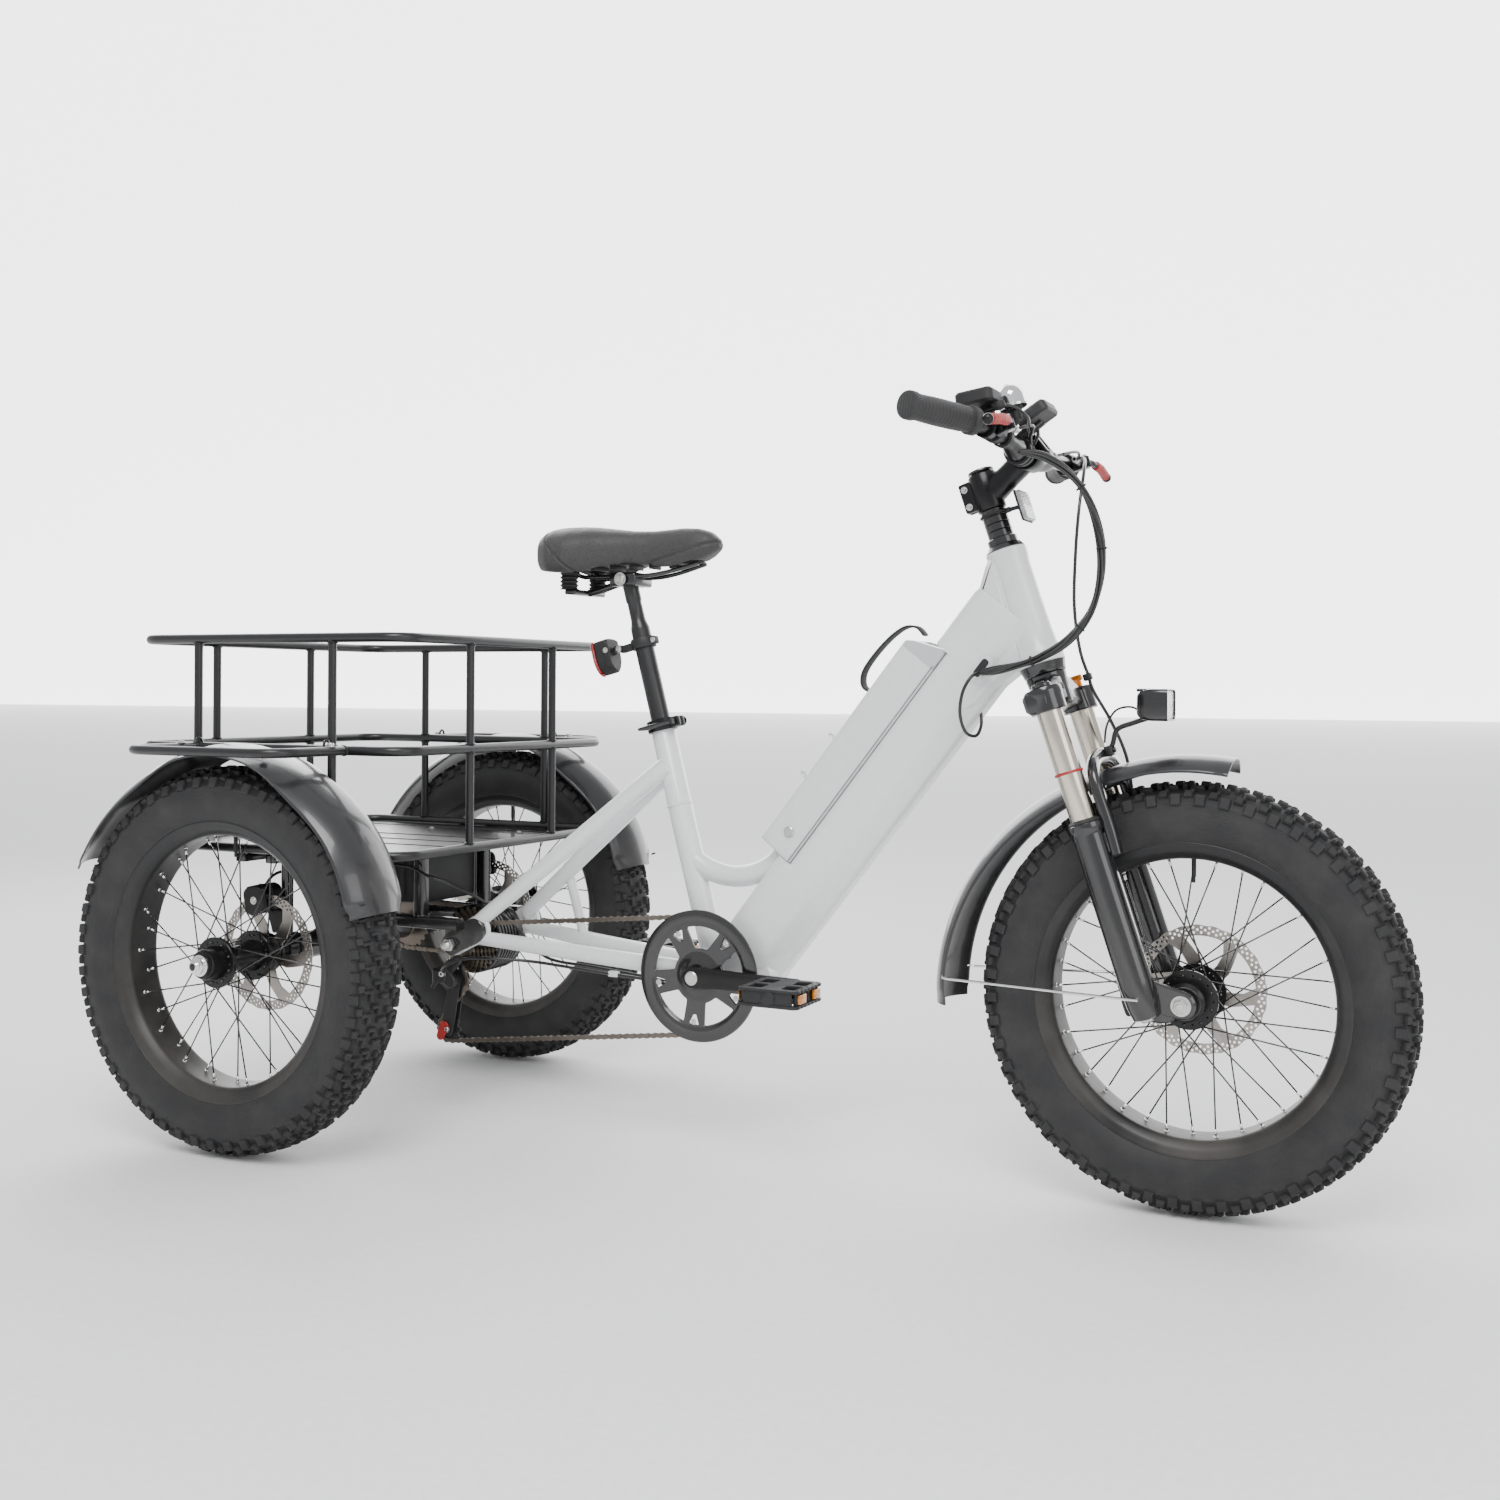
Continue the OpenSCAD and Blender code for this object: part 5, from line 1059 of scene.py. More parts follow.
def bead_line(a, b, size=2.3, n=60):
    """A weld along a line: radius = size (1 + 0.3 |sin|), one swell for each drop of metal."""
    t = np.linspace(0, 1, n)[:, None]
    path = np.asarray(a, float) * (1 - t) + np.asarray(b, float) * t
    return tube(path, size * (0.8 + 0.35 * abs(np.sin(np.arange(n) * math.pi / 4))), 7, 1)


welds = [to_side(weld((0, 0, s), (0, 0, 1), r, 2.0), seated) for s, r in ((36, 18.8), (262, 18.8))]
welds += [weld((633, y, 270), (0, 1, 0), 24.4, 2.0) for y in (-32, 32)]
neck = mirrored(to_side(bead_line((-17, 27.5, 500), (-15, 26.5, 650)), steered))
brace_ends = [weld((661 + 116 * math.cos(a), 0, 532 + 116 * math.sin(a)), (-math.sin(a), 0, math.cos(a)),
    16.6, 2.0) for a in (math.radians(231), math.radians(316))]
white = joined(to_side(down, down_tube), to_side(head, steered), gusset, shell, lug, seat_tube, brace,
    *[mirrored(s) for s in stays], mirrored(hanger), strut, *welds, neck, *brace_ends)
piece("welded_frame", white, "frame", white_paint, "main_frame")
dropout_bolts = [bolt((x, -74, z), "y", 5.5, 4, -1) for x, z in ((243, 322), (226, 302))]
piece("frame_bolts", joined(*dropout_bolts, *[bolt((x, -31, z), "y", 4, 3, -1) for x,
    z in ((668, 268), (668, 300))]), "frame", steel)
grommet = to_side(plate(rolled([(540, 22), (584, 22), (584, 44), (540, 44)], 11, 6), -40, -37.4), down_tube)
# Painted shade: a black plate on the grommet stands in for the dark of its opening.
hole = to_side(plate(rolled([(549, 28), (578, 28), (578, 39), (549, 39)], 5.6, 6), -40.6, -39.6, edge=0.3),
    down_tube)
piece("cable_port", grommet, "frame", white_case)
piece("cable_port_opening_shade", hole, "frame", matte_black)
print("frame faces", len(white[1]))

# %% [markdown]
# The headset, the bottom bracket's cups and the seat collar are turned rings. The battery is a rounded box
# with a slanted grey cap, a thin grey strip of painted shade along its seam with the frame, two clear knobs
# and a webbing handle.

# %% Headset, cups, collar and battery
headset_rings = [turned([(14.5, 478.2), (29.4, 478.2), (30.4, 479.4), (31, 484), (33, 491), (33.4, 493),
    (22, 493)], axis="z", closed=True, n=56), turned([(14.5, 664.2), (28, 664.2), (28.6, 665.4), (26, 669),
    (24.4, 671.8), (14.5, 671.8)], axis="z", closed=True, n=56)]
piece("headset_rings", joined(*headset_rings), "frame", black_gloss, "headset", steered)
cup = turned([(9.3, 42), (22.4, 42), (23.4, 42.8), (23.4, 45.6), (22, 46), (9.3, 46)], (633, 0, 270),
    closed=True, n=40)
piece("bottom_bracket_cups", mirrored(cup), "frame", steel, "bottom_bracket")
collar = joined(turned([(19.1, 380), (23, 380), (23.6, 381), (23.6, 397), (22.8, 398), (16, 398),
    (16, 395.3), (19.1, 395.3)], axis="z", closed=True, n=40), soft_box((19, -12, 381), (36, -1.2, 397),
    2.5), soft_box((19, 1.2, 381), (36, 12, 397), 2.5), turned([(0, -17), (3, -17), (3, 17), (0, 17)],
    (30, 0, 389), n=14), bolt((30, 13, 389), "y", 5, 5))
piece("seat_collar_clamp", collar, "frame", black_anodised, "seat_collar", seated)
lever = joined(tube([(30, -22, 384), (30, -22, 394)], 4, 12, 1),
    tube([(30, -22, 389), (14, -26, 389), (-8, -31, 388), (-24, -34, 389)], [3.2, 3.4, 4.2, 2.2], 12, 5))
piece("quick_release_lever", lever, "seat_clamp_lever", black_gloss, "seat_lever", seated)

cell_section = rolled([(-37, 90.4), (37, 90.4), (37, 146), (31, 152), (-31, 152), (-37, 146)], 7, 5)


def slanted(rows, sections):
    """Each row is (t, shear), and t falls by shear for each millimetre above 112."""
    return np.stack([np.concatenate([t - shear * np.maximum(s[:, 1:] - 112, 0), s], 1) for (t, shear),
        s in zip(rows, sections)])


slim, dent = cell_section * [0.97, 1], cell_section * [0.985, 0.992] + [0, 0.9]
case = lofted([150.8, 152.5, 160, 160.4, 162, 162.4, 514, 514.4, 516], [slim, cell_section, cell_section,
    dent, dent, cell_section, cell_section, dent, dent])
cap = grid(slanted([(515.5, 0), (516, 0), (545, 0.62), (547.4, 0.62)],
    [dent, cell_section, cell_section * [0.98, 1], slim * [0.96, 0.995] + [0, 0.4]]))
piece("battery_case", case, "frame", white_case, "battery", down_tube)
piece("battery_end_cap", cap, "frame", moulded("pale_grey_cap", (0.50, 0.51, 0.52), 0.25, coat=0.5),
    place=down_tube)
# Painted shade: a thin grey strip on each side, just above the battery's lower edge, darkens its seam
# against the frame.
seam_shade_strips = [soft_box((152, s * 37.2 - 0.5, 92), (520, s * 37.2 + 0.5, 93.2), 0.4) for s in (-1, 1)]
piece("battery_seam_shade_strips", joined(*seam_shade_strips), "frame", grey_plastic, place=down_tube)
knobs = [turned([(0, 151), (5.5, 151), (5.5, 155), (3.6, 157), (3.8, 163), (2.6, 165.4), (0, 165.6)],
    (t, -14, 0), "z", 18) for t in (263, 336)]
piece("battery_knobs", joined(*knobs), "frame", smooth_lens, place=down_tube)
strap_path = [(541, 0, 140), (543, 0, 156), (532, 0, 171), (506, 0, 180), (470, 0, 184), (440, 0, 182),
    (424, 0, 171), (424, 0, 157), (436, 0, 151)]
strap = tube(strap_path, 1, steps=6, outline=rolled([(-10, -1.7), (10, -1.7), (10, 1.7), (-10, 1.7)], 1.2,
    2))
webbing = moulded("black_webbing", (0.014, 0.014, 0.015), 0.7, 0.0018, 0.0003)
piece("battery_handle_strap", strap, "frame", webbing, place=down_tube)
lock = turned([(0, -37.6), (8, -37.6), (8, -39.4), (6.6, -40.4), (2.4, -40.4), (2.4, -39.6), (0, -39.6)],
    (188, 0, 118), n=28)
piece("battery_lock", lock, "frame", steel, place=down_tube)
print("battery done,", len(made), "pieces")

# %% [markdown]
# ## Cranks, cogs and chains
# A chain runs round its wheels on straight tangents and arcs. Once that path is known by length,
# every link is the same small shape, turned to the path's direction and moved to its place, all at
# once.

# %% Sprockets and chain links
RING_R, COG_R, DRIVE_R, PULLEY_R = (12.7 / (2 * math.sin(math.pi / t)) for t in (44, 14, 20, 10))
CHAIN_Y, DRIVE_Y = -54, 50


def cog(teeth, y, bore, thick=2.2):
    """Radius = pitch radius + 2.4 tanh(2 cos(teeth a)) - 0.8, which has flat lands and quick flanks."""
    r = 12.7 / (2 * math.sin(math.pi / teeth))
    a = np.linspace(0, 2 * np.pi, teeth * 8, endpoint=False)
    outline = polar(r - 0.9 + 2.6 * np.tanh(2.2 * np.cos(teeth * a)), np.degrees(a))
    return pierced(outline, [circle(0, 0, bore, 40)], y - thick / 2, y + thick / 2)


def belt(wheels):
    """wheels: (x, z, r, turn). Heading between two wheels = direction of their centres less
    asin of (turned radii difference / distance). Gives the closed path as points."""
    w = np.asarray(wheels, float)
    gap = np.roll(w, -1, 0)[:, :2] - w[:, :2]
    heading = np.arctan2(gap[:, 1], gap[:, 0]) - np.arcsin((np.roll(w[:, 3] * w[:, 2], -1) - w[:, 3] * w[:,
        2]) / np.hypot(*gap.T))
    points = []
    for k, (x, z, r, turn) in enumerate(w):
        a0, a1 = heading[k - 1] - turn * np.pi / 2, heading[k] - turn * np.pi / 2
        sweep = (a1 - a0) % (2 * np.pi) if turn > 0 else -((a0 - a1) % (2 * np.pi))
        a = a0 + np.linspace(0, sweep, 40)
        points.append(np.stack([x + r * np.cos(a), z + r * np.sin(a)], -1))
    return np.concatenate(points)


def links(path, y):
    """Places = the path at equal lengths near 12.7 mm. Odd links are wide plates, even are narrow."""
    loop = np.concatenate([path, path[:1]])
    length = np.concatenate([[0], np.cumsum(np.linalg.norm(np.diff(loop, axis=0), axis=1))])
    count = 2 * round(length[-1] / 25.4)
    s = np.arange(count + 1) * length[-1] / count
    pins = np.stack([np.interp(s, length, loop[:, 0]), np.interp(s, length, loop[:, 1])], -1)
    mid, ahead = (pins[1:] + pins[:-1]) / 2, np.diff(pins, axis=0)
    angle = np.arctan2(ahead[:, 1], ahead[:, 0])
    half = circle(6.35, 0, 4.1, 12)[[0, 1, 2, 3]]
    outline = np.concatenate([half, [(0, 2.7)], (half * [-1, 1])[::-1], half[1:] * [-1, -1], [(0, -2.7)],
        (half * [1, -1])[:0:-1]])
    base = {}
    for kind, offset in ((0, 2.6), (1, 1.6)):
        base[kind] = joined(*[plate(outline, s * offset - 0.42, s * offset + 0.42, edge=0.2) for s in (-1,
            1)], turned([(0, -3.4), (1.6, -3.4), (1.6, 3.4), (0, 3.4)], (6.35, 0, 0), n=8) if kind == 0
            else turned([(0, -1.3), (3.8, -1.3), (3.8, 1.3), (0, 1.3)], (6.35, 0, 0), n=10))
    shapes = []
    for kind in (0, 1):
        v, f = base[kind]
        c, n = np.cos(angle[kind::2])[:, None], np.sin(angle[kind::2])[:, None]
        x = v[None, :, 0] * c - v[None, :, 2] * n + mid[kind::2, :1]
        z = v[None, :, 0] * n + v[None, :, 2] * c + mid[kind::2, 1:]
        points = np.stack([x, np.broadcast_to(v[None, :, 1] + y, x.shape), z], -1)
        faces = [[q + k * len(v) for q in face] for k in range(len(c)) for face in f]
        shapes.append((points.reshape(-1, 3), faces))
    return joined(*shapes)


main_chain = belt([(633, 270, RING_R, -1), (168, 146, PULLEY_R, -1), (183, 226, PULLEY_R, 1),
    (190, 289, COG_R, -1)])
drive_chain = belt([(190, 289, DRIVE_R, -1), (0, AXLE_Z, DRIVE_R, -1)])
piece("roller_chains", joined(links(main_chain, CHAIN_Y), links(drive_chain, DRIVE_Y)), "frame",
    chain_steel, "chains")
print("chain points", len(main_chain), len(drive_chain))

# %% [markdown]
# The chainwheel is a black pressed guard with five large windows and five small ones, and the
# toothed ring shows behind its rim. The crank arms are forged: wide at the axle, slim at the pedal,
# with rolled edges.

# %% Chainwheel, crank arms and pedals
CRANK = np.array([633, 0, 270.0])


def window(r0, r1, centre, half0, half1):
    """A rounded opening between two radii, half0 degrees wide at the inside and half1 outside."""
    outer = polar(r1, np.linspace(centre - half1, centre + half1, 8))
    inner = polar(r0, np.linspace(centre + half0, centre - half0, 5))
    return rolled(np.concatenate([outer, inner]), 5, 3)


windows = [window(41, 76, 84 + 72 * k, 15, 23) for k in range(5)] + [window(58, 75, 120 + 72 * k, 3, 7.5)
    for k in range(5)]
spider = pierced(circle(0, 0, 82, 90), windows + [circle(0, 0, 9.4, 24)], -61.5, -57.5, roll=0.9)
guard_ring = turned([(77, -57.6), (77, -61.4), (79, -63.4), (83, -64.2), (96, -64.4), (99.4, -63.2),
    (100, -60.8), (99, -58.4), (95, -57.4)], closed=True, n=110)
dish = turned([(9.4, -57.5), (9.4, -66.5), (22, -66.5), (27, -64), (33, -61.8), (41, -61.2), (41, -57.5)],
    closed=True, n=60)
piece("chainwheel_guard", moved(joined(spider, guard_ring, dish), CRANK), "crank", black_gloss,
    "chainring")
teeth_ring = cog(44, CHAIN_Y, 77.5)
piece("chainwheel_teeth", moved(teeth_ring, CRANK), "crank", steel)
rivets = [bolt((633 + 70 * math.cos(math.radians(48 + 72 * k)), -61.5,
    270 + 70 * math.sin(math.radians(48 + 72 * k))), "y", 3, 2, -1) for k in range(5)]
piece("chainwheel_rivets", joined(*rivets), "crank", steel)


def crank_arm(y0):
    """Rows along the arm: half height 17 to 12, thickness 16 to 12, each row a superellipse; the two
    ends close on quarter circles."""
    x = np.concatenate([-17 * np.cos(np.linspace(0, 1.45, 8)), np.linspace(2, 168, 14),
        170 + 12.5 * np.sin(np.linspace(0.1, 1.55, 8))])
    reach = np.clip(x / 170, 0, 1)
    height = 17 - 5 * reach ** 0.7
    height = np.where(x < 0, np.sqrt(np.maximum(17 ** 2 - x ** 2, 0.2)), height)
    height = np.where(x > 170, np.sqrt(np.maximum(12.3 ** 2 - (x - 170) ** 2, 0.2)), height)
    thick = 8 - 1.5 * reach
    thick = thick * np.where(x > 170, np.sqrt(np.clip(1 - ((x - 170) / 13.5) ** 2, 0.05, 1)), 1)
    rows = np.stack([section(1, 1, 3.2, 24)] * len(x))
    points = np.stack([np.broadcast_to(x[:, None], rows.shape[:2]), y0 + 7 + rows[..., 0] * thick[:, None],
        rows[..., 1] * height[:, None]], -1)
    hub = turned([(9.3, -8), (19, -8), (19.6, -6.6), (18, 2), (9.3, 2)], (0, y0, 0), closed=True, n=40)
    cap = turned([(0, 13.6), (10, 13.6), (10.6, 15), (9, 16.4), (0, 16.8)], (0, y0, 0), n=36)
    return joined(grid(points), hub), cap


def half_turned(shape):
    """The shape after half a turn about the cross axis."""
    return shape[0] * [-1, 1, -1], shape[1]


arm, cap = crank_arm(70)
for side, turn in (("right", other_side), ("left", half_turned)):
    piece(side + "_crank_arm", moved(turn(arm), CRANK), "crank", black_anodised,
        side + "_crank")
    piece(side + "_crank_cap", moved(turn(cap), CRANK), "crank", steel)
spindle = turned([(0, -78), (8.9, -78), (8.9, 78), (0, 78)], (633, 0, 270), n=28)
piece("crank_spindle", spindle, "crank", steel)


def pedal_parts():
    """Cage outline = rounded rectangle whose long edges carry teeth: x = 47 - |sin| notches."""
    y = np.linspace(3, 85, 42)
    saw = 45.2 + 1.6 * abs(np.sin((y - 3) / 82 * np.pi * 7))
    edge = np.stack([saw, y], -1)
    outline = np.concatenate([edge, [(40, 88), (-40, 88)], (edge * [-1, 1])[::-1], [(-40, 0), (40, 0)]])
    gaps = [rolled([(s * 13, 12), (s * 38, 9), (s * 39, 40), (s * 13, 38)][::s], 4, 3) for s in (-1, 1)]
    gaps += [rolled([(s * 13, 48), (s * 39, 46), (s * 38, 79), (s * 13, 76)][::s], 4, 3) for s in (-1, 1)]
    skins = [pierced(outline, gaps, low, low + 4.5, "z", 0.9) for low in (-13, 8.5)]
    sides = [soft_box((s * 40 - 2.6, 8, -11), (s * 40 + 2.6, 80, 11), 1.6) for s in (-1, 1)]
    ends = [soft_box((-38, y0, -10), (38, y0 + 5, 10), 2) for y0 in (1.5, 82)]
    barrel = turned([(5.7, 0.5), (11, 0.5), (12, 2), (11, 20), (9.5, 44), (11, 68), (12.6, 84), (12.6, 88),
        (5.7, 88)], closed=True, n=28)
    pins = rods(*zip(*[((s * 43, y0, -13), (s * 43, y0, 13.6)) for s in (-1, 1) for y0 in (10, 26, 44, 62,
        78)]), 1.4)
    cap_end = turned([(0, 86), (10, 86), (10.4, 88.2), (8, 89.6), (0, 90)], n=24)
    lamps = [soft_box((s * 46 - 2.2, y0, -6.5), (s * 46 + 1.9 * s + 0.4, y0 + 22, 6.5), 1.2) for s in (-1,
        1) for y0 in (9, 57)]
    return joined(*skins, *sides, *ends, barrel, cap_end, pins), joined(*lamps)


cage, lamps = pedal_parts()
for side, sign in (("right", -1), ("left", 1)):
    place_at = CRANK + [-sign * 170, sign * 87.4, 0]
    for name, shape, skin in (("_pedal_cage", cage, matte_black), ("_pedal_reflectors", lamps, amber_lens)):
        thing = piece(side + name, moved(on_side(shape, sign), place_at), side + "_pedal", skin)
        if "cage" in name:
            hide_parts(side + "_pedal")
    axle = on_side(turned([(0, 84), (8.6, 84), (8.6, 87), (5.4, 87.2), (5.4, 176), (0, 176)], n=20), sign)
    piece(side + "_pedal_axle", moved(axle, CRANK + [-sign * 170, 0, 0]), "crank", steel)
print("cranks done,", len(made), "pieces")

# %% [markdown]
# Behind the crank the chain turns a cassette on a middle hub, and a second chain takes the drive on
# to the rear axle. The derailleur hangs below, with two small toothed pulleys between its plates.

# %% Cassette, middle hub and derailleur
cassette_cogs = [cog(14 + 2 * i, CHAIN_Y + i * 4.2, 20 if i == 0 else 24 + 2 * i, 1.8) for i in range(7)]
webs = [pierced(circle(0, 0, 26 + 2 * i, 36), [circle(0, 0, 18.1, 24)] + [circle(*polar(22.2 + i, 60 * k),
    2.4 + 0.2 * i, 8) for k in range(6)], CHAIN_Y + i * 4.2 - 0.8, CHAIN_Y + i * 4.2 + 0.8)
    for i in range(7)]
core = turned([(18.1, CHAIN_Y - 1.4), (22, CHAIN_Y - 1.4), (22, CHAIN_Y + 26.4), (18.1, CHAIN_Y + 26.4)],
    closed=True, n=36)
HUB = np.array([190, 0, 289.0])
cassette = joined(*cassette_cogs, *webs, core)
piece("cassette_cogs", moved(cassette, HUB), "cassette", chain_steel, "cassette")
inner = CHAIN_Y + 28.2
grooves = [(56, inner + 2)] + [(r, inner + 8 + 8 * k + d) for k in range(6) for r,
    d in ((56, -0.4), (53.4, 0), (53.4, 2.8), (56, 3.2))]
shell_profile = [(6.2, CHAIN_Y - 3), (17.6, CHAIN_Y - 3), (17.9, inner), (54, inner), *grooves, (56, 40),
    (54.6, 42), (24, 42), (24, 52.6), (6.2, 52.8)]
middle = joined(turned(shell_profile, closed=True, n=72), cog(20, DRIVE_Y, 23, 2.4))
piece("middle_hub_shell", moved(middle, HUB), "mid_hub", black_anodised, "mid_hub")
axle_cog = cog(20, 0, 9.4, 2.4)
boss = turned([(10, -8), (17, -8), (18, -7), (18, 7), (17, 8), (10, 8)], closed=True, n=36)
piece("axle_sprocket", moved(joined(axle_cog, boss), (0, DRIVE_Y, AXLE_Z)), "left_wheel", chain_steel)
live_axle = turned([(0, 14), (9.9, 14), (9.9, 296), (0, 296)], (0, 0, AXLE_Z), n=28)
piece("left_live_axle", live_axle, "left_wheel", steel)
stub_axle = turned([(0, -296), (9.9, -296), (9.9, -150), (0, -150)], (0, 0, AXLE_Z), n=28)
piece("right_axle_shaft", stub_axle, "right_wheel", steel)
for name, (x, z) in (("upper_pulley", (183, 226)), ("lower_pulley", (168, 146))):
    wheel_shape = joined(cog(10, 0, 9, 2.2), turned([(3.1, -2.4), (9.4, -2.4), (9.4, 2.4), (3.1, 2.4)],
        closed=True, n=24))
    piece(name + "_wheel", moved(wheel_shape, (x, CHAIN_Y, z)), name, matte_black, name)


def strap_plate(a, b, r0, r1, low, high, edge=0.5):
    """Outline of two circles and their outer tangents, turned to run from a to b."""
    a, b = np.asarray(a, float), np.asarray(b, float)
    v = b - a
    turn, length = math.degrees(math.atan2(v[1], v[0])), np.hypot(*v)
    lean = math.degrees(math.asin((r0 - r1) / length))
    near = a + polar(r0, turn + np.linspace(90 - lean, 270 + lean, 13))
    far = b + polar(r1, turn + np.linspace(-90 + lean, 90 - lean, 13))
    return plate(np.concatenate([near, far]), low, high, edge=edge)


cage_plates = joined(strap_plate((183, 226), (168, 146), 11, 12, -62, -60),
    strap_plate((183, 226), (168, 146), 9, 11, -48, -46))
body = joined(strap_plate((183, 226), (168, 237), 11, 13, -76, -63, 2.5),
    strap_plate((168, 237), (194, 262), 12, 8, -74, -66, 2), soft_box((148, -78, 222), (176, -64, 246), 4),
    tube([(166, -72, 238), (158, -76, 226), (150, -76, 214)], 4, 12, 5))
piece("derailleur_body", joined(cage_plates, body), "frame", matte_black, "derailleur")
piece("derailleur_bolts", joined(bolt((183, -62.4, 226), "y", 4, 2.6, -1), bolt((168, -62.4, 146), "y", 4,
    2.6, -1), bolt((168, -76, 238), "y", 5, 3, -1), turned([(0, -1.3), (3, -1.3), (3, 15), (0, 15)],
    (183, -60, 226), n=12), turned([(0, -1.3), (3, -1.3), (3, 15), (0, 15)], (168, -60, 146), n=12)),
    "frame", steel)
piece("pulley_guard", strap_plate((163, 150), (156, 134), 9, 7, -64.4, -62.2), "frame", red_rubber)
print("drive done,", len(made), "pieces")

# %% [markdown]
# ## Saddle and post
# The saddle is a padded shell: wide and lobed behind, narrow at the nose. Its cushion is one closed
# surface whose rows are superellipses, with width, top and bottom as smooth functions of the place
# along it. Seams are grooves pressed into that surface along curves, with a raised lip on each side.

# %% The padded saddle
def saddle_surface(rows=220, across=160):
    """x = rear to nose. y = w sgn(cos)|cos|^0.8. Above the waist z follows |sin|^0.9. Below it the
    skin drops to the skirt, and inside 0.78 w it rises again to the pan by a smooth step. A seam at
    distance d sinks the skin by 2.6 exp(-(d/2.1)^2) and lifts a lip on each side."""
    u = (1 - np.cos(np.linspace(0, np.pi, rows))) / 2
    x = -141 + 302 * u
    knots = [-141, -134, -118, -96, -67, -45, -25, 15, 50, 77, 100, 125, 144, 161]
    half = np.interp(x, knots, [26, 66, 92, 101, 99, 89, 70, 46, 36, 32.5, 30, 27, 23, 15])
    top = np.interp(x, knots, [64, 83, 92, 96, 96.2, 95, 93, 88.6, 87.6, 88.8, 90, 88.5, 84, 74])
    low = np.interp(x, knots, [40, 20, 11, 7, 4.5, 8, 18, 28, 24, 17, 22, 34, 42, 51])
    kernel = np.hanning(11) / np.hanning(11).sum()
    half, top, low = (np.convolve(np.pad(q, 5, "edge"), kernel, "valid") for q in (half, top, low))
    ends = np.sqrt(np.clip(1 - ((x - 10) / 151.5) ** 14, 0, 1))
    half, middle = half * (0.3 + 0.7 * ends), (top + low) / 2
    top, low = middle + (top - middle) * (0.35 + 0.65 * ends), middle + (low - middle) * (0.35 + 0.65
        * ends)
    a = np.linspace(0, 2 * np.pi, across, endpoint=False)
    c, s = np.cos(a)[None], np.sin(a)[None]
    y = half[:, None] * np.sign(c) * abs(c) ** 0.8
    waist = low[:, None] + (top - low)[:, None] * 0.5
    up, down = (top[:, None] - waist) * abs(s) ** 0.85, (waist - low[:, None]) * abs(s) ** 0.6
    z = waist + np.where(s > 0, up, -down)
    share = np.clip((0.88 - abs(y) / half[:, None]) / 0.2, 0, 1)
    hollow = share ** 2 * (3 - 2 * share) * np.clip((x[:, None] + 138) / 12, 0,
        1) * np.clip((150 - x[:, None]) / 20, 0, 1)
    roof = np.minimum(39, middle[:, None] + 4)
    z = np.where(s < -0.2, z + np.maximum(roof - z, 0) * hollow, z)
    z = z - np.where(s > 0, 3.4 * np.exp(-(y / 12) ** 2) * np.exp(-((x[:, None] + 20) / 80) ** 4), 0)
    xx = x[:, None] + 0 * y
    lobe = xx + 112 - 0.62 * np.maximum(88 - z, 0) - 0.0036 * np.maximum(88 - z, 0) ** 2
    side = z - (24 + 0.31 * (xx - 20))
    groove = 0 * y
    for distance, where in ((lobe, (abs(y) > 0.42 * half[:, None]) & (z > low[:, None] + 8)),
            (side, (xx > 18) & (abs(y) > 0.7 * half[:, None]))):
        groove = groove + where * (2.6 * np.exp(-(distance / 2.1) ** 2) - 0.8
            * np.exp(-((abs(distance) - 4.8) / 2.2) ** 2))
    out = np.stack([0 * y, y / np.maximum(half[:, None], 1),
        (z - waist) / np.maximum((top - low)[:, None] / 2, 1)], -1)
    out /= np.maximum(np.linalg.norm(out, axis=-1), 1e-6)[..., None]
    return grid(np.stack([xx, y, z], -1) - out * groove[..., None])


def clamped(points):
    """The saddle's clamp stands level on the leaning post, 615 mm up the seat tube's axis."""
    return upright(np.asarray(points, float) + (633 - 615 * math.sin(math.radians(15)), 0,
        270 + 615 * math.cos(math.radians(15))))


cushion = piece("saddle_cushion", saddle_surface(), "seat", leather, "saddle", clamped, 80)
pan = [(-128, 60), (-96, 82), (-60, 74), (-10, 42), (40, 27), (100, 18), (146, 12), (146, -12), (100, -18),
    (40, -27), (-10, -42), (-60, -74), (-96, -82), (-128, -60)]
pan_shape = plate(rolled(pan, 12, 4) * [0.9, 0.82], 34, 41, "z", 1.6)
ribs = [soft_box((-60 + 34 * k, -26 + 3 * k, 27), (-56 + 34 * k, 26 - 3 * k, 36), 1.4) for k in range(5)]
piece("saddle_pan", joined(pan_shape, *ribs), "seat", matte_black, place=clamped)
rail = [tube([(-92, 36, 30), (-84, 30, 24), (-70, 22, 16), (0, 22, 16), (40, 22, 16), (80, 18, 22),
    (128, 12, 34)], 3.5, 12, 6)]
clamp_parts = [soft_box((-24, -28, 0.6), (24, 28, 22), 4),
    turned([(0, -33), (7, -33), (8, -31), (8, 31), (7, 33), (0, 33)], (0, 0, 11), n=24)]
bar_rear = [soft_box((-95, -46, -12), (-75, 46, -4), 2.5), tube([(-78, 0, -8), (-50, 0, -2), (-20, 0, 7)],
    6, 12, 4)]
bellows = [(r, -4 + 3.1 * k) for k in range(13) for r in [15 - 3.2 * (k % 2)]]
puffs = [turned([(0, -4), *bellows, (0, 33.4)], (-88, s * 42, 0), "z", 28) for s in (-1, 1)]
piece("saddle_rail_wires", joined(*[mirrored(r) for r in rail], *clamp_parts, *bar_rear), "seat",
    black_gloss, "saddle_rails", clamped)
piece("saddle_elastomers", joined(*puffs), "seat", grip_skin, place=clamped)
piece("saddle_clamp_nuts", joined(bolt((0, -33, 11), "y", 7, 5, -1), bolt((0, 33, 11), "y", 7, 5)), "seat",
    steel, place=clamped)

# %% [markdown]
# The post steps in below the clamp. A ring on it carries the tail light, a shield-shaped grey
# housing with a red lens that wraps its rear edge.

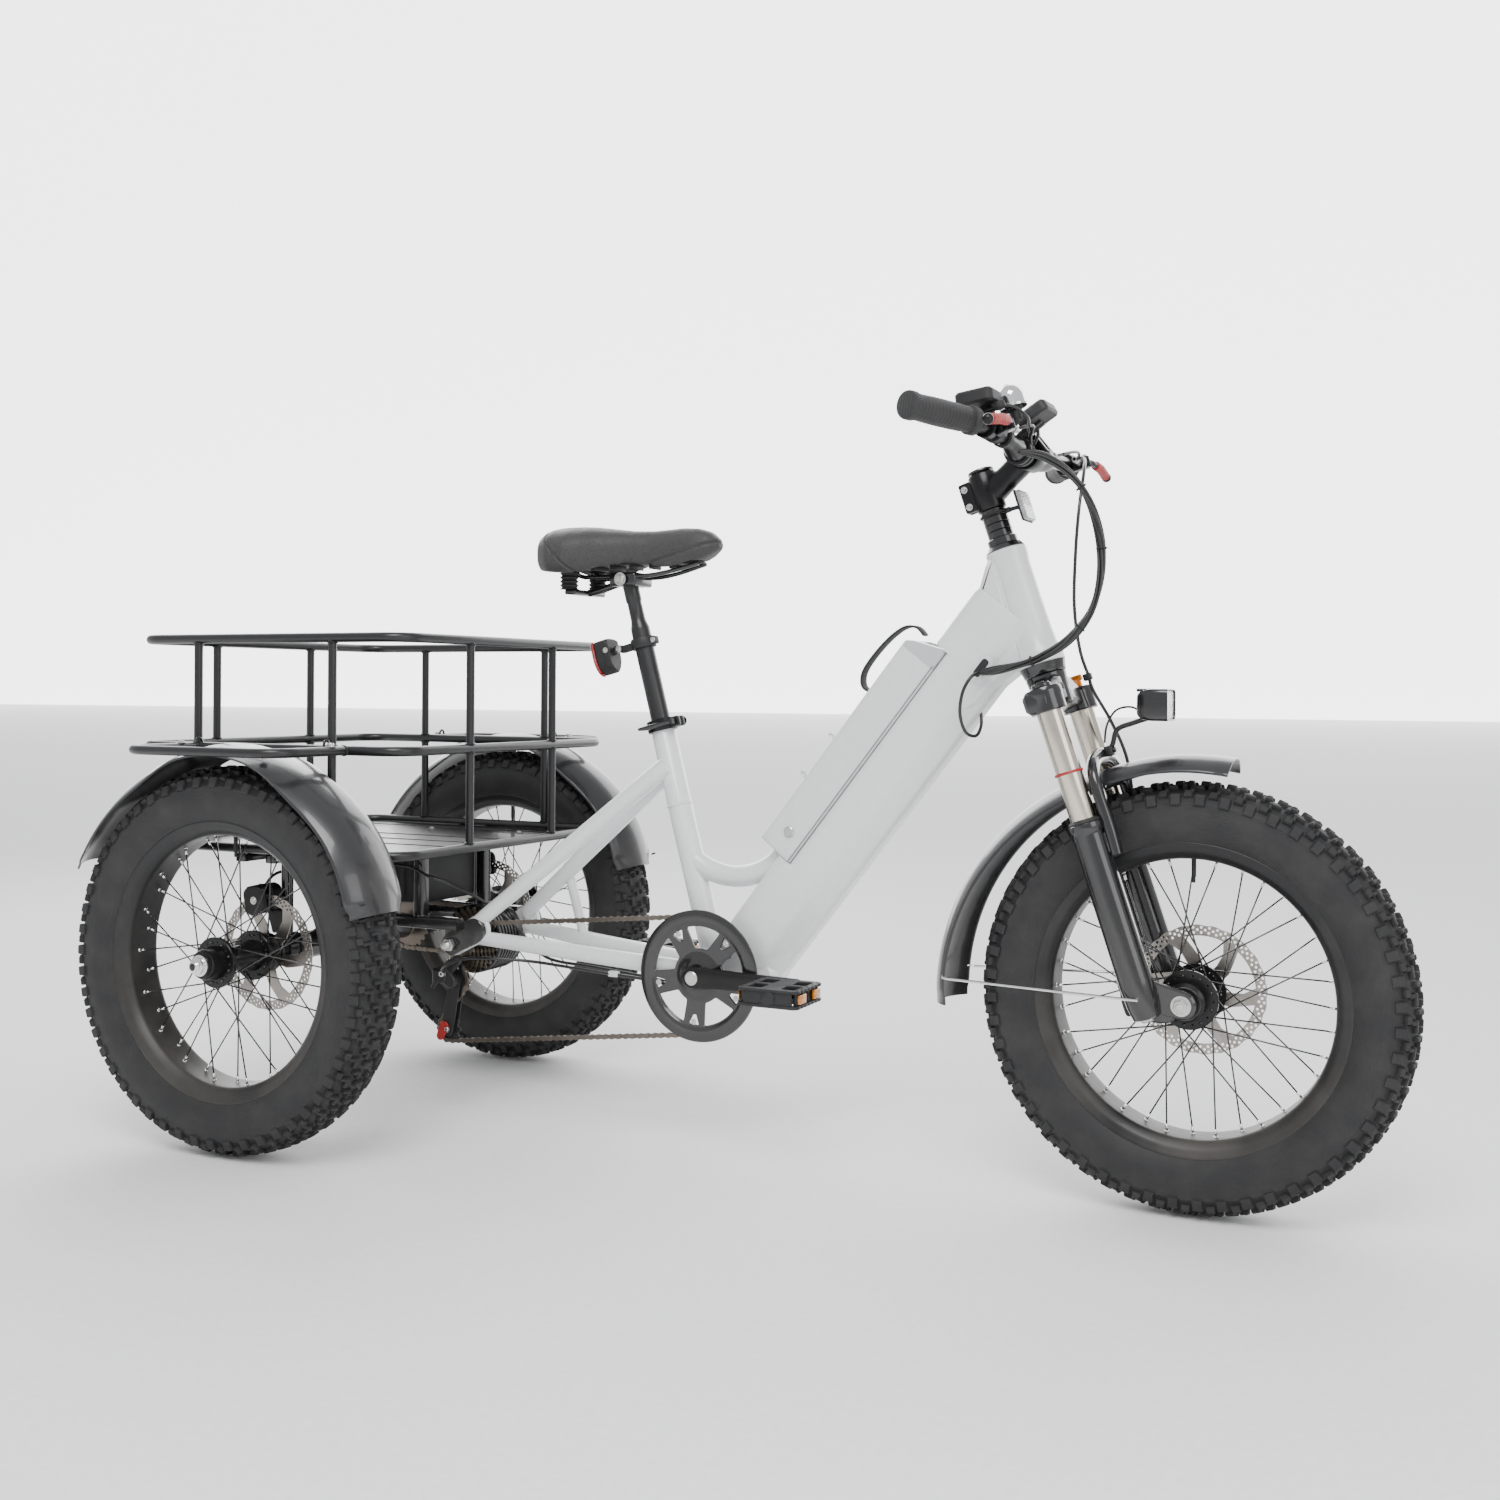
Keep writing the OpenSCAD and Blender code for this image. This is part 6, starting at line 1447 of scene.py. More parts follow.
# %% Seat post and tail light
post = turned([(0, 292), (15, 292), (15, 545), (14.6, 549), (12.6, 556), (11.6, 562), (11.2, 590),
    (12.5, 592), (12.5, 625), (0, 625)], axis="z", n=40)
piece("seat_post_tube", post, "seat", black_coat, "seat_post", seated)
shield = rolled([(-20, 22), (-20, -12), (-12, -28), (0, -34), (12, -28), (20, -12), (20, 22), (0, 24)], 7,
    4)
# How far up the post the tail light is
LAMP_S = 523
lamp_body = plate(shield + [0, LAMP_S], -80, -55, "x", 3)
lamp_lens = plate(shield * 1.02 + [0, LAMP_S], -86, -80.5, "x", 2.2)
band = turned([(15.2, LAMP_S - 8), (19, LAMP_S - 8), (19.6, LAMP_S - 7), (19.6, LAMP_S + 7),
    (19, LAMP_S + 8), (15.2, LAMP_S + 8)], axis="z", closed=True, n=36)
arm_light = joined(soft_box((-40, -6, LAMP_S - 6), (-16, 6, LAMP_S + 6), 2.5),
    tube([(-38, 0, LAMP_S), (-48, 0, LAMP_S + 4), (-56, 0, LAMP_S)], 6, 14, 4),
    soft_box((-64, -21.5, LAMP_S - 22), (-52, -18.6, LAMP_S + 14), 1.3), soft_box((16, -7, LAMP_S - 6),
    (25, 7, LAMP_S + 6), 2))
piece("tail_light_housing", joined(lamp_body, band, arm_light), "seat", matte_black,
    "tail_light", seated)
piece("tail_light_lens", lamp_lens, "seat", red_lens, place=seated)
piece("tail_light_screws", joined(bolt((-58, -21.4, LAMP_S + 4), "y", 3, 2.4, -1),
    bolt((-44, -6, LAMP_S + 2), "y", 4, 3, -1), bolt((21, -7, LAMP_S), "y", 3, 3, -1)), "seat", steel,
    place=seated)
print("seat done,", len(made), "pieces")

# %% [markdown]
# ## The suspension fork
# The crown carries two champagne tubes. The black lower legs slide on them, so the legs, arch,
# wheel, fender and headlight all ride on the lower body and rise together when the fork is pressed.

# %% Crown, stanchions and steerer
LEG = np.array([12, 83])
crown_plate = rolled([(-107, 421), (-59, 426), (-30, 432), (0, 435), (30, 432), (59, 426), (107, 421),
    (108, 448), (96, 453.2), (70, 454), (36, 470), (28, 473), (-28, 473), (-36, 470), (-70, 454),
    (-96, 453.2), (-108, 448)], 9, 4)
crown = plate(crown_plate, -14, 24, "x", 5)
neck_up = turned([(14.5, 432), (26, 432), (27, 434), (27, 455), (29, 474), (29, 476.6), (27.6, 477.6),
    (14.5, 477.6)], axis="z", closed=True, n=48)
sleeve = turned([(18.1, 420), (24, 420), (25.2, 421.6), (25.2, 440), (26, 443), (26, 449), (24.6, 453),
    (18.1, 453)], (12, 83, 0), "z", 44, True)
top_cap = turned([(0, 451), (17.9, 451), (17.9, 453), (0, 453)], (12, 83, 0), "z", 32)
crown_all = joined(crown, neck_up, mirrored(sleeve), mirrored(top_cap))
piece("fork_crown_forging", crown_all, "steer", black_gloss, "fork_crown", steered)
steerer = turned([(11.8, 430), (14.3, 430), (14.3, 783), (11.8, 783)], axis="z", closed=True, n=36)
piece("steerer_tube", steerer, "steer", black_anodised, place=steered)
stanchion = turned([(14.8, 118), (17.6, 118), (18, 118.6), (18, 424), (14.8, 424)], (12, 83, 0), "z", 40,
    True)
piece("fork_stanchions", mirrored(stanchion), "steer", legs_metal, place=steered)
air_cap = turned([(0, 453.1), (13, 453.1), (13.6, 454.2), (13.6, 459), (12, 461), (5, 461.4), (5, 463),
    (0, 463.2)], (12, -83, 0), "z", 32)
piece("right_leg_cap", air_cap, "steer", black_gloss, place=steered)
travel_ring = turned([(18, 332), (19.6, 332.4), (20.2, 334), (19.6, 335.6), (18, 336)], (12, -83, 0), "z",
    36, True)
piece("travel_o_ring", travel_ring, "steer", red_rubber, place=steered)
knob_ridges = polar(12.2 + 0.8
    * np.tanh(3 * np.cos(14 * np.radians(np.linspace(0, 360, 112, endpoint=False)))),
    np.linspace(0, 360, 112, endpoint=False))
knob = joined(plate(knob_ridges + LEG, 453.5, 464.5, "z", 0.9),
    plate(rolled([(-4, 79.6), (28, 79.6), (28, 86.4), (-4, 86.4)], 3, 3), 463, 471.4, "z", 1.2))
piece("lockout_dial", knob, "lockout", orange_metal, "lockout_knob", steered)
print("crown and stanchions done,", len(made), "pieces")

# %% [markdown]
# The lower legs are hollow from the top down to the slider's depth, so the stanchions can come down
# into them. The arch is one tube with a flattened section, and each dropout is a plate between two
# circles and their tangents.

# %% Lower legs, arch and dropouts
leg_profile = [(18.3, 54), (18.3, 263.6), (22, 264), (24.3, 262.4), (24.6, 258), (24.3, 253.6),
    (23.2, 251.6), (22.6, 246), (22.8, 160), (23, 44), (21.6, 14), (18.4, -3), (16, -4.6), (0, -4.6),
    (0, 54)]
leg = turned(leg_profile, (12, 83, 0), "z", 48)
foot_cap = turned([(0, -4.6), (9, -4.6), (9, -7.6), (7.6, -9), (4, -9), (4, -7), (0, -7)][::-1],
    (12, 83, 0), "z", 24)
dropout = strap_plate((59, 0), (12, 27), 19, 22, 68, 80, 2.6)
dropout = joined(dropout,
    plate(rolled([(-8, 44), (28, 44), (30, 6), (50, -14), (34, -18), (0, -6), (-10, 10)], 6, 3), 70, 79,
    edge=2))
arch_section = section(1, 1.25, 2.6, 20)
arch = tube([(41, 82, 212), (42, 80, 250), (41, 77, 306), (40.5, 64, 330), (40, 36, 342), (40, 0, 346),
    (40, -36, 342), (40.5, -64, 330), (41, -77, 306), (42, -80, 250), (41, -82, 212)],
    [8.4, 8.8, 8, 8, 8, 9.5, 8, 8, 8, 8.8, 8.4], steps=8, outline=arch_section, across=(1, 0, 0))
brace_pads = mirrored(soft_box((26, 73, 214), (46, 90, 246), 6))
piece("fork_lower_legs", joined(mirrored(leg), mirrored(dropout), arch, brace_pads), "lowers", black_gloss,
    "fork_lowers", steered)
piece("fork_foot_bolts", mirrored(foot_cap), "lowers", steel, place=steered)
wiper = turned([(18.3, 263), (22.4, 263), (23, 265), (21, 267.6), (18.7, 268.6), (18.3, 268.6)],
    (12, 83, 0), "z", 40, True)
piece("fork_wiper_seals", mirrored(wiper), "lowers", grip_skin, place=steered)
axle_nut = turned([(0, 80), (12, 80), (12, 81.4), (9.6, 82), (9.6, 89), (8.4, 90), (0, 90)], (59, 0, 0),
    n=6)
washer = turned([(6, 79.6), (13.4, 79.6), (13.4, 81.2), (6, 81.2)], (59, 0, 0), closed=True, n=32)
front_axle_rod = turned([(0, -92.4), (4.6, -92.4), (5.4, -91.6), (5.4, 91.6), (4.6, 92.4), (0, 92.4)],
    (59, 0, 0), n=24)
piece("front_axle_nuts", joined(mirrored(axle_nut), mirrored(washer), front_axle_rod), "lowers", steel,
    place=steered)
print("lower legs done,", len(made), "pieces")

# %% [markdown]
# The headlight hangs ahead of the crown on a bent rod. Its housing is rows of one rounded outline,
# scaled row by row, and its glass covers two small bowls.

# %% Headlight
lamp_arm = joined(tube([(49, 0, 348), (60, 0, 356), (73, 0, 374), (96, 0, 376), (118, 0, 376)], 3.6, 12, 6),
    soft_box((48.4, -9, 342), (59, 9, 356.4), 2), bolt((59, 0, 349), "x", 4, 4))
piece("headlight_bracket", lamp_arm, "lowers", black_coat, place=steered)


# The headlight stands level, so its frame undoes the steering axis's lean
lamp_frame = turned_frame((134, 0, 390), 18.6)
wide = rolled([(-28, -22), (28, -22), (28, 22), (-28, 22)], 7, 4)


def yz_rows(rows, outline):
    """Rows of the same outline in the cross plane, scaled by k at each place x."""
    points = np.stack([np.concatenate([np.full((len(outline), 1), x), outline * k], 1) for x, k in rows])
    return grid(points)


housing = yz_rows([(-22, 0.62), (-20, 0.74), (-14, 0.9), (-4, 0.985), (0, 1), (19.4, 1), (21.4, 0.985),
    (21.8, 0.95), (21.4, 0.9), (18.6, 0.88)], wide)
fins = [soft_box((-21 + 5 * k, -24 + 0.6 * k, 18), (-18.8 + 5 * k, 24, 22.4), 0.9) for k in range(3)]
visor = plate(rolled([(4, -27), (28, -25), (31, -18), (31, 18), (28, 25), (4, 27)], 5, 3), 20.6, 22.6, "z",
    0.7)
piece("headlight_housing", joined(housing, *fins), "lowers", black_gloss, "headlight", lamp_frame)
piece("headlight_glass", yz_rows([(17.6, 0.87), (18.8, 0.87), (19.6, 0.85)], wide), "lowers", clear_lens,
    place=lamp_frame)
bowl = turned([(0, 16.2), (7, 16.4), (15, 18.0), (15.6, 18.2), (0, 18.2)][::-1], axis="x", n=36)
reflector_bowls = [moved(bowl, (1.2, s * 11.5, 0)) for s in (-1, 1)]
piece("headlight_bowls", joined(*reflector_bowls), "lowers", bell_metal, place=lamp_frame)
print("headlight done,", len(made), "pieces")

# %% [markdown]
# The front caliper holds both sides of its rotor. Two plates, a bridge over the rotor's edge and a
# round piston cap make it.

# %% Front brake caliper
caliper_low = plate(rolled([(-52, -12), (-12, -12), (-12, 38), (-30, 40), (-48, 30), (-52, 14)], 7, 3),
    43.4, 52, edge=2)
caliper_top = plate(rolled([(-50, -10), (-12, -10), (-12, 36), (-30, 38), (-47, 28), (-50, 14)], 7, 3), 58,
    72, edge=3)
bridge = soft_box((-51, 44, 22), (-34, 70, 38), 4)
piston = turned([(0, 71), (11, 71), (11.6, 72.2), (10.4, 74.4), (4.4, 74.6), (4.4, 73.4), (0, 73.4)],
    (-28, 0, 12), n=32)
tang = soft_box((-16, 60, -6), (-8.6, 72, 30), 3)
piece("front_caliper_body", joined(caliper_low, caliper_top, bridge, tang), "lowers", black_anodised,
    "front_caliper", steered)
piece("front_caliper_fittings", joined(piston, bolt((-46, 71.6, 22), "y", 3.2, 3),
    bolt((-44, 71.6, -2), "y", 3.2, 3), bolt((-12, 71, 28), "y", 3.6, 3)), "lowers", steel, place=steered)

# %% [markdown]
# ## Stem, handlebar and controls
# The stem stands on five ring spacers, with a gap line between each. The bar is one swept tube:
# thick in the clamp, thinner outside it, and bent back and up to the grips.

# %% Spacers, stem and cap
high = (726 - 672.4) / 5
ring_rows = [turned([(14.5, z), (r - 0.8, z), (r, z + 0.7), (r, z + high - 1.1), (r - 0.8, z + high - 0.4),
    (14.5, z + high - 0.4)], axis="z", closed=True, n=48) for z,
    r in [(672.4 + k * high, 21.5 if k == 0 else 18.4) for k in range(5)]]
piece("stem_spacers", joined(*ring_rows), "steer", black_gloss, place=steered)
collar_rows = turned([(14.6, 726.4), (20, 726.4), (21, 728), (21, 778), (20, 779.8), (14.6, 779.8)],
    axis="z", closed=True, n=56)
pinch = [soft_box((-36, y, 732), (-14, y + 10, 776), 3) for y in (-11.4, 1.4)]
arm_stem = tube([(0, 0, 749), (14, 0, 753), (38, 0, 764), (60, 0, 774), (72, 0, 779)],
    [19, 18, 16.4, 16.6, 17.4], steps=5, outline=section(1, 1.06, 2.6, 28))
clamp_ring = turned([(16.1, -21.6), (21, -21.6), (22, -20), (22, 20), (21, 21.6), (16.1, 21.6)],
    (74, 0, 780), n=56, closed=True)


face_frame = turned_frame((74, 0, 780), -20)
face_plate = joined(soft_box((16, -20.8, -26), (27.6, 20.8, -14), 3),
    soft_box((16, -20.8, 14), (27.6, 20.8, 26), 3), soft_box((20.6, -20.8, -18), (27.8, -8, 18), 2),
    soft_box((20.6, 8, -18), (27.8, 20.8, 18), 2))
piece("stem_body", joined(collar_rows, *pinch, arm_stem, clamp_ring), "steer", black_anodised,
    "stem", steered)
piece("stem_face_plate", face_plate, "steer", black_anodised, place=face_frame)
piece("stem_face_bolts", joined(*[bolt((27.4, y, z), "x", 3, 2.4) for y in (-14, 14) for z in (-20, 20)]),
    "steer", steel, place=face_frame)
pinch_bolts = [joined(bolt((-28, -11.4, z), "y", 3.4, 3.6, -1), bolt((-28, 11.4, z), "y", 3.4, 3, 1))
    for z in (740, 766)]
cap_rows = turned([(0, 783.2), (18.4, 783.2), (19, 784), (18.6, 786.2), (16, 787.2), (4.5, 787.4),
    (4.5, 785.6), (0, 785.6)], axis="z", n=48)
piece("stem_pinch_bolts", joined(*pinch_bolts), "steer", silver, place=steered)
piece("stem_top_cap", cap_rows, "steer", black_gloss, place=steered)
print("stem done,", len(made), "pieces")

# %% [markdown]
# The handlebar's points are listed and joined by a smooth path. The grips are rows of circles along its
# last span, with a swell for the palm and fine ribs.

# %% Handlebar and grips
BAR = np.array([(74, 60, 780), (79, 110, 786), (78, 215, 793), (28, 335, 818)], float)


def bar_point(i, d, off=(0, 0, 0)):
    """d millimetres along span i of the bar, from its inner end."""
    v = BAR[i + 1] - BAR[i]
    return BAR[i] + v * d / np.linalg.norm(v) + np.asarray(off, float)


half_bar = np.concatenate([[(74, 0, 780), (74, 52, 780)], [bar_point(0, 12), bar_point(0, 42)],
    [bar_point(1, 8), bar_point(1, 54), bar_point(1, 92)], [bar_point(2, 10), bar_point(2, 60),
    bar_point(2, 126.5), bar_point(2, 131.8)]])
half_r = np.array([15.9, 15.9, 15.4, 11.8, 11.1, 11.1, 11.1, 11.1, 11.1, 11.1, 11.1])
whole_bar = np.concatenate([half_bar[::-1] * [1, -1, 1], half_bar[1:]])
bar_r = np.interp(np.linspace(0, 1, 6 * (len(whole_bar) - 1) + 1), np.linspace(0, 1, len(whole_bar)),
    np.concatenate([half_r[::-1], half_r[1:]]))
bar_tube = tube(whole_bar, bar_r, 26, 6, across=(0, 0, 1))
piece("handlebar_tube", bar_tube, "steer", black_anodised, "handlebar", steered)


def grip_rows():
    """Radius along the grip = flared collar, 17 + swell for the palm, then the flat end flange."""
    s = np.concatenate([[0, 0.6, 9, 10.4, 12], np.linspace(14, 108, 48), [110, 111, 119, 121.4, 122]])
    swell = 16.2 + 1.3 * np.sin(np.clip((s - 12) / 98, 0, 1) * np.pi) ** 0.8
    ridge = 0.35 * np.maximum(np.cos((s - 12) * 2 * np.pi / 6), 0) * ((s > 13) & (s < 109))
    r = np.where(s < 10, 19 - 0.7 * (s < 0.5), np.where(s > 110.5, 18.6 - 0.8 * (s > 121), swell + ridge))
    r[-1] = 15
    start, v = BAR[2], (BAR[3] - BAR[2]) / np.linalg.norm(BAR[3] - BAR[2])
    centre = start + v * (12 + s)[:, None]
    side = np.cross(v, (0, 0, 1))
    side /= np.linalg.norm(side)
    up = np.cross(side, v)
    a = np.linspace(0, 2 * np.pi, 36, endpoint=False)
    points = centre[:, None] + r[:, None, None] * (np.cos(a)[None, :, None] * side + np.sin(a)[None, :,
        None] * up)
    return grid(points)


piece("handlebar_grips", mirrored(grip_rows()), "steer", grip_skin, "grips", steered)
print("handlebar done,", len(made), "pieces")

# %% [markdown]
# The controls each sit on their own clamp. The brake levers have ribbed red sleeves, the shifter
# has a small paddle under the bar, and the bell's striker is an arm that flicks against its dome.

# %% Display, bell and front reflector
strap_rings = [turned([(16, y0), (19.4, y0), (20, y0 + 0.8), (20, y1 - 0.8), (19.4, y1), (16, y1)],
    (74, 0, 780), closed=True, n=40) for y0, y1 in ((-43, -33), (-57, -48))]
necks = [plate(rolled([(70, 797), (86, 794), (120, 805), (108, 814)], 3, 3), y0, y1, edge=1) for y0,
    y1 in ((-43, -33), (-57, -48))]


screen_frame = turned_frame((114, 0, 816), -14)
screen_case = plate(rolled([(-24, -84), (24, -84), (24, -22), (-24, -22)], 9, 5), -9, 8, "z", 3)
screen = plate(rolled([(-18.6, -78), (19, -78), (19, -28), (-18.6, -28)], 5, 4), 7.4, 9.2, "z", 0.8)
piece("display_case", screen_case, "steer", matte_black, "display", screen_frame)
piece("display_glass", screen, "steer", black_gloss, place=screen_frame)
piece("display_straps", joined(*strap_rings, *necks), "steer", matte_black, place=steered)
piece("display_screws", joined(*[bolt((97, y, 800), "x", 2.6, 2.6, 1) for y in (-38, -52.5)]), "steer",
    steel, place=steered)

bell = np.array([104.7, -128, 817.2])
dome_a = np.radians(np.linspace(0, 88, 14))
dome = turned([(19, 0), (19.2, 1.2), (19.6, 2.6), (18.8, 3.2), (18.6, 13),
    *[(18.9 * math.cos(a), 14 + 19 * math.sin(a)) for a in dome_a[1:]], (0, 33.2), (0, 0)], bell, "z", 56)
nub = turned([(0, 32.4), (4.2, 32.4), (4.2, 33), (3, 34), (0, 34.2)], bell, "z", 20)
piece("bell_dome", joined(dome, nub), "steer", bell_metal, "bell", steered)
stalk = joined(tube([(78.7, -128, 787.2), (92, -128, 794), (101, -128, 800), (104.7, -128, 804)],
    [7, 6, 5.6, 5], 14, 5), turned([(0, -18), (7, -18), (8, -17), (8, -4.2), (7, -3.8), (4.9, -3.8),
    (4.9, 1.2), (0, 1.2)], bell, "z", 28),
    turned([(11.4, -134), (14.6, -134), (15.2, -133.2), (15.2, -122.8), (14.6, -122), (11.4, -122)],
    (78.7, 0, 787.2), closed=True, n=36))
piece("bell_stalk", stalk, "steer", matte_black, place=steered)
flick = joined(turned([(5.1, -3.3), (11.4, -3.3), (12, -2.6), (12, -1), (11.4, -0.4), (5.1, -0.4)], bell,
    "z", 30, True), tube([(bell[0] - 9, -128, bell[2] - 1.9), (bell[0] - 22, -128, bell[2] - 1.9),
    (bell[0] - 31, -128, bell[2] - 0.4), (bell[0] - 32, -128, bell[2] + 10)], [3.4, 3, 2.6, 3], 12, 5),
    soft_box((bell[0] - 34.6, -132.6, bell[2] + 4), (bell[0] - 29.4, -123.4, bell[2] + 13), 1.8))
piece("bell_flick_arm", flick, "striker", matte_black, "bell_striker", steered)

ring = turned([(18.6, 717.4), (20.6, 717.4), (21.2, 718), (21.2, 719.6), (20.6, 720), (18.6, 720)],
    axis="z", closed=True, n=40)
holder = joined(ring, tube([(20, 0, 718.6), (30, 0, 717.6), (44, 0, 716)], [3.4, 3, 3.4], 12, 4),
    soft_box((12, -5, 715), (26, 5, 722), 1.6))
piece("reflector_bracket", holder, "steer", matte_black, place=steered)


def lens_frame(half_width, margin):
    """The reflector's outline, with rounded corners, less a margin above and below."""
    low, high = 692 + margin, 738 - margin
    return rolled([(-half_width, low), (half_width, low), (half_width, high), (-half_width, high)], 5, 4)


piece("front_reflector", plate(lens_frame(22.6, 1.4), 43.4, 50.8, "x", 1), "steer", clear_lens,
    "reflector", steered)
piece("reflector_back", plate(lens_frame(24, 0), 42, 45, "x", 0.8), "steer", matte_black, place=steered)

# %% [markdown]
# Both brake levers are one drawing and its twin. Each blade turns on a pin between the two ears of
# its mount, and a ribbed sleeve covers its outer half.

# %% Brake levers and the shifter
v_bar = (BAR[2] - BAR[1]) / np.linalg.norm(BAR[2] - BAR[1])


def on_bar_ring(d, length, r, inner=11.3):
    """A clamp ring round the bar: rows along the bar's own direction."""
    side = np.cross(v_bar, (0, 0, 1))
    side /= np.linalg.norm(side)
    up = np.cross(side, v_bar)
    a = np.linspace(0, 2 * np.pi, 32, endpoint=False)
    rows = [(0, inner), (0, r - 0.8), (0.8, r), (length - 0.8, r), (length, r - 0.8), (length, inner)]
    points = np.stack([bar_point(1, d) + v_bar * s + q * (np.cos(a)[:, None] * side + np.sin(a)[:, None]
        * up) for s, q in rows])
    return grid(points, True)


PIVOT = np.array([108, 192, 784.0])
ear = rolled([(86, 178), (110, 183), (116, 196), (104, 200), (88, 194)], 4, 3)
mount = joined(on_bar_ring(76, 14, 16.2), soft_box((88, 180, 775), (99, 190, 793), 3),
    plate(ear, 775, 779, "z", 0.8), plate(ear, 789, 793, "z", 0.8),
    tube([(103, 158, 784), (102, 168, 784), (100, 182, 784)], [4.4, 5.2, 6], 16, 4))
barrels = joined(turned([(2.6, -4), (4.8, -4), (5, -3), (5, 6), (4.4, 7), (2.6, 7)], closed=True, n=20),
    turned([(2.6, -10), (3.6, -10), (3.6, -4), (2.6, -4)], closed=True, n=16))
barrel = moved(barrels, (103.4, 152, 784))
piece("brake_lever_mounts", mirrored(mount), "steer", black_anodised, "brake_mounts",
    steered)
pivot_pin = turned([(0, 773.6), (4.4, 773.6), (4.4, 775), (2.4, 775), (2.4, 793), (4.4, 793), (4.4, 795),
    (3.4, 796), (0, 796)], (108, 192, 0), "z", 18)
piece("brake_lever_hardware", joined(mirrored(pivot_pin), mirrored(barrel)), "steer", steel, place=steered)
blade = joined(turned([(2.7, -4.6), (6.4, -4.6), (7, -4), (7, 4), (6.4, 4.6), (2.7, 4.6)], PIVOT, "z", 28,
    True), tube([PIVOT + [2.6, 5, 0], PIVOT + [5, 16, -1], PIVOT + [6, 30, -3], PIVOT + [6.5, 60, -6],
    PIVOT + [4, 90, -10], PIVOT + [2, 104, -12]], [4.2, 4.4, 4.8, 4.6, 4.4, 4.8], 14, 6))
ball = soft_box(PIVOT + [-5.4, 97, -19.4], PIVOT + [9.4, 111.4, -4.8], 7.2, 5)


def sleeve_rows():
    """Ribbed sleeve: radius = 6.6 + 0.55 |sin| along the lever's outer length."""
    s = np.linspace(0, 1, 66)
    ends = smooth_path([PIVOT + [6, 32, -3.2], PIVOT + [6.6, 58, -6], PIVOT + [4.2, 82, -9],
        PIVOT + [2.6, 96, -11]], 1)
    path = np.stack([np.interp(s, np.linspace(0, 1, 4), ends[:, k]) for k in range(3)], -1)
    r = 6.4 + 0.75 * np.sqrt(abs(np.sin(s * np.pi * 13)))
    r[[0, -1]] = 5.2
    return tube(path, r, 20, 1)


for side, sign in (("left", 1), ("right", -1)):
    piece(side + "_brake_blade", on_side(joined(blade, ball), sign), side + "_brake", black_anodised,
        side + "_brake_lever", steered)
    piece(side + "_brake_sleeve", on_side(sleeve_rows(), sign), side + "_brake", red_rubber, place=steered)

shift_frame = turned_frame((72, 0, 832), 10)
shift_case = plate(rolled([(-22, -206), (30, -206), (30, -152), (-22, -152)], 10, 5), -7.6, 11, "z", 3)
piece("shifter_case", shift_case, "steer", matte_black, "shifter_body", shift_frame)
shift_dial = turned([(0, 10.4), (13, 10.4), (13.6, 11.2), (12.6, 12), (0, 12)], (4, -179, 0), "z", 40)
piece("shifter_window", shift_dial, "steer", black_gloss, place=shift_frame)
ring_mirror = other_side(on_bar_ring(48, 12, 15.6))
piece("shifter_clamp", joined(ring_mirror, soft_box((70, -172, 800), (88, -160, 826), 3)), "steer",
    matte_black, place=steered)
paddle = joined(turned([(0, 0), (8.6, 0), (9, 0.8), (9, 7.4), (8.4, 8), (0, 8)], (100, -182, 810), "z", 30),
    tube([(98, -184, 812.4), (80, -185, 812.4), (58, -185, 812.4)], [4, 3.4, 3], steps=4,
    outline=section(1.1, 0.7, 2.6, 16)), soft_box((48.4, -195.6, 808.4), (56, -174.4, 816.6), 2.4))
piece("shifter_paddle", paddle, "shifter", matte_black, "shifter_lever", steered)
print("controls done,", len(made), "pieces")

# %% [markdown]
# ## Cables
# The CAD model has one thick bundle that stands for several cables. Here the bundle is five thin cables
# laid round the same line, with four ties. It crosses the steering joint, so it is left on no body. The
# long cables under the frame are fixed to it.

# %% The bundle that crosses the steering joint
ROUTE = [(1146, -112, 1026), (1172, -84, 1022), (1200, -52, 1000), (1222, -34, 962), (1236, -28, 912),
    (1238, -32, 862), (1226, -42, 812), (1198, -54, 772), (1160, -62, 748), (1120, -60, 737),
    (1090, -52, 731), (1070, -42, 728)]
BUNDLE_LINE = smooth_path(ROUTE, 8)


def strand(phase, lay, r, turns=1.4):
    """Path = bundle line + lay (cos, sin) across it, with the angle growing along the line."""
    p = BUNDLE_LINE
    t = np.gradient(p, axis=0)
    t /= np.linalg.norm(t, axis=1)[:, None]
    side = np.cross(t, (0, 1, 0))
    side /= np.linalg.norm(side, axis=1)[:, None]
    up = np.cross(side, t)
    u = np.linspace(0, 1, len(p))
    a = phase + turns * 2 * np.pi * u
    spread = lay * (0.8 + 0.35 * np.sin(u * 5 + phase * 3)) * np.sqrt(np.clip(1.0 - (2 * u - 1) ** 8, 0.02,
        1))
    return tube(p + spread[:, None] * (np.cos(a)[:, None] * side + np.sin(a)[:, None] * up), r, 12, 1,
        across=(0.1, 1, 0))


strands = [strand(k * 2 * np.pi / 5, 4.4, 2.35) for k in range(5)]
bundle = piece("handlebar_cable_bundle", joined(*strands), None, cable_sheath, "cable_bundle")
tie_rings = [weld(BUNDLE_LINE[k], BUNDLE_LINE[k + 1] - BUNDLE_LINE[k - 1], 7.0, 1.1, 24) for k in (20, 34,
    52, 66)]
ties = piece("cable_ties", joined(*tie_rings), None, matte_black)
for thing in (bundle, ties):
    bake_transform(thing)

# %% [markdown]
# The other cables stay on one body each, except the lower end of the front brake's hose, which is left on
# no body. Each is a tube along a few given points.

# %% Cables on the handlebar, the fork and the frame
def cable(route, r=2.5, n=12, steps=8):
    return tube(route, r, n, steps, across=(0.1, 1, 0.05))


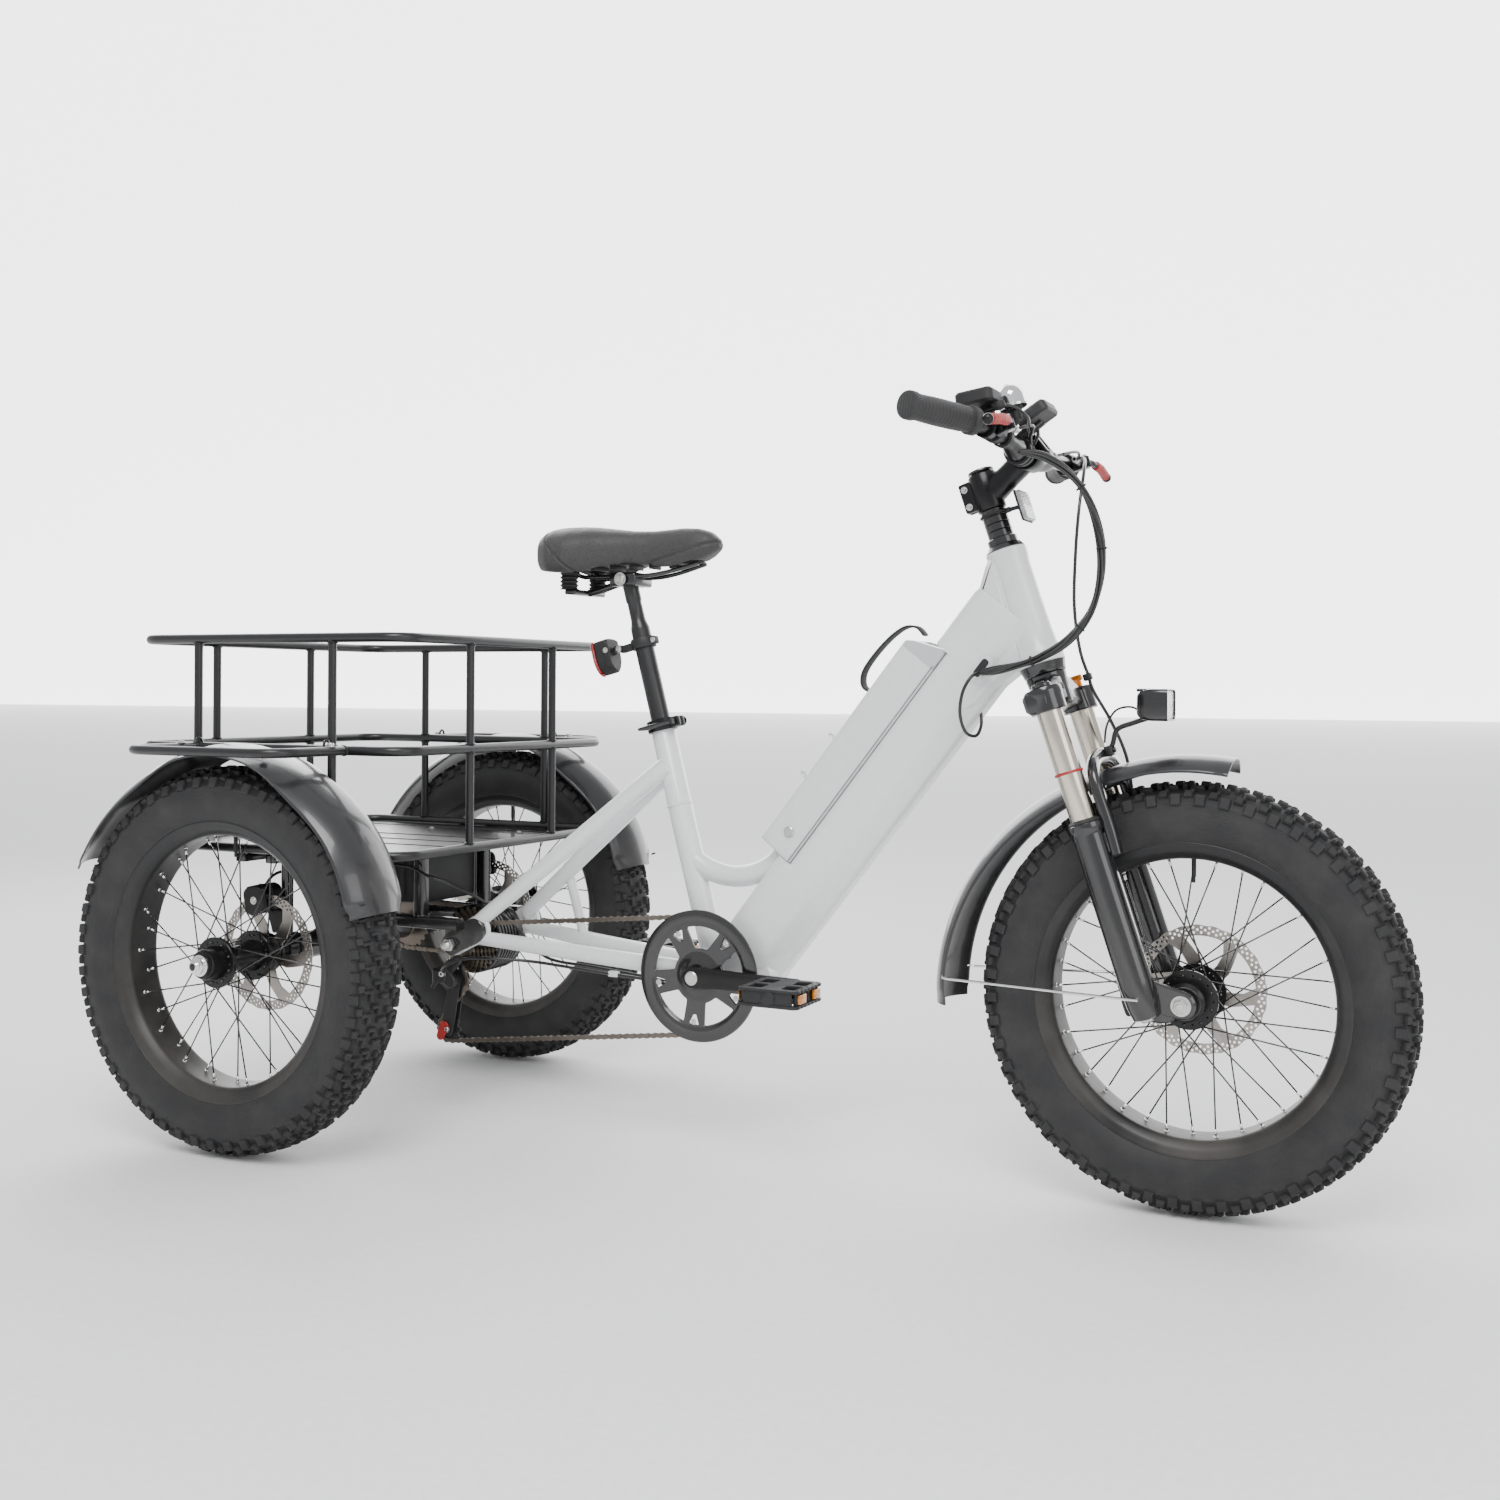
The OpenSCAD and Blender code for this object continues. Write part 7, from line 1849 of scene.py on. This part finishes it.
bar_cables = [cable([(104, -152, 784), (112, -138, 786), (118, -112, 790), (110, -84, 792), (98, -60, 788),
    (90, -40, 778)], 2.3), cable([(104, 152, 784), (114, 132, 784), (120, 96, 782), (112, 52, 776),
    (100, 10, 770), (92, -34, 770)], 2.3), cable([(96, -170, 822), (112, -150, 812), (118, -124, 800),
    (108, -92, 796), (96, -64, 790)], 2.0), cable([(108, -40, 808), (104, -34, 796), (94, -34, 784)], 2.2)]
piece("handlebar_cables", joined(*bar_cables), "steer", cable_sheath, place=steered)
lamp_wire = cable([(116, 4, 382), (100, 6, 398), (78, 6, 400), (60, 4, 384), (50, 2, 362)], 1.6)
hose = cable([(44, 70, 246), (34, 88, 200), (2, 100, 150), (-26, 90, 96), (-38, 78, 50), (-36, 68, 38)],
    2.4)
piece("fork_wires", joined(lamp_wire, hose), "lowers", cable_sheath, place=steered)
upper_hose = cable([(104, 152, 784), (122, 120, 774), (128, 60, 742), (112, 30, 690), (88, 26, 630),
    (62, 30, 560), (48, 40, 500), (46, 50, 462)], 2.5)
piece("front_brake_hose", upper_hose, "steer", cable_sheath, place=steered)
lower_hose = piece("front_brake_hose_end",
    cable([(46, 50, 464), (45, 54, 440), (54, 60, 392), (58, 66, 340), (50, 70, 290), (44, 70, 246)], 2.5,
    steps=10), None, cable_sheath, place=steered)
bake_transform(lower_hose)
hose_clips = [soft_box((38, 44, 456), (50, 56, 466), 2), soft_box((36, 64, 240), (48, 76, 252), 2)]
piece("hose_clip_crown", hose_clips[0], "steer", matte_black, place=steered)
piece("hose_clip_leg", hose_clips[1], "lowers", matte_black, place=steered)
shift_route = [(560, -28, 246), (520, -34, 252), (470, -40, 256), (400, -48, 262), (330, -58, 268),
    (270, -84, 272), (220, -92, 268), (182, -88, 252), (168, -72, 238)]
brake_route = [(560, -14, 246), (500, -18, 254), (420, -24, 262), (340, -32, 272), (285, -38, 318),
    (240, -50, 352), (190, -80, 385), (162, -106, 400), (120, -118, 416), (40, -180, 420), (-24, -236, 410),
    (-26, -268, 392)]
frame_runs = joined(cable(shift_route), cable(brake_route))
port_loop = cable([(1068, -42, 729), (1060, -56, 722), (1050, -62, 700), (1046, -60, 670), (1052, -52, 645),
    (1062, -36, 640), (1064, -20, 655), (1060, -10, 674)], 2.4)
piece("port_cable_loop", port_loop, "frame", cable_sheath)
piece("frame_cable_runs", frame_runs, "frame", cable_sheath, "frame_cables")
guides = [soft_box((x - 9, y - 5, z - 6), (x + 9, y + 5, z + 3), 2.5) for x, y,
    z in ((560, -21, 246), (470, -38, 258))]
piece("cable_guides", joined(*guides), "frame", white_case)
print("cables done,", len(made), "pieces")

# %% [markdown]
# ## Rear brakes
# The rear calipers straddle each rotor above its axle, with a round piston cap outside and a banjo
# fitting where the hose enters.

# %% Rear calipers
def rear_caliper():
    """Drawn upright over the axle, then turned 12 degrees about it, with the rotor at y 290."""
    outline = rolled([(-22, 66), (-14, 60), (14, 60), (22, 66), (22, 98), (12, 105), (-12, 105), (-22, 98)],
        6, 4)
    shells = [plate(outline, 259, 286, edge=4), plate(outline, 294, 302.6, edge=3),
        soft_box((-15, 262, 92.5), (15, 301.5, 105.4), 4)]
    bracket = plate(rolled([(-15, 27), (15, 27), (21, 82), (-21, 82)], 4, 3), 248.4, 259.6, edge=2)
    caps = [turned([(0, 255.4), (10.6, 255.4), (11.6, 256.4), (11.6, 260), (0, 260)], (0, 0, 80), n=32)]
    steel_bits = [bolt((s * 14, 248.4, 66), "y", 3.2, 3, -1) for s in (-1, 1)] + [bolt((0, 302.4, 82), "y",
        4, 2.6), bolt((-12, 271, 104), "z", 3, 3)]
    return joined(*shells, bracket, *caps), joined(*steel_bits)


over_axle = turned_frame((0, 0, AXLE_Z), -12, upright)
caliper, caliper_steel = rear_caliper()
piece("rear_caliper_bodies", mirrored(caliper), "frame", black_anodised, "rear_calipers",
    over_axle)
piece("rear_caliper_bolts", mirrored(caliper_steel), "frame", steel, place=over_axle)
print("calipers done,", len(made), "pieces")
